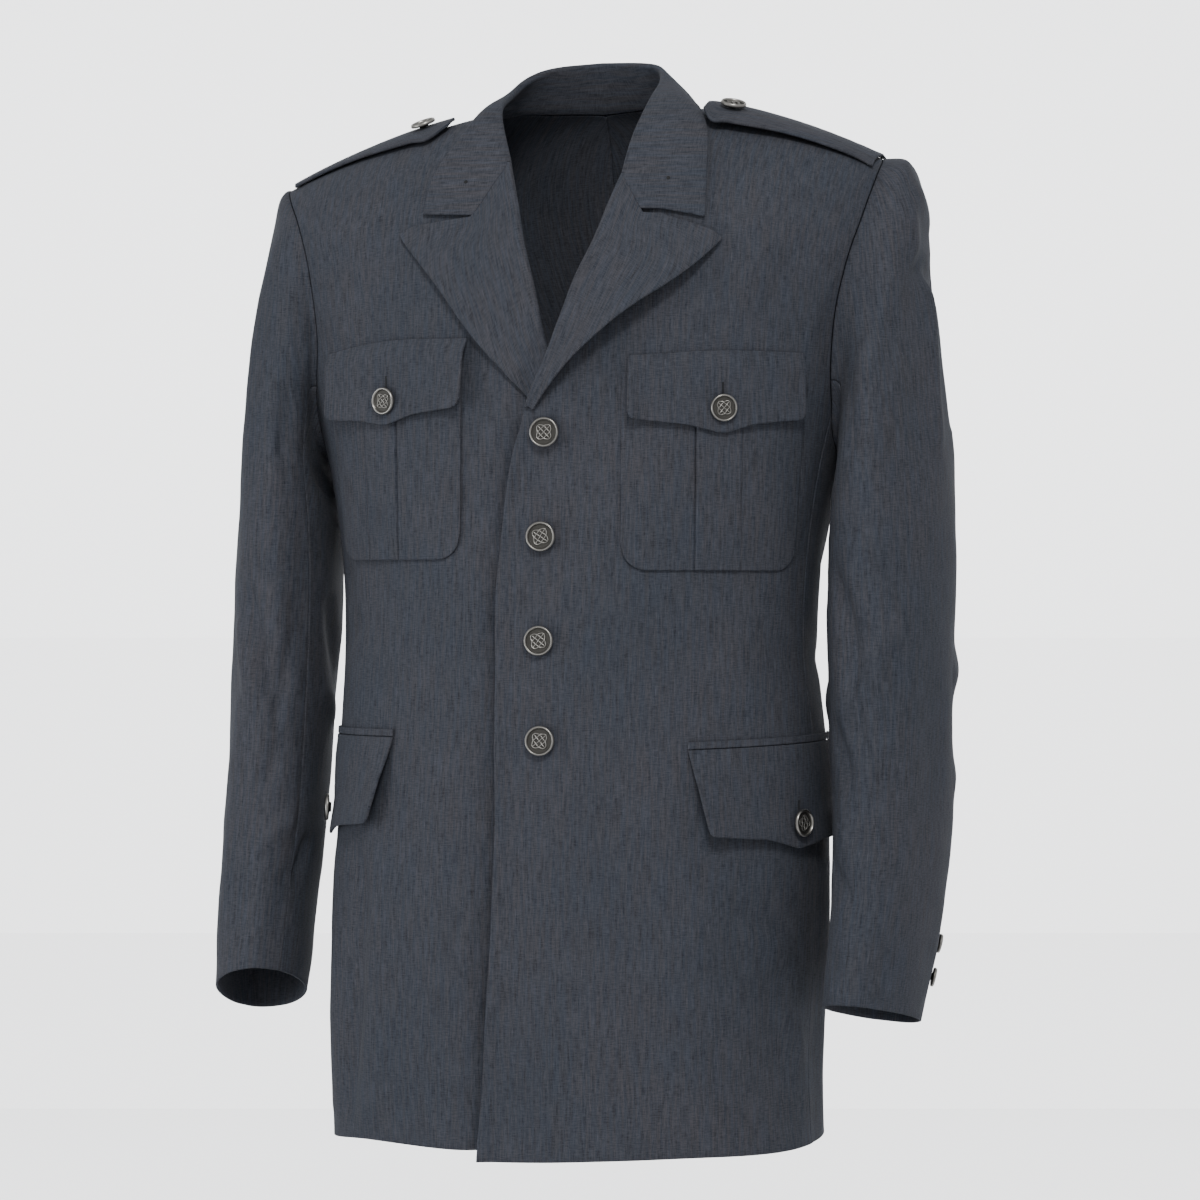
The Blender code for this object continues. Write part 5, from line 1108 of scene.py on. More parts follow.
def pocket_calm(side, along, height):
    """0 under the pockets, where the cloth is held flat, and 1 away from them."""
    chest, hip = CHEST_POCKET[side], HIP_POCKET[side]
    calm = np.ones(np.shape(along))
    for low_a, high_a, low_b, high_b in ((chest[BAG_IN], chest[BAG_OUT], chest[BAG_LOW], chest[FLAP_TOP_IN]),
                                         (hip[TOP_IN], hip[TOP_OUT], hip[POINT_ROW], hip[WELT_TOP_IN])):
        away_a = np.maximum(np.maximum(low_a - along, along - high_a), 0.0)
        away_b = np.maximum(np.maximum(low_b - height, height - high_b), 0.0)
        calm = np.minimum(calm, smooth(0.0, 0.018, np.hypot(away_a, away_b)))
    return calm


def side_cloth(side, columns=34):
    """Panel under the arm."""
    depths = banded(seam_depth(side, arm_front, ARM_FRONT_FOOT), seam_depth(side, arm_back, ARM_BACK_FOOT), columns)
    edge = np.concatenate((np.array(ARM_FRONT_DEPTH)[::-1, ::-1], np.array(ARM_BACK_DEPTH)[1:4, ::-1]))
    tops = curve(edge, depths)[:, 0]
    share = np.linspace(0.0, 1.0, 130)
    coarse = np.linspace(0.0, 1.0, 22)
    levels = HEM + (tops[None, :] - HEM) * share[:, None]
    along = np.empty(levels.shape)
    for j in range(columns):
        found = [side_seam(side, float(HEM + (tops[j] - HEM) * down), float(depths[j])) for down in coarse]
        along[:, j] = np.interp(share, coarse, found)
    along[:, 0] += SEAM / 2
    along[:, -1] -= SEAM / 2
    drop = curve(HEM_LINE[side], along)[..., 0] - HEM
    levels = levels + drop * (1 - smooth(HEM, HEM_SPREAD, levels))
    near_edge = np.minimum(along - along[:, :1], along[:, -1:] - along)
    calm = smooth(0.0, 0.012, near_edge) * smooth(0.0, 0.03, tops[None, :] - levels)
    calm = calm * (0.3 + 0.7 * pocket_calm(side, along, levels))
    moved = worn_in("side_" + WORD[side], along, levels, side) * calm
    return lifted(side, along, levels, moved), body_grain(along, levels, 0.5 * side)


def back_cloth(side, columns=72):
    """Back panel with its creases."""
    levels = level_rows(np.linspace(HEM, -0.250, 110), np.linspace(-0.246, -0.080, 40),
                        np.linspace(-0.077, RIDGE - 0.0005, 60), (ARM_BACK_FOOT,))
    outer = np.array([back_outer(side, row) for row in levels])
    inner = np.empty(len(levels))
    for number, row in enumerate(levels):
        if row <= NECK_BACK[0][0]:
            inner[number] = float(row_length(side, row)) - SEAM / 2
        else:
            inner[number] = length_where(side, row, 0, float(curve(NECK_BACK, row)[0]), from_back=True)
    along = banded(outer, inner, columns)
    height = hem_rows(side, along, levels)
    near_edge = np.minimum(along - outer[:, None], inner[:, None] - along)
    calm = smooth(0.0, 0.018, near_edge) * (1 - smooth(-0.01, 0.04, height))
    moved = worn_in("back_" + WORD[side], along, height, side + 0.4) * calm
    points = lifted(side, along, height, moved)
    points[-1, :, 1] = np.maximum(points[-1, :, 1], ridge_gap(points[-1, :, 0]))
    return points, body_grain(along, height, 0.7 * side)


def sleeve_cloth(side, upper):
    """One of the two pieces of a sleeve with its creases."""
    name = "sleeve_" + WORD[side]
    down = np.concatenate((np.linspace(0.0, 0.030, 16), np.linspace(0.034, 0.625, 165)))[::-1]
    behind = curve(SEAM_BEHIND, down)[:, 0]
    slip = SEAM * 0.8 / SLEEVE_GIRTH
    start = np.full_like(behind, SEAM_IN_FRONT)
    ends = (behind - 1 + slip, start - slip) if upper else (start + slip, behind - slip)
    share = banded(ends[0] * SLEEVE_GIRTH, ends[1] * SLEEVE_GIRTH, 92 if upper else 56) / SLEEVE_GIRTH
    along = np.broadcast_to(down[:, None], share.shape)
    points = sleeve_point(side, along, share)
    out = unit(np.cross(np.gradient(points, axis=1), np.gradient(points, axis=0)))
    centre = points.mean(axis=1, keepdims=True)
    if np.mean(np.sum(out * (points - centre), axis=-1)) < 0:
        out = -out
    round_at = share * SLEEVE_GIRTH
    near_edge = np.minimum(round_at - round_at[:, :1], round_at[:, -1:] - round_at)
    calm = smooth(0.004, 0.030, along) * (1 - 0.6 * smooth(0.600, 0.625, along))
    seam_calm = smooth(0.0, 0.010, near_edge)
    moved = creased(name, round_at, along) * (0.25 + 0.75 * seam_calm) * calm
    other = creased(name, round_at - SLEEVE_GIRTH, along) * (0.25 + 0.75 * seam_calm) * calm
    moved = moved + other + rippled(round_at, along, side * 1.3) * 1.6 * calm * seam_calm
    points = points + out * moved[..., None]
    grain = sleeve_grain(side, points, upper)
    return points[:, ::-1], grain[:, ::-1]


HEAD_AXIS = 0.210            # the grain of a sleeve's head is worked out round this line, so it stays upright
HEAD_ROUND = 0.085           # radius of the head's grain
HEAD_LOW, HEAD_HIGH = -0.320, -0.100


def sleeve_grain(side, points, upper):
    """Weave of a sleeve: its threads run down it, and stay upright on its head."""
    ring = np.linspace(0.0, 1.0, 25)[:-1]
    centres = np.array([sleeve_point(side, np.full(24, down), ring).mean(axis=0)
                        for down in (0.62, 0.50, 0.38, 0.27, 0.20)])
    height = points[..., 2]
    middle_x = np.interp(height, centres[:, 2], centres[:, 0])
    middle_y = np.interp(height, centres[:, 2], centres[:, 1])
    high = smooth(HEAD_LOW, HEAD_HIGH, height)
    beyond = points[..., 0] - mixed(middle_x, HEAD_AXIS, high)
    behind = points[..., 1] - middle_y
    reach = mixed(SLEEVE_GIRTH / math.tau, HEAD_ROUND, high)
    angle = np.arctan2(behind, beyond) if upper else np.arctan2(-behind, -beyond)
    return np.stack((0.4 * side - reach * angle, height), axis=-1)


FINE_ANGLES = np.radians(np.linspace(-90, 90, 11))


def fine_fold(edge, out, toward):
    """Middle of the cloth round a fold, finely."""
    middle = edge - toward * (FOLD_RADIUS + LAPEL_WALL / 2) + out * (FOLD_RADIUS - LAPEL_WALL / 2)
    ring = [middle + FOLD_RADIUS * (toward * math.cos(a) + out * math.sin(a)) for a in FINE_ANGLES]
    return [ring[0] - toward * 0.0009] + ring


def fine_shares(line, count):
    """The shares of line_nodes with more between them."""
    nodes = np.concatenate(([0.0], line_nodes(line)))
    steps = np.arange(len(nodes))
    return np.interp(np.linspace(0.0, len(nodes) - 1, count + 1)[1:], steps, nodes)


def smoothed_path(line, count=160, reach=20):
    """A path made soft: each place is the mean of its neighbours, fewer of them toward the ends."""
    fine = np.array([path_point(line, share) for share in np.linspace(0.0, 1.0, count)])
    soft = fine.copy()
    for k in range(count):
        span = min(k, count - 1 - k, reach)
        soft[k] = fine[k - span:k + span + 1].mean(axis=0)
    return soft


TIP_ROUND = 0.0020           # how far a lapel's tip is drawn in
LAPEL_STAND = {LEFT: 0.0070, RIGHT: 0.0020}     # how far a lapel's edge stands off
GORGE_CLOSER = 0.45          # the seam is drawn closer than between the solids


def lapel_cloth(side, rows=84, falls=35):
    """Lapel turned out at its fold; returns its points."""
    foot = LAPEL_FOOT_HEIGHT[side]
    top = FOLD[side][-1][0] - SEAM * 0.8
    edge = smoothed_path(np.array(LAPEL_EDGE[side]))
    top_line = np.array(LAPEL_TOP[side])
    share = fine_shares(top_line, falls)
    grid = []
    for number in range(rows):
        up = number / (rows - 1)
        up = mixed(up, up ** 0.72, 0.55)
        z = foot + (top - foot) * up
        lift = float(body_lift(side, *on_front(side, fold_x(side, z), z)))
        point, out, toward, _ = fold_frame(side, z, lift)
        row = fine_fold(point, out, toward)
        inset = (FOLD_RADIUS + LAPEL_WALL / 2) * LEAN
        start = np.array((fold_x(side, z) + inset, z))
        end = path_point(edge, up)
        line = start + (end - start) * share[:, None]
        straight = top_line[0] + (top_line[-1] - top_line[0]) * share[:, None]
        bend = (path_point(top_line, share) - straight) * smooth(0.62, 1.0, up) ** 1.3
        line = line + bend
        line = line - end_shift(share) * GORGE_CLOSER * up ** 8
        corner = np.clip((share - 0.90) / 0.10, 0, 1) * np.clip((up - 0.93) / 0.07, 0, 1)
        line[:, 0] -= TIP_ROUND * corner ** 2
        line[:, 1] -= TIP_ROUND * 0.5 * corner ** 2
        along, height = on_front(side, line[:, 0], line[:, 1])
        lifts = body_lift(side, along, height) + lapel_lift(side, 1 - up, share)
        stand = smooth(0.03, 0.30, up) * (1 - smooth(0.55, 1.0, up))
        lifts = lifts + LAPEL_STAND[side] * stand * smooth(0.35, 1.0, share) ** 1.5
        row.extend(lifted(side, along, height, lifts))
        grid.append(row)
    return np.array(grid)


def lapel_grain(side, points):
    """Weave of a lapel: its threads run along the fold."""
    across = flat_length(points, 1)
    up = flat_length(points, 0)
    middle = np.repeat(up[:, 11:12], points.shape[1], axis=1)
    lean = np.linspace(0.0, 1.0, points.shape[1])[None, :]
    return np.stack((across + 0.9 * side, mixed(middle, up, lean * 0.4)), axis=-1)


def collar_half_cloth(side, stations=46, falls=27):
    """Half the collar, finely, from its front end to the middle of the back."""
    table = np.array(COLLAR[side])
    grid = []
    end_line = np.array(COLLAR_END[side])
    share_out = fine_shares(end_line, falls)
    line = path_point(end_line, share_out) + end_shift(share_out) * GORGE_CLOSER
    along, height = on_front(side, line[:, 0], line[:, 1])
    lifts = body_lift(side, along, height) + lapel_lift(side, np.zeros(len(share_out)), share_out)
    end_points = lifted(side, along, height, lifts)
    top = FOLD[side][-1][0]
    point, out, toward, run = fold_frame(side, top, 0.0)
    end_ring = fine_fold(point + run * SEAM * 2, out, toward)
    shares = np.concatenate(((0.0, 0.01, COLLAR_BAND), np.linspace(0.0, 1.0, stations)[1:] ** 0.9))
    shares = np.unique(np.round(shares, 4))
    shift = 0.0
    stand_steps = np.linspace(0.0, 1.0, 7)[:-1]
    for share in shares:
        values = curve(table, share)
        edge, far, facing, bulge = values[0:3], values[3:6], values[6:9], values[9]
        step = 0.01
        run_here = unit(curve(table, min(share + step, 1.0))[0:3] - curve(table, max(share - step, 0.0))[0:3])
        if share == 1.0:
            run_here = np.array((-1.0, 0.0, 0.0))
        facing = unit(facing - run_here * float(np.dot(facing, run_here)))
        toward_here = np.cross(run_here, facing)
        if np.dot(toward_here, edge - far) < 0:
            toward_here = -toward_here
        ring = fine_fold(edge, facing, toward_here)[1:]
        neck, neck_out = neck_point(side, share), neck_facing(side, share)
        step = 0.02
        along_neck = neck_point(side, min(share + step, 1.0)) - neck_point(side, max(share - step, 0.0))
        inward = unit(np.cross(unit(along_neck), neck_out))
        if np.dot(inward, ring[0] - neck) < 0:
            inward = -inward
        neck = neck + inward * (COLLAR_WALL / 2 + SEAM * 2)
        stand = [mixed(neck, ring[0], part) for part in stand_steps]
        far_middle = far - facing * COLLAR_WALL / 2
        out_here = [mixed(ring[-1], far_middle, part) + facing * bulge * 4 * part * (1 - part)
                    for part in share_out]
        station = np.array(stand + ring + out_here)
        if share == 0.0:
            lead = end_ring[0]
            start = [mixed(lead, end_ring[1], part) for part in stand_steps]
            first = np.array(start + end_ring[1:] + list(end_points))
            shift = first - station
        station = station + shift * (1 - smooth(0.0, 0.30, share))
        count = len(share_out)
        station[-count:] = above_body(side, station[-count:], COLLAR_WALL / 2 + COLLAR_REST)
        grid.append(station)
    return smoothed(np.array(grid))


def smoothed(grid):
    """A grid with the steps along its stations eased, but for its ends."""
    for _ in range(4):
        eased = grid.copy()
        eased[3:-1] = grid[3:-1] * 0.5 + (grid[2:-2] + grid[4:]) * 0.25
        grid = eased
    return grid


def collar_cloth():
    """Whole collar, from the right end round the back to the left end."""
    left = world(LEFT, collar_half_cloth(LEFT))
    right = world(RIGHT, collar_half_cloth(RIGHT))
    middle = (left[-1:] + right[-1:]) / 2
    middle[..., 0] = 0.0
    return np.concatenate((right[:-1], middle, left[:-1][::-1]))


# Steps of the box pleat's folds: places across a fold, then the heights there of a deep and of a faint one.
PLEAT_EDGE = np.array((-0.0022, -0.0007, -0.0005, 0.0003, 0.0005, 0.0012, 0.0024))
PLEAT_DARK = np.array((0.0, -0.0001, -0.0013, -0.0013, 0.0009, 0.0014, 0.0013))
PLEAT_FAINT = np.array((0.0, 0.0, 0.0, 0.0, 0.0004, 0.0008, 0.0013))
FAINT_SHARE = {LEFT: 0.0, RIGHT: 0.55}          # how much of the dark edge the pleat's outer edge has


def chest_bag_cloth(side):
    """Chest pocket with its box pleat: points on the front, thickness and weave."""
    values = CHEST_POCKET[side]
    start, end, low, pleat_in, pleat_out = values[BAG_IN:]
    top = (values[FLAP_TOP_IN] + values[FLAP_TOP_OUT]) / 2 - BAG_TOP_DROP
    columns = np.unique(np.round(np.concatenate((
        np.linspace(start, pleat_in - 0.003, 26), pleat_in + PLEAT_EDGE,
        np.linspace(pleat_in + 0.003, pleat_out - 0.003, 16),
        pleat_out - PLEAT_EDGE, np.linspace(pleat_out + 0.003, end, 26))), 6))
    share = np.linspace(0.0, 1.0, 62) ** 1.1
    bottom = low + corner_rise(np.minimum(columns - start, end - columns), BAG_CORNER)
    rows = bottom[None, :] + (top - bottom[None, :]) * share[:, None]
    along = np.broadcast_to(columns, rows.shape)
    inner_step = np.interp(columns, pleat_in + PLEAT_EDGE, PLEAT_DARK)
    outer_height = mixed(PLEAT_FAINT, PLEAT_DARK, FAINT_SHARE[side])
    outer_step = np.interp(columns, (pleat_out - PLEAT_EDGE)[::-1], outer_height[::-1])
    raised = np.minimum(inner_step, outer_step)
    away = np.minimum(along - start, end - along)
    belly = 0.0009 * smooth(0.0, 0.02, away) * smooth(0.0, 0.03, rows - bottom[None, :])
    lifts = body_lift(side, along, rows) + REST * 1.4 + belly
    thick = POCKET_WALL + raised[None, :] * (0.55 + 0.45 * smooth(0.0, 0.06, rows - bottom[None, :]))
    return lifted(side, along, rows, lifts), thick, body_grain(along, rows, 0.31 * side)


FLAP_CORNER = 0.0055         # radius of the chest flap's bottom corners


def chest_flap_cloth(side):
    """Pointed flap over the chest pocket, finely, with soft corners."""
    values = CHEST_POCKET[side]
    wide = values[FLAP_OUT] - values[FLAP_IN]
    share = banded(0.0, wide, 60) / wide
    top, low = chest_flap_rows(side, share)
    low = eased_edge(low, 1) + corner_rise(np.minimum(share, 1 - share) * wide, FLAP_CORNER)
    down = np.linspace(1.0, 0.0, 34)
    rows = top[None, :] + (low - top)[None, :] * down[:, None]
    along = np.broadcast_to(mixed(values[FLAP_IN], values[FLAP_OUT], share), rows.shape)
    drop = top[None, :] - rows
    lifts = body_lift(side, along, rows) + flap_lift(drop)
    button_gap = np.hypot(along - values[CHEST_BUTTON_ALONG], rows - values[CHEST_BUTTON_ROW])
    pull = -0.0009 * np.exp(-(button_gap / 0.016) ** 2)
    fall = np.broadcast_to(down[:, None], rows.shape)
    curl = 0.0026 * smooth(0.45, 1.0, fall) + 0.0014 * smooth(0.3, 1.0, fall) * np.abs(2 * share[None, :] - 1) ** 2
    inner_edge = 0.0052 * (1 - smooth(0.0, 0.10, share))[None, :] * smooth(0.03, 0.4, fall)
    return lifted(side, along, rows, lifts + pull + curl + inner_edge), body_grain(along, rows, 0.33 * side)


HIP_CORNER = 0.0060          # radius of the hip flap's bottom corners


def hip_flap_cloth(side):
    """Deep pointed flap of the hip pocket, finely."""
    values = HIP_POCKET[side]
    wide = values[TOP_OUT] - values[TOP_IN]
    share = banded(0.0, wide, 84) / wide
    down = np.linspace(1.0, 0.0, 44)[:, None]
    top, low = hip_lines(side, share)
    low = eased_edge(low, 3) + corner_rise(np.minimum(share, 1 - share) * wide, HIP_CORNER)
    rows = top[None, :] + (low - top)[None, :] * down
    along = mixed(mixed(values[TOP_IN], values[TOP_OUT], share)[None, :],
                  mixed(values[LOW_IN], values[LOW_OUT], share)[None, :], down)
    lifts = hip_lift(share[None, :], down)
    button_gap = np.hypot(along - values[HIP_BUTTON_ALONG], rows - values[HIP_BUTTON_ROW])
    pull = -0.0010 * np.exp(-(button_gap / 0.018) ** 2)
    bow = 0.0010 * np.sin(share[None, :] * math.pi * 3.1 + 0.6) * smooth(0.3, 1.0, down)
    bow = bow + 0.0042 * (1 - smooth(0.0, 0.12, share))[None, :] * smooth(0.08, 0.7, down)
    bow = bow + 0.0016 * smooth(0.6, 1.0, down)
    return lifted(side, along, rows, lifts + pull + bow), body_grain(along, rows, 0.34 * side)


def welt_cloth(side):
    """Narrow welt over the hip flap."""
    values = HIP_POCKET[side]
    share = np.linspace(0.0, 1.0, 80)
    top = mixed(values[WELT_TOP_IN], values[WELT_TOP_OUT], smooth(-0.4, 1.0, share))
    down = np.linspace(1.0, 0.0, 9)[:, None]
    rows = top[None, :] - WELT_HEIGHT * down
    along = np.broadcast_to(mixed(values[TOP_IN], values[TOP_OUT], share), rows.shape)
    return lifted(side, along, rows, np.full(rows.shape, REST)), body_grain(along, rows, 0.36 * side)


STRAP_TUCK = 0.0030          # how far a strap's end reaches on to the head of the sleeve


def strap_cloth(side):
    """Shoulder strap, finely; rows run across it from its front edge and columns outward."""
    along = np.concatenate((np.linspace(0.0, 0.06, 8), np.linspace(0.068, 1.0, 56)))
    across = np.linspace(0.0, 1.0, 22)
    points = np.array([[strap_point(side, a, c) for a in along] for c in across])
    past = unit(points[:, -1] - points[:, -2]) * STRAP_TUCK
    points = np.concatenate((points, (points[:, -1] + past)[:, None]), axis=1)
    grain = np.stack((flat_length(points, 1), flat_length(points, 0)), axis=-1)
    return points, grain[..., ::-1] + 0.2 * side


class Nodes:
    """Short way of adding and joining a material's nodes."""

    def __init__(self, name):
        self.material = bpy.data.materials.new(name)
        self.material.use_nodes = True
        self.tree = self.material.node_tree
        self.shader = self.tree.nodes["Principled BSDF"]

    def add(self, kind, **settings):
        node = self.tree.nodes.new(kind)
        for key, value in settings.items():
            setattr(node, key, value)
        return node

    def join(self, source, target):
        self.tree.links.new(source, target)

    def math(self, operation, *values):
        node = self.add("ShaderNodeMath", operation=operation)
        for socket, value in zip(node.inputs, values):
            self.give(socket, value)
        return node.outputs[0]

    def give(self, socket, value):
        if isinstance(value, tuple):
            socket.default_value = (*value, 1.0)
        elif isinstance(value, (int, float)):
            socket.default_value = value
        else:
            self.join(value, socket)

    def constants(self, node, **values):
        for name, value in values.items():
            node.inputs[name.replace("_", " ")].default_value = value

    def noise(self, place, scale, detail, roughness):
        node = self.add("ShaderNodeTexNoise")
        self.constants(node, Scale=scale, Detail=detail, Roughness=roughness)
        self.join(place, node.inputs["Vector"])
        return node.outputs["Fac"]

    def stretched(self, place, across, along):
        node = self.add("ShaderNodeMapping", vector_type="POINT")
        self.constants(node, Scale=(across, along, 1.0))
        self.join(place, node.inputs["Vector"])
        return node.outputs["Vector"]

    def mix(self, share, first, second, blend="MIX"):
        node = self.add("ShaderNodeMix", data_type="RGBA", blend_type=blend)
        for number, value in ((0, share), (6, first), (7, second)):
            self.give(node.inputs[number], value)
        return node.outputs[2]

    def spread(self, value, low, high, to_low=0.0, to_high=1.0):
        node = self.add("ShaderNodeMapRange", interpolation_type="SMOOTHSTEP")
        self.join(value, node.inputs["Value"])
        self.constants(node, From_Min=low, From_Max=high, To_Min=to_low, To_Max=to_high)
        return node.outputs["Result"]

    def weighted(self, *parts):
        total = None
        for value, share in parts:
            part = self.math("MULTIPLY", value, share)
            total = part if total is None else self.math("ADD", total, part)
        return total

    def bump(self, height, strength, distance):
        node = self.add("ShaderNodeBump")
        self.constants(node, Strength=strength, Distance=distance)
        self.join(height, node.inputs["Height"])
        self.join(node.outputs["Normal"], self.shader.inputs["Normal"])


def wool(name, light, dark, streak):
    """Melange wool: fine streaks of lighter and darker fibre along its threads, a close weave and soft nap."""
    made = Nodes(name)
    place = made.add("ShaderNodeUVMap", uv_map="cloth").outputs["UV"]
    threads = made.noise(made.stretched(place, 1500.0, 120.0), 1.0, 3.0, 0.62)
    yarn = made.noise(made.stretched(place, 560.0, 44.0), 1.0, 2.0, 0.55)
    picks = made.noise(made.stretched(place, 170.0, 1150.0), 1.0, 2.0, 0.6)
    fibre = made.noise(made.stretched(place, 2300.0, 900.0), 1.0, 2.0, 0.6)
    cloud = made.noise(made.stretched(place, 9.0, 6.0), 1.0, 2.0, 0.5)
    hue = made.noise(made.stretched(place, 420.0, 22.0), 1.0, 2.0, 0.5)
    flecks = made.noise(made.stretched(place, 900.0, 90.0), 1.0, 0.0, 0.5)
    tone = made.weighted((threads, 0.30), (yarn, 0.30), (picks, 0.30), (fibre, 0.18))
    base = made.mix(made.spread(tone, 0.5 - 0.20 / streak, 0.5 + 0.20 / streak), dark, light)
    warm = made.mix(made.spread(hue, 0.34, 0.66), (0.95, 0.992, 1.04), (1.05, 1.00, 0.962))
    soft = made.mix(made.spread(cloud, 0.30, 0.72), (0.92, 0.95, 0.97), (1.07, 1.045, 1.03))
    tinted = made.mix(1.0, made.mix(1.0, base, warm, "MULTIPLY"), soft, "MULTIPLY")
    pale = tuple(min(1.0, c * 1.6) for c in light)
    made.join(made.mix(made.spread(flecks, 0.72, 0.86, 0.0, 0.30), tinted, pale), made.shader.inputs["Base Color"])
    made.bump(made.weighted((threads, 0.5), (picks, 0.5)), 0.35, 0.0005)
    made.join(made.spread(yarn, 0.2, 0.8, 0.82, 0.95), made.shader.inputs["Roughness"])
    made.constants(made.shader, Sheen_Weight=0.04, Sheen_Roughness=0.45, Sheen_Tint=(0.78, 0.82, 0.88, 1.0),
                   Specular_IOR_Level=0.18)
    return made.material


def aged_silver(name, bright, deep):
    """Antique silver: polished where it stands up, dark in its recesses, with small scratches."""
    made = Nodes(name)
    wear = made.add("ShaderNodeAttribute", attribute_name="relief").outputs["Fac"]
    place = made.add("ShaderNodeTexCoord").outputs["Object"]
    spots = made.noise(place, 900.0, 3.0, 0.6)
    scratch = made.noise(made.stretched(place, 2600.0, 240.0), 1.0, 2.0, 0.6)
    mixed_wear = made.math("ADD", wear, made.math("MULTIPLY", made.math("SUBTRACT", spots, 0.5), 0.35))
    share = made.spread(mixed_wear, 0.18, 0.78)
    made.join(made.mix(share, deep, bright), made.shader.inputs["Base Color"])
    made.join(made.spread(made.math("ADD", mixed_wear, made.math("MULTIPLY", scratch, 0.25)), 0.1, 1.1, 0.62, 0.30),
              made.shader.inputs["Roughness"])
    made.constants(made.shader, Metallic=1.0)
    made.bump(spots, 0.25, 0.0001)
    return made.material


def thread(name, colour):
    """Sewing thread: twisted, a little glossier than the cloth."""
    made = Nodes(name)
    place = made.add("ShaderNodeTexCoord").outputs["Object"]
    twist = made.noise(place, 1800.0, 2.0, 0.6)
    darker = tuple(c * 0.55 for c in colour)
    made.join(made.mix(made.spread(twist, 0.3, 0.7), darker, colour), made.shader.inputs["Base Color"])
    made.join(made.spread(twist, 0.2, 0.8, 0.55, 0.75), made.shader.inputs["Roughness"])
    return made.material


def studio_floor(name, colour):
    """Plain pale floor and backdrop."""
    made = Nodes(name)
    place = made.add("ShaderNodeTexCoord").outputs["Object"]
    cloud = made.noise(place, 1.2, 2.0, 0.5)
    made.join(made.mix(made.spread(cloud, 0.2, 0.8), colour, tuple(c * 0.985 for c in colour)),
              made.shader.inputs["Base Color"])
    made.constants(made.shader, Roughness=0.9, Specular_IOR_Level=0.1)
    return made.material


BUTTON_LATHE = (
    # share of radius, share of height, relief; from the middle of the front out to the edge and to the back
    (0.000, 0.640, 0.12), (0.300, 0.635, 0.12), (0.560, 0.610, 0.10), (0.740, 0.580, 0.04), (0.790, 0.600, 0.06),
    (0.815, 0.700, 0.45), (0.835, 0.800, 0.85), (0.865, 0.890, 1.00), (0.905, 0.930, 1.00), (0.945, 0.890, 0.95),
    (0.975, 0.790, 0.80), (0.994, 0.680, 0.60), (1.000, 0.560, 0.50), (0.985, 0.450, 0.40), (0.940, 0.380, 0.25),
    (0.850, 0.340, 0.15), (0.600, 0.300, 0.10), (0.380, 0.260, 0.10), (0.360, 0.020, 0.10), (0.000, 0.000, 0.10),
)
LATTICE_HALF = 0.50          # half the width of the raised lattice, as a share of the radius
STRAND = 0.036               # half thickness of its strands
WEAVE_LIFT = 0.060           # rise and fall of the strands as they cross
LATTICE_SEAT = 0.660         # height of the lattice's middle, as a share of the button's height


def lathe(profile, sides):
    """Points, faces and relief of a profile turned round +Z."""
    points, relief, faces, before = [], [], [], ()
    for r, h, worn in profile:
        turns = [math.tau * k / sides for k in range(sides if r else 1)]
        ring = range(len(points), len(points) + len(turns))
        points += [(r * math.cos(a), r * math.sin(a), h) for a in turns]
        relief += [worn] * len(turns)
        for k in range(sides if before else 0):
            n = (k + 1) % sides
            if len(before) == 1:
                faces.append((before[0], ring[k], ring[n]))
            elif len(ring) == 1:
                faces.append((before[n], before[k], ring[0]))
            else:
                faces.append((before[k], ring[k], ring[n], before[n]))
        before = ring
    return points, faces, relief


def cord_ring(path, half, closed, relief_of, sides=6):
    """A flattened round strand along a path."""
    path = np.asarray(path, dtype=float)
    if closed:
        run = unit(np.roll(path, -1, axis=0) - np.roll(path, 1, axis=0))
    else:
        run = unit(np.gradient(path, axis=0))
    up = np.array((0.0, 0.0, 1.0))
    wide = unit(np.cross(up, run))
    points, relief, faces = [], [], []
    count = len(path)
    for k in range(count):
        for m in range(sides):
            a = math.tau * m / sides
            points.append(tuple(path[k] + wide[k] * math.cos(a) * half + up * math.sin(a) * half * 0.85))
            relief.append(relief_of(path[k][2], math.sin(a)))
    for k in range(count if closed else count - 1):
        n = (k + 1) % count
        for m in range(sides):
            o = (m + 1) % sides
            faces.append((k * sides + m, k * sides + o, n * sides + o, n * sides + m))
    if not closed:
        faces.append(tuple(range(sides - 1, -1, -1)))
        faces.append(tuple((count - 1) * sides + m for m in range(sides)))
    return points, faces, relief


def lattice_strands():
    """Diagonal strands that pass over and under each other, with loops at the lattice's four corners."""
    strands = []
    gap = LATTICE_HALF / 1.75
    reach = LATTICE_HALF * 0.98
    turn = math.radians(45)
    for lean in (turn, -turn):
        for place_at in (-1.0, 0.0, 1.0):
            offset = place_at * gap
            half = min(reach * 1.28 - abs(offset), reach * 1.1)
            path = []
            for t in np.linspace(-half, half, 27):
                x = t * math.cos(lean) - offset * math.sin(lean)
                y = t * math.sin(lean) + offset * math.cos(lean)
                over = math.cos(math.pi * (t / gap + 0.5)) * (1 if lean > 0 else -1)
                over *= 1 if int(place_at + 1.0) % 2 == 0 else -1
                path.append((x, y, WEAVE_LIFT * 0.5 * over))
            strands.append((path, False))
    side_points = []
    for k in range(48):
        a = math.tau * k / 48
        wave = 1.0 + 0.16 * math.cos(4 * a)
        side_points.append((LATTICE_HALF * 1.02 * wave * math.cos(a + math.pi / 4),
                            LATTICE_HALF * 1.02 * wave * math.sin(a + math.pi / 4),
                            WEAVE_LIFT * 0.35 * math.cos(8 * a)))
    strands.append((side_points, True))
    return strands


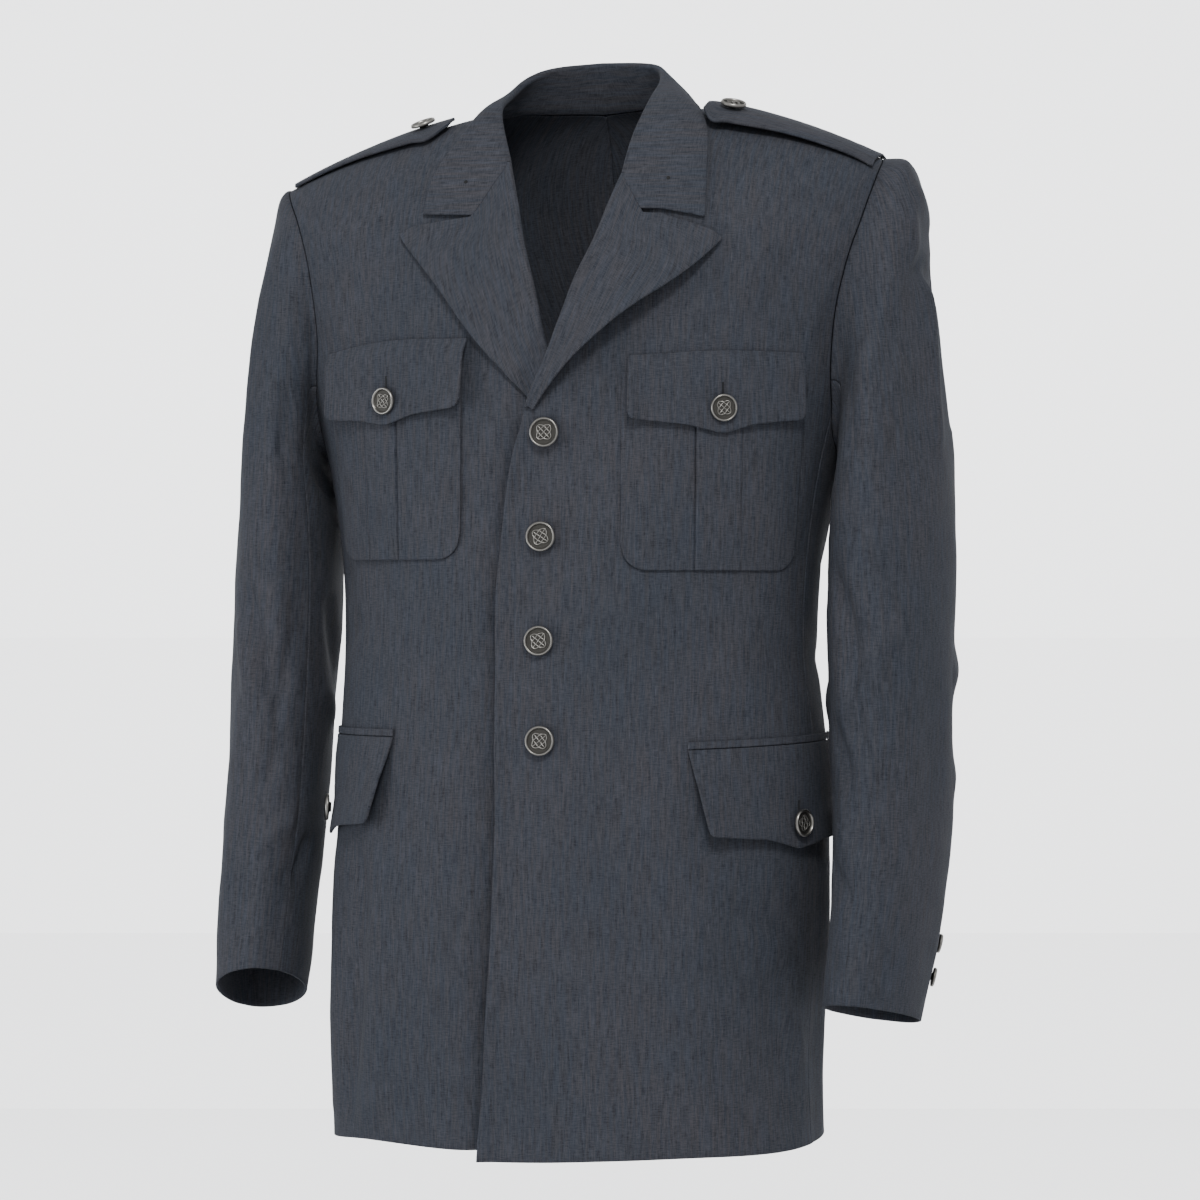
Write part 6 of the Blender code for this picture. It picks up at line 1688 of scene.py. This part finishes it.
def button_mesh(name, centre, axis, size, turn=0.0):
    """A domed button with a rounded rim, a sunk field and a raised interlaced lattice."""
    radius, height = size
    points, faces, relief = lathe(BUTTON_LATHE, 48)
    points = [(x * radius, y * radius, z * height) for x, y, z in points]
    for path, closed in lattice_strands():
        lifted_path = [(x, y, z + LATTICE_SEAT * height / radius + 0.02 - 0.045 * (x * x + y * y))
                       for x, y, z in path]
        more, sides, worn = cord_ring(lifted_path, STRAND, closed, lambda z, s: 0.25 + 0.75 * max(s, 0.0))
        start = len(points)
        points += [(x * radius, y * radius, z * radius) for x, y, z in more]
        faces += [tuple(start + k for k in face) for face in sides]
        relief += worn
    mesh = bpy.data.meshes.new(name)
    mesh.from_pydata(points, [], faces)
    layer = mesh.attributes.new("relief", "FLOAT", "POINT")
    layer.data.foreach_set("value", relief)
    mesh.polygons.foreach_set("use_smooth", [True] * len(mesh.polygons))
    direction = Vector([float(value) for value in axis])
    matrix = Matrix.Translation([float(value) for value in centre]) @ \
        direction.to_track_quat("Z", "Y").to_matrix().to_4x4() @ Matrix.Rotation(turn, 4, "Z")
    mesh.transform(matrix)
    mesh.update()
    return placed(name, mesh)


def stitch_tree(name):
    """Geometry Nodes: short stitches laid along lines at an even pitch, sunk half into the cloth."""
    tree = bpy.data.node_groups.new(name, "GeometryNodeTree")
    sockets = {}
    for label, kind, value in (("Geometry", "NodeSocketGeometry", None), ("Pitch", "NodeSocketFloat", 0.0026),
                               ("Length", "NodeSocketFloat", 0.0019), ("Thickness", "NodeSocketFloat", 0.00032),
                               ("Thread", "NodeSocketMaterial", None)):
        socket = tree.interface.new_socket(name=label, in_out="INPUT", socket_type=kind)
        if value is not None:
            socket.default_value = value
        sockets[label] = socket.identifier
    tree.interface.new_socket(name="Geometry", in_out="OUTPUT", socket_type="NodeSocketGeometry")
    made = {key: tree.nodes.new(kind) for key, kind in (
        ("given", "NodeGroupInput"), ("result", "NodeGroupOutput"), ("lines", "GeometryNodeMeshToCurve"),
        ("even", "GeometryNodeCurveToPoints"), ("stitch", "GeometryNodeMeshCylinder"),
        ("spots", "GeometryNodeInstanceOnPoints"), ("real", "GeometryNodeRealizeInstances"),
        ("paint", "GeometryNodeSetMaterial"))}
    made["even"].mode = "LENGTH"
    made["stitch"].inputs["Vertices"].default_value = 6
    made["stitch"].inputs["Side Segments"].default_value = 1
    for source, out, target, into in (
            ("given", "Geometry", "lines", "Mesh"), ("lines", "Curve", "even", "Curve"),
            ("given", "Pitch", "even", "Length"), ("given", "Length", "stitch", "Depth"),
            ("given", "Thickness", "stitch", "Radius"), ("even", "Points", "spots", "Points"),
            ("even", "Rotation", "spots", "Rotation"), ("stitch", "Mesh", "spots", "Instance"),
            ("spots", "Instances", "real", "Geometry"), ("real", "Geometry", "paint", "Geometry"),
            ("given", "Thread", "paint", "Material"), ("paint", "Geometry", "result", "Geometry")):
        tree.links.new(made[source].outputs[out], made[target].inputs[into])
    return tree, sockets


def stitched(name, lines, material, pitch, length, thickness):
    """Stitches along lines of points, as one plain mesh."""
    points, edges = [], []
    for line in lines:
        start = len(points)
        points += [tuple(float(v) for v in point) for point in line]
        edges += [(start + k, start + k + 1) for k in range(len(line) - 1)]
    mesh = bpy.data.meshes.new(name + "_lines")
    mesh.from_pydata(points, edges, [])
    carrier = placed(name + "_lines", mesh)
    tree, sockets = stitch_tree(name + "_stitching")
    modifier = carrier.modifiers.new("stitches", "NODES")
    modifier.node_group = tree
    for label, value in (("Pitch", pitch), ("Length", length), ("Thickness", thickness), ("Thread", material)):
        modifier[sockets[label]] = value
    depsgraph = bpy.context.evaluated_depsgraph_get()
    made = bpy.data.meshes.new_from_object(carrier.evaluated_get(depsgraph))
    bpy.data.objects.remove(carrier, do_unlink=True)
    bpy.data.meshes.remove(mesh)
    bpy.data.node_groups.remove(tree)
    made.name = name
    return placed(name, made)


def metres(name, description, default, low, high):
    """A length that the user sets."""
    return FloatProperty(name=name, description=description, default=default, min=low, max=high, unit="LENGTH")


def shade(name, description, default):
    """A colour that the user sets."""
    return FloatVectorProperty(name=name, description=description, subtype="COLOR", default=default, min=0.0,
                               max=1.0)


class JacketCloth(bpy.types.PropertyGroup):
    """Colours and strength of the cloth's melange."""

    light: shade("Light fibre", "Colour of the melange's light fibres", (0.084, 0.0895, 0.108))
    dark: shade("Dark fibre", "Colour of the melange's dark fibres", (0.0165, 0.0195, 0.0265))
    streak: FloatProperty(name="Streak", description="Contrast of the fine streaks", default=1.0, min=0.2, max=3.0)


class JacketSewing(bpy.types.PropertyGroup):
    """Sizes of the stitches."""

    pitch: metres("Stitch pitch", "Distance from one stitch to the next", 0.0026, 0.001, 0.01)
    length: metres("Stitch length", "Length of one stitch", 0.0018, 0.0005, 0.008)
    thickness: metres("Thread", "Half the thickness of the sewing thread", 0.00016, 0.00005, 0.001)


class JacketButtons(bpy.types.PropertyGroup):
    """Sizes and colours of the buttons."""

    front: metres("Front button", "Radius of a front button", FRONT_BUTTON[0], 0.005, 0.02)
    pocket: metres("Pocket button", "Radius of a pocket button", POCKET_BUTTON[0], 0.005, 0.02)
    bright: shade("Polished silver", "Colour of the raised metal", (0.40, 0.39, 0.365))
    deep: shade("Dark silver", "Colour of the recesses", (0.100, 0.097, 0.089))


class JacketStage(bpy.types.PropertyGroup):
    """Camera and light."""

    azimuth: FloatProperty(name="Camera azimuth", description="How far the camera stands to the wearer's left",
                           default=math.radians(14.0), subtype="ANGLE")
    distance: metres("Camera distance", "Distance from the jacket's middle", 3.4, 0.5, 20.0)
    light: FloatProperty(name="Light", description="Strength of the main soft light", default=1.0, min=0.0, max=10.0)


MATERIALS = {}
LEAST_CUT = 0.0102           # least length of a cut
LEAST_FILL = 0.31            # and the least share of its width times its length that it fills


def material_of(name, maker, *values):
    """A material, made once."""
    if name not in MATERIALS:
        MATERIALS[name] = maker(name, *values)
    return MATERIALS[name]


def worked_out(thing):
    """Flat size of a piece from its weave: its width, its length and its own area."""
    layer = thing.data.uv_layers["cloth"].data
    uv = np.empty(len(layer) * 2)
    layer.foreach_get("uv", uv)
    uv = uv.reshape(-1, 2)
    size = uv.max(axis=0) - uv.min(axis=0)
    total = sum(polygon.area for polygon in thing.data.polygons)
    return float(size[0]), float(size[1]), float(total / 2)


def hand_over(thing, node=None):
    """Attach a finished piece to the root body, and hide the solid that it stands for if one is named."""
    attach(thing, "root")
    if node:
        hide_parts(node)


def add_cloth(node, side, points, wall, grain, held, rests_on=(), **placing):
    """Build a cloth piece for a solid, work out the cut that its weave gives, and hand the piece over."""
    cloth = bpy.context.scene.jacket_cloth
    thing = shell("cloth_" + node, side, points, wall, grain, **placing)
    thing.data.materials.append(material_of("wool_body", wool, tuple(cloth.light), tuple(cloth.dark), cloth.streak))
    width, length, area = worked_out(thing)
    length = max(length, LEAST_CUT)
    area = min(max(area, LEAST_FILL * width * length), width * length)
    hand_over(thing, node)


class JACKET_OT_body(bpy.types.Operator):
    """Fronts, side panels and backs"""

    bl_idname = "jacket.body"
    bl_label = "Body"

    def execute(self, context):
        for side, word in WORD.items():
            for kind, cut, rests_on in (("front_", front_cloth, ["back_" + word]),
                                        ("side_", side_cloth, ["back_" + word]), ("back_", back_cloth, ())):
                points, grain = cut(side)
                add_cloth(kind + word, side, points, BODY_WALL, grain, "hung", rests_on, meet=SEAM / 2)
        return {"FINISHED"}


class JACKET_OT_sleeves(bpy.types.Operator):
    """Upper and under sleeves"""

    bl_idname = "jacket.sleeves"
    bl_label = "Sleeves"

    def execute(self, context):
        for side, word in WORD.items():
            for upper, kind in ((True, "upper"), (False, "under")):
                points, grain = sleeve_cloth(side, upper)
                add_cloth("sleeve_%s_%s" % (kind, word), side, points, SLEEVE_WALL, grain, "hung", meet=SEAM / 2,
                          meet_top=0.0010)
        return {"FINISHED"}


class JACKET_OT_collar(bpy.types.Operator):
    """Collar and lapels"""

    bl_idname = "jacket.collar"
    bl_label = "Collar and lapels"

    def execute(self, context):
        points = collar_cloth()
        across, around = flat_length(points, 1), flat_length(points, 0)
        around = np.broadcast_to(around[:, 20:21], around.shape)
        in_front = smooth(0.015, -0.035, points[..., 1])
        grain = np.stack((mixed(across, 0.1 - points[..., 2], in_front), mixed(around, points[..., 0], in_front)),
                         axis=-1)
        add_cloth("collar", LEFT, points, COLLAR_WALL, grain, "folded", ["front_left", "front_right"],
                  place_of="middle", meet=0.0005)
        for side, word in WORD.items():
            points = lapel_cloth(side)
            add_cloth("lapel_" + word, side, points, LAPEL_WALL, lapel_grain(side, points), "folded",
                      ["front_" + word], place_of="middle", meet=0.0004)
        return {"FINISHED"}


class JACKET_OT_pockets(bpy.types.Operator):
    """Chest pockets, hip welts and all flaps"""

    bl_idname = "jacket.pockets"
    bl_label = "Pockets"

    def execute(self, context):
        for side, word in WORD.items():
            rest = {"rests_on": ["front_" + word], "place_of": "inner"}
            points, thick, grain = chest_bag_cloth(side)
            add_cloth("chest_pocket_" + word, side, points, thick, grain, "hung", **rest)
            points, grain = chest_flap_cloth(side)
            add_cloth("chest_flap_" + word, side, points, FLAP_WALL, grain, "hung", **rest)
            points, grain = hip_flap_cloth(side)
            add_cloth("hip_flap_" + word, side, points, FLAP_WALL, grain, "hung", **rest)
            points, grain = welt_cloth(side)
            add_cloth("hip_welt_" + word, side, points, WELT_WALL, grain, "folded", **rest)
        return {"FINISHED"}


class JACKET_OT_straps(bpy.types.Operator):
    """Shoulder straps"""

    bl_idname = "jacket.straps"
    bl_label = "Shoulder straps"

    def execute(self, context):
        for side, word in WORD.items():
            points, grain = strap_cloth(side)
            add_cloth("shoulder_strap_" + word, side, points, STRAP_WALL, grain, "laid", ["front_" + word],
                      place_of="inner")
        return {"FINISHED"}


HIP_BUTTON_GAP = 0.0008      # gap between the hip flap and its button
CUFF_BUTTONS = (0.567, 0.592)    # how far down the arm they sit


def turned_out(first, second, axis):
    """The way across two directions, on the side on which an axis grows."""
    facing = unit(np.cross(first, second))
    return facing if facing[axis] > 0 else -facing


def button_places():
    """Name, seat, facing and size of every button."""
    places = []
    for side, word in WORD.items():
        chest = CHEST_POCKET[side]
        seat, facing = on_body(side, chest[CHEST_BUTTON_ALONG], chest[CHEST_BUTTON_ROW],
                               FLAP_OVER_PLEAT + FLAP_WALL + SEAM)
        places.append(("chest_button_" + word, seat, facing, POCKET_BUTTON))
        hip = HIP_POCKET[side]
        share = (hip[HIP_BUTTON_ALONG] - hip[LOW_IN]) / (hip[LOW_OUT] - hip[LOW_IN])
        top, low = hip_lines(side, np.array(share))
        down = (float(top) - hip[HIP_BUTTON_ROW]) / float(top - low)
        seat, facing = on_body(side, hip[HIP_BUTTON_ALONG], hip[HIP_BUTTON_ROW],
                               float(hip_lift(share, down)) + FLAP_WALL + HIP_BUTTON_GAP)
        places.append(("hip_button_" + word, seat, facing, POCKET_BUTTON))
        near = strap_point(side, 0.16, 0.5)
        run = strap_point(side, 0.20, 0.5) - strap_point(side, 0.12, 0.5)
        wide = strap_point(side, 0.16, 0.9) - strap_point(side, 0.16, 0.1)
        facing = turned_out(run, wide, 2)
        seat = near + facing * (STRAP_WALL + SEAM * 1.5)
        places.append(("strap_button_" + word, world(side, seat), world(side, facing), STRAP_BUTTON))
        for number, along in enumerate(CUFF_BUTTONS):
            share = float(curve(SEAM_BEHIND, along)[0]) - 1 + 0.045
            here = sleeve_point(side, along, share)
            run = sleeve_point(side, along + 0.004, share) - sleeve_point(side, along - 0.004, share)
            wide = sleeve_point(side, along, share + 0.01) - sleeve_point(side, along, share - 0.01)
            facing = turned_out(wide, run, 0)
            seat = here + facing * SEAM * 0.5
            places.append(("cuff_button_%s_%d" % (word, number + 1), world(side, seat), world(side, facing),
                           CUFF_BUTTON))
    for number, (x, z, lift) in enumerate(FRONT_BUTTONS):
        along, row = on_front(LEFT, x, z)
        seat, facing = on_body(LEFT, along, row, lift)
        places.append(("front_button_%d" % (number + 1), seat, facing, FRONT_BUTTON))
    return places


BUTTON_TURNS = (0.10, 0.62, -0.25, 0.34, 0.85, -0.12, 0.48, 0.05, -0.40, 0.70, 0.0, 0.22, 0.14, -0.08)


class JACKET_OT_buttons(bpy.types.Operator):
    """All buttons"""

    bl_idname = "jacket.buttons"
    bl_label = "Buttons"

    def execute(self, context):
        settings = context.scene.jacket_buttons
        silver = material_of("aged_silver", aged_silver, tuple(settings.bright), tuple(settings.deep))
        for (node, seat, facing, size), turn in zip(button_places(), BUTTON_TURNS):
            radius, height = size
            if node.startswith("front"):
                radius = settings.front
            if node.startswith(("chest", "hip")):
                radius = settings.pocket
            thing = button_mesh("domed_" + node, seat, facing, (radius, height), turn)
            thing.data.materials.append(silver)
            hand_over(thing, node)
        return {"FINISHED"}


def surface_of(name):
    """Search tree of a finished piece."""
    mesh = bpy.data.objects[name].data
    return BVHTree.FromPolygons([vertex.co.copy() for vertex in mesh.vertices],
                                [tuple(polygon.vertices) for polygon in mesh.polygons])


def laid_line(tree, line, proud):
    """A line of points drawn onto the nearest cloth and moved out."""
    laid = []
    for point in line:
        spot, normal, _, _ = tree.find_nearest(Vector([float(value) for value in point]))
        laid.append(spot + normal * proud)
    return laid


SEW_PROUD = 0.00005          # how far sewing stands out of the cloth
THREAD_STEP = 0.0005         # from one row of a buttonhole's thread to the next
PIN_HOLE = 0.0015            # radius of a collar eyelet
PIN_HOLES = ((0.0917, -0.0608, "left"), (-0.0676, -0.0603, "right"))     # width, height and side of each


def buttonhole_lines():
    """Worked buttonholes of the pocket flaps, as bent lines close together."""
    lines = []
    for side, word in WORD.items():
        for kind, place, first, last in (
                ("chest", CHEST_POCKET[side][CHEST_BUTTON_ALONG:BAG_IN], 0.0108, 0.0185),
                ("hip", HIP_POCKET[side][HIP_BUTTON_ALONG:], 0.0105, 0.0165)):
            tree = surface_of("cloth_%s_flap_%s" % (kind, word))
            row = np.linspace(place[1] + first, place[1] + last, 9)
            for aside in (-THREAD_STEP, 0.0, THREAD_STEP):
                along = np.full(9, place[0] + aside)
                line = world(side, lifted(side, along, row, np.full(9, 0.012)))
                lines.append(laid_line(tree, line, SEW_PROUD))
    return lines


def pin_hole(name, tree, x, z, material):
    """A small eyelet in the collar: a raised ring of thread round a closed near-black cap, whose dark colour is
    painted shade standing for the open hole.
    """
    spot, normal, _, _ = tree.ray_cast(Vector((x, -0.5, z)), Vector((0.0, 1.0, 0.0)))
    # A raised ring of thread round a flat cap over the hole; the cap's near-black colour is painted shade in place of
    # the open hole.
    points, faces, _ = lathe(((0.0, 0.05, 0), (0.5, 0.05, 0), (0.8, 0.22, 0), (1.0, 0.10, 0), (1.0, -0.4, 0),
                              (0.0, -0.4, 0)), 20)
    mesh = bpy.data.meshes.new(name)
    mesh.from_pydata([(px * PIN_HOLE, py * PIN_HOLE, pz * PIN_HOLE) for px, py, pz in points], [], faces)
    mesh.polygons.foreach_set("use_smooth", [True] * len(mesh.polygons))
    mesh.transform(Matrix.Translation(spot) @ normal.to_track_quat("Z", "Y").to_matrix().to_4x4())
    mesh.materials.append(material)
    hand_over(placed(name, mesh))


class JACKET_OT_sewing(bpy.types.Operator):
    """Worked buttonholes of the pocket flaps and the collar's eyelets"""

    bl_idname = "jacket.sewing"
    bl_label = "Sewing"

    def execute(self, context):
        settings = context.scene.jacket_sewing
        navy = material_of("sewing_thread", thread, (0.013, 0.015, 0.019))
        thing = stitched("worked_buttonholes", buttonhole_lines(), navy, settings.pitch * 0.28,
                         settings.length * 0.5, settings.thickness * 1.6)
        hand_over(thing)
        # Near-black colour of the eyelets: thread colour on the rim, and painted shade on the cap that closes the
        # hole.
        dark = material_of("eyelet_thread", thread, (0.006, 0.007, 0.009))
        tree = surface_of("cloth_collar")
        for x, z, word in PIN_HOLES:
            pin_hole("pin_hole_" + word, tree, x, z, dark)
        return {"FINISHED"}


def soft_light(name, place, aim, size, power, colour):
    """A soft square light."""
    data = bpy.data.lights.new(name, "AREA")
    data.shape = "RECTANGLE"
    data.size, data.size_y = size
    data.energy = power
    data.color = colour
    thing = placed(name, data)
    thing.location = place
    thing.visible_camera = False
    thing.rotation_euler = (Vector(aim) - Vector(place)).to_track_quat("-Z", "Y").to_euler()


FLOOR_DROP = 0.55            # how far the floor lies below the hem
FLOOR_HALF = 3.2             # half the width of floor and backdrop
FLOOR_PROFILE = [(-6.0, 0.0), (3.4, 0.0), (4.2, 0.08), (4.7, 0.35), (5.0, 0.9), (5.1, 5.0)]   # back, and up
LIGHTS = (
    # name, place, size, power, colour
    ("key", (0.9, -2.7, 2.1), (0.8, 0.7), 50.0, (1.0, 0.99, 0.98)),
    ("window", (-2.8, -1.9, -0.5), (1.2, 1.6), 24.0, (0.94, 0.97, 1.0)),
)
LIGHT_AIM = (0.0, 0.0, -0.40)
WALL_LIGHTS = (("wall_left", -1.5), ("wall_right", 1.5))     # each with its place across the picture
WALL_LIGHT_BACK = 2.0        # the wall's lights stand this far behind the jacket, turned to the backdrop
WALL_LIGHT_HEIGHT = 0.6      # height of both
WALL_LIGHT_POWER = 210.0
SKY = (0.985, 0.985, 1.0, 1.0)
SKY_STRENGTH = 0.54
SENSOR = 36.0                # width of the camera's sensor in millimetres
FOCAL_SHARE = 3.604          # focal length as a share of the picture's width
CAMERA_ASIDE = 0.0126        # the camera's place across the picture
CAMERA_HEIGHT = -0.381       # and its height


class JACKET_OT_stage(bpy.types.Operator):
    """Floor, backdrop, soft lights and camera"""

    bl_idname = "jacket.stage"
    bl_label = "Stage"

    def execute(self, context):
        settings = context.scene.jacket_stage
        pale = material_of("studio_floor", studio_floor, (0.82, 0.82, 0.825))
        a = settings.azimuth
        across = Vector((math.cos(a), math.sin(a), 0.0))
        low = float(CAD_BOX[0][2]) - FLOOR_DROP
        back = Vector((-math.sin(a), math.cos(a), 0.0))
        rows = [[back * far + across * wide + Vector((0.0, 0.0, low + high)) for wide in (-FLOOR_HALF, FLOOR_HALF)]
                for far, high in FLOOR_PROFILE]
        points = [point for row in rows for point in row]
        mesh = bpy.data.meshes.new("studio_ground")
        mesh.from_pydata(points, [], [(2 * k, 2 * k + 1, 2 * k + 3, 2 * k + 2) for k in range(len(rows) - 1)])
        mesh.materials.append(pale)
        placed("studio_ground", mesh)
        for name, place, size, power, colour in LIGHTS:
            soft_light(name, place, LIGHT_AIM, size, power * settings.light, colour)
        for name, wide in WALL_LIGHTS:
            place = across * wide + back * WALL_LIGHT_BACK + Vector((0.0, 0.0, WALL_LIGHT_HEIGHT))
            soft_light(name, place, place + back * 3.0, (1.0, 1.0), WALL_LIGHT_POWER * settings.light,
                       (0.98, 0.99, 1.0))
        world_light = bpy.data.worlds.new("studio")
        world_light.use_nodes = True
        background = world_light.node_tree.nodes["Background"]
        background.inputs["Color"].default_value = SKY
        background.inputs["Strength"].default_value = SKY_STRENGTH
        context.scene.world = world_light
        data = bpy.data.cameras.new("camera")
        data.sensor_width = SENSOR
        data.lens = FOCAL_SHARE * SENSOR
        camera = placed("camera", data)
        toward = Vector((math.sin(a), -math.cos(a), 0.0))
        camera.location = across * CAMERA_ASIDE + toward * settings.distance + Vector((0.0, 0.0, CAMERA_HEIGHT))
        camera.rotation_euler = (-toward).to_track_quat("-Z", "Y").to_euler()
        context.scene.camera = camera
        return {"FINISHED"}


class JACKET_PT_panel(bpy.types.Panel):
    """Steps and sizes of the jacket"""

    bl_label = "Dress Uniform Jacket"
    bl_idname = "JACKET_PT_panel"
    bl_space_type = "VIEW_3D"
    bl_region_type = "UI"
    bl_category = "Jacket"

    def draw(self, context):
        layout = self.layout
        for kind, name in GROUPS:
            box = layout.box()
            for setting in kind.__annotations__:
                box.prop(getattr(context.scene, name), setting)
        for operator in STEPS:
            layout.operator(operator.bl_idname)


STEPS = (JACKET_OT_body, JACKET_OT_sleeves, JACKET_OT_collar, JACKET_OT_pockets, JACKET_OT_straps,
         JACKET_OT_buttons, JACKET_OT_sewing, JACKET_OT_stage)
GROUPS = ((JacketCloth, "jacket_cloth"), (JacketSewing, "jacket_sewing"), (JacketButtons, "jacket_buttons"),
          (JacketStage, "jacket_stage"))


def register():
    """Add the classes and their settings."""
    for group, name in GROUPS:
        bpy.utils.register_class(group)
        setattr(bpy.types.Scene, name, PointerProperty(type=group))
    for step in STEPS:
        bpy.utils.register_class(step)
    bpy.utils.register_class(JACKET_PT_panel)


def unregister():
    """Take them away."""
    bpy.utils.unregister_class(JACKET_PT_panel)
    for step in reversed(STEPS):
        bpy.utils.unregister_class(step)
    for group, name in reversed(GROUPS):
        delattr(bpy.types.Scene, name)
        bpy.utils.unregister_class(group)


def main():
    """Build the jacket and its stage."""
    register()
    bpy.ops.jacket.body()
    bpy.ops.jacket.sleeves()
    bpy.ops.jacket.collar()
    bpy.ops.jacket.pockets()
    bpy.ops.jacket.straps()
    bpy.ops.jacket.buttons()
    bpy.ops.jacket.sewing()
    bpy.ops.jacket.stage()


if __name__ == "__main__":
    main()
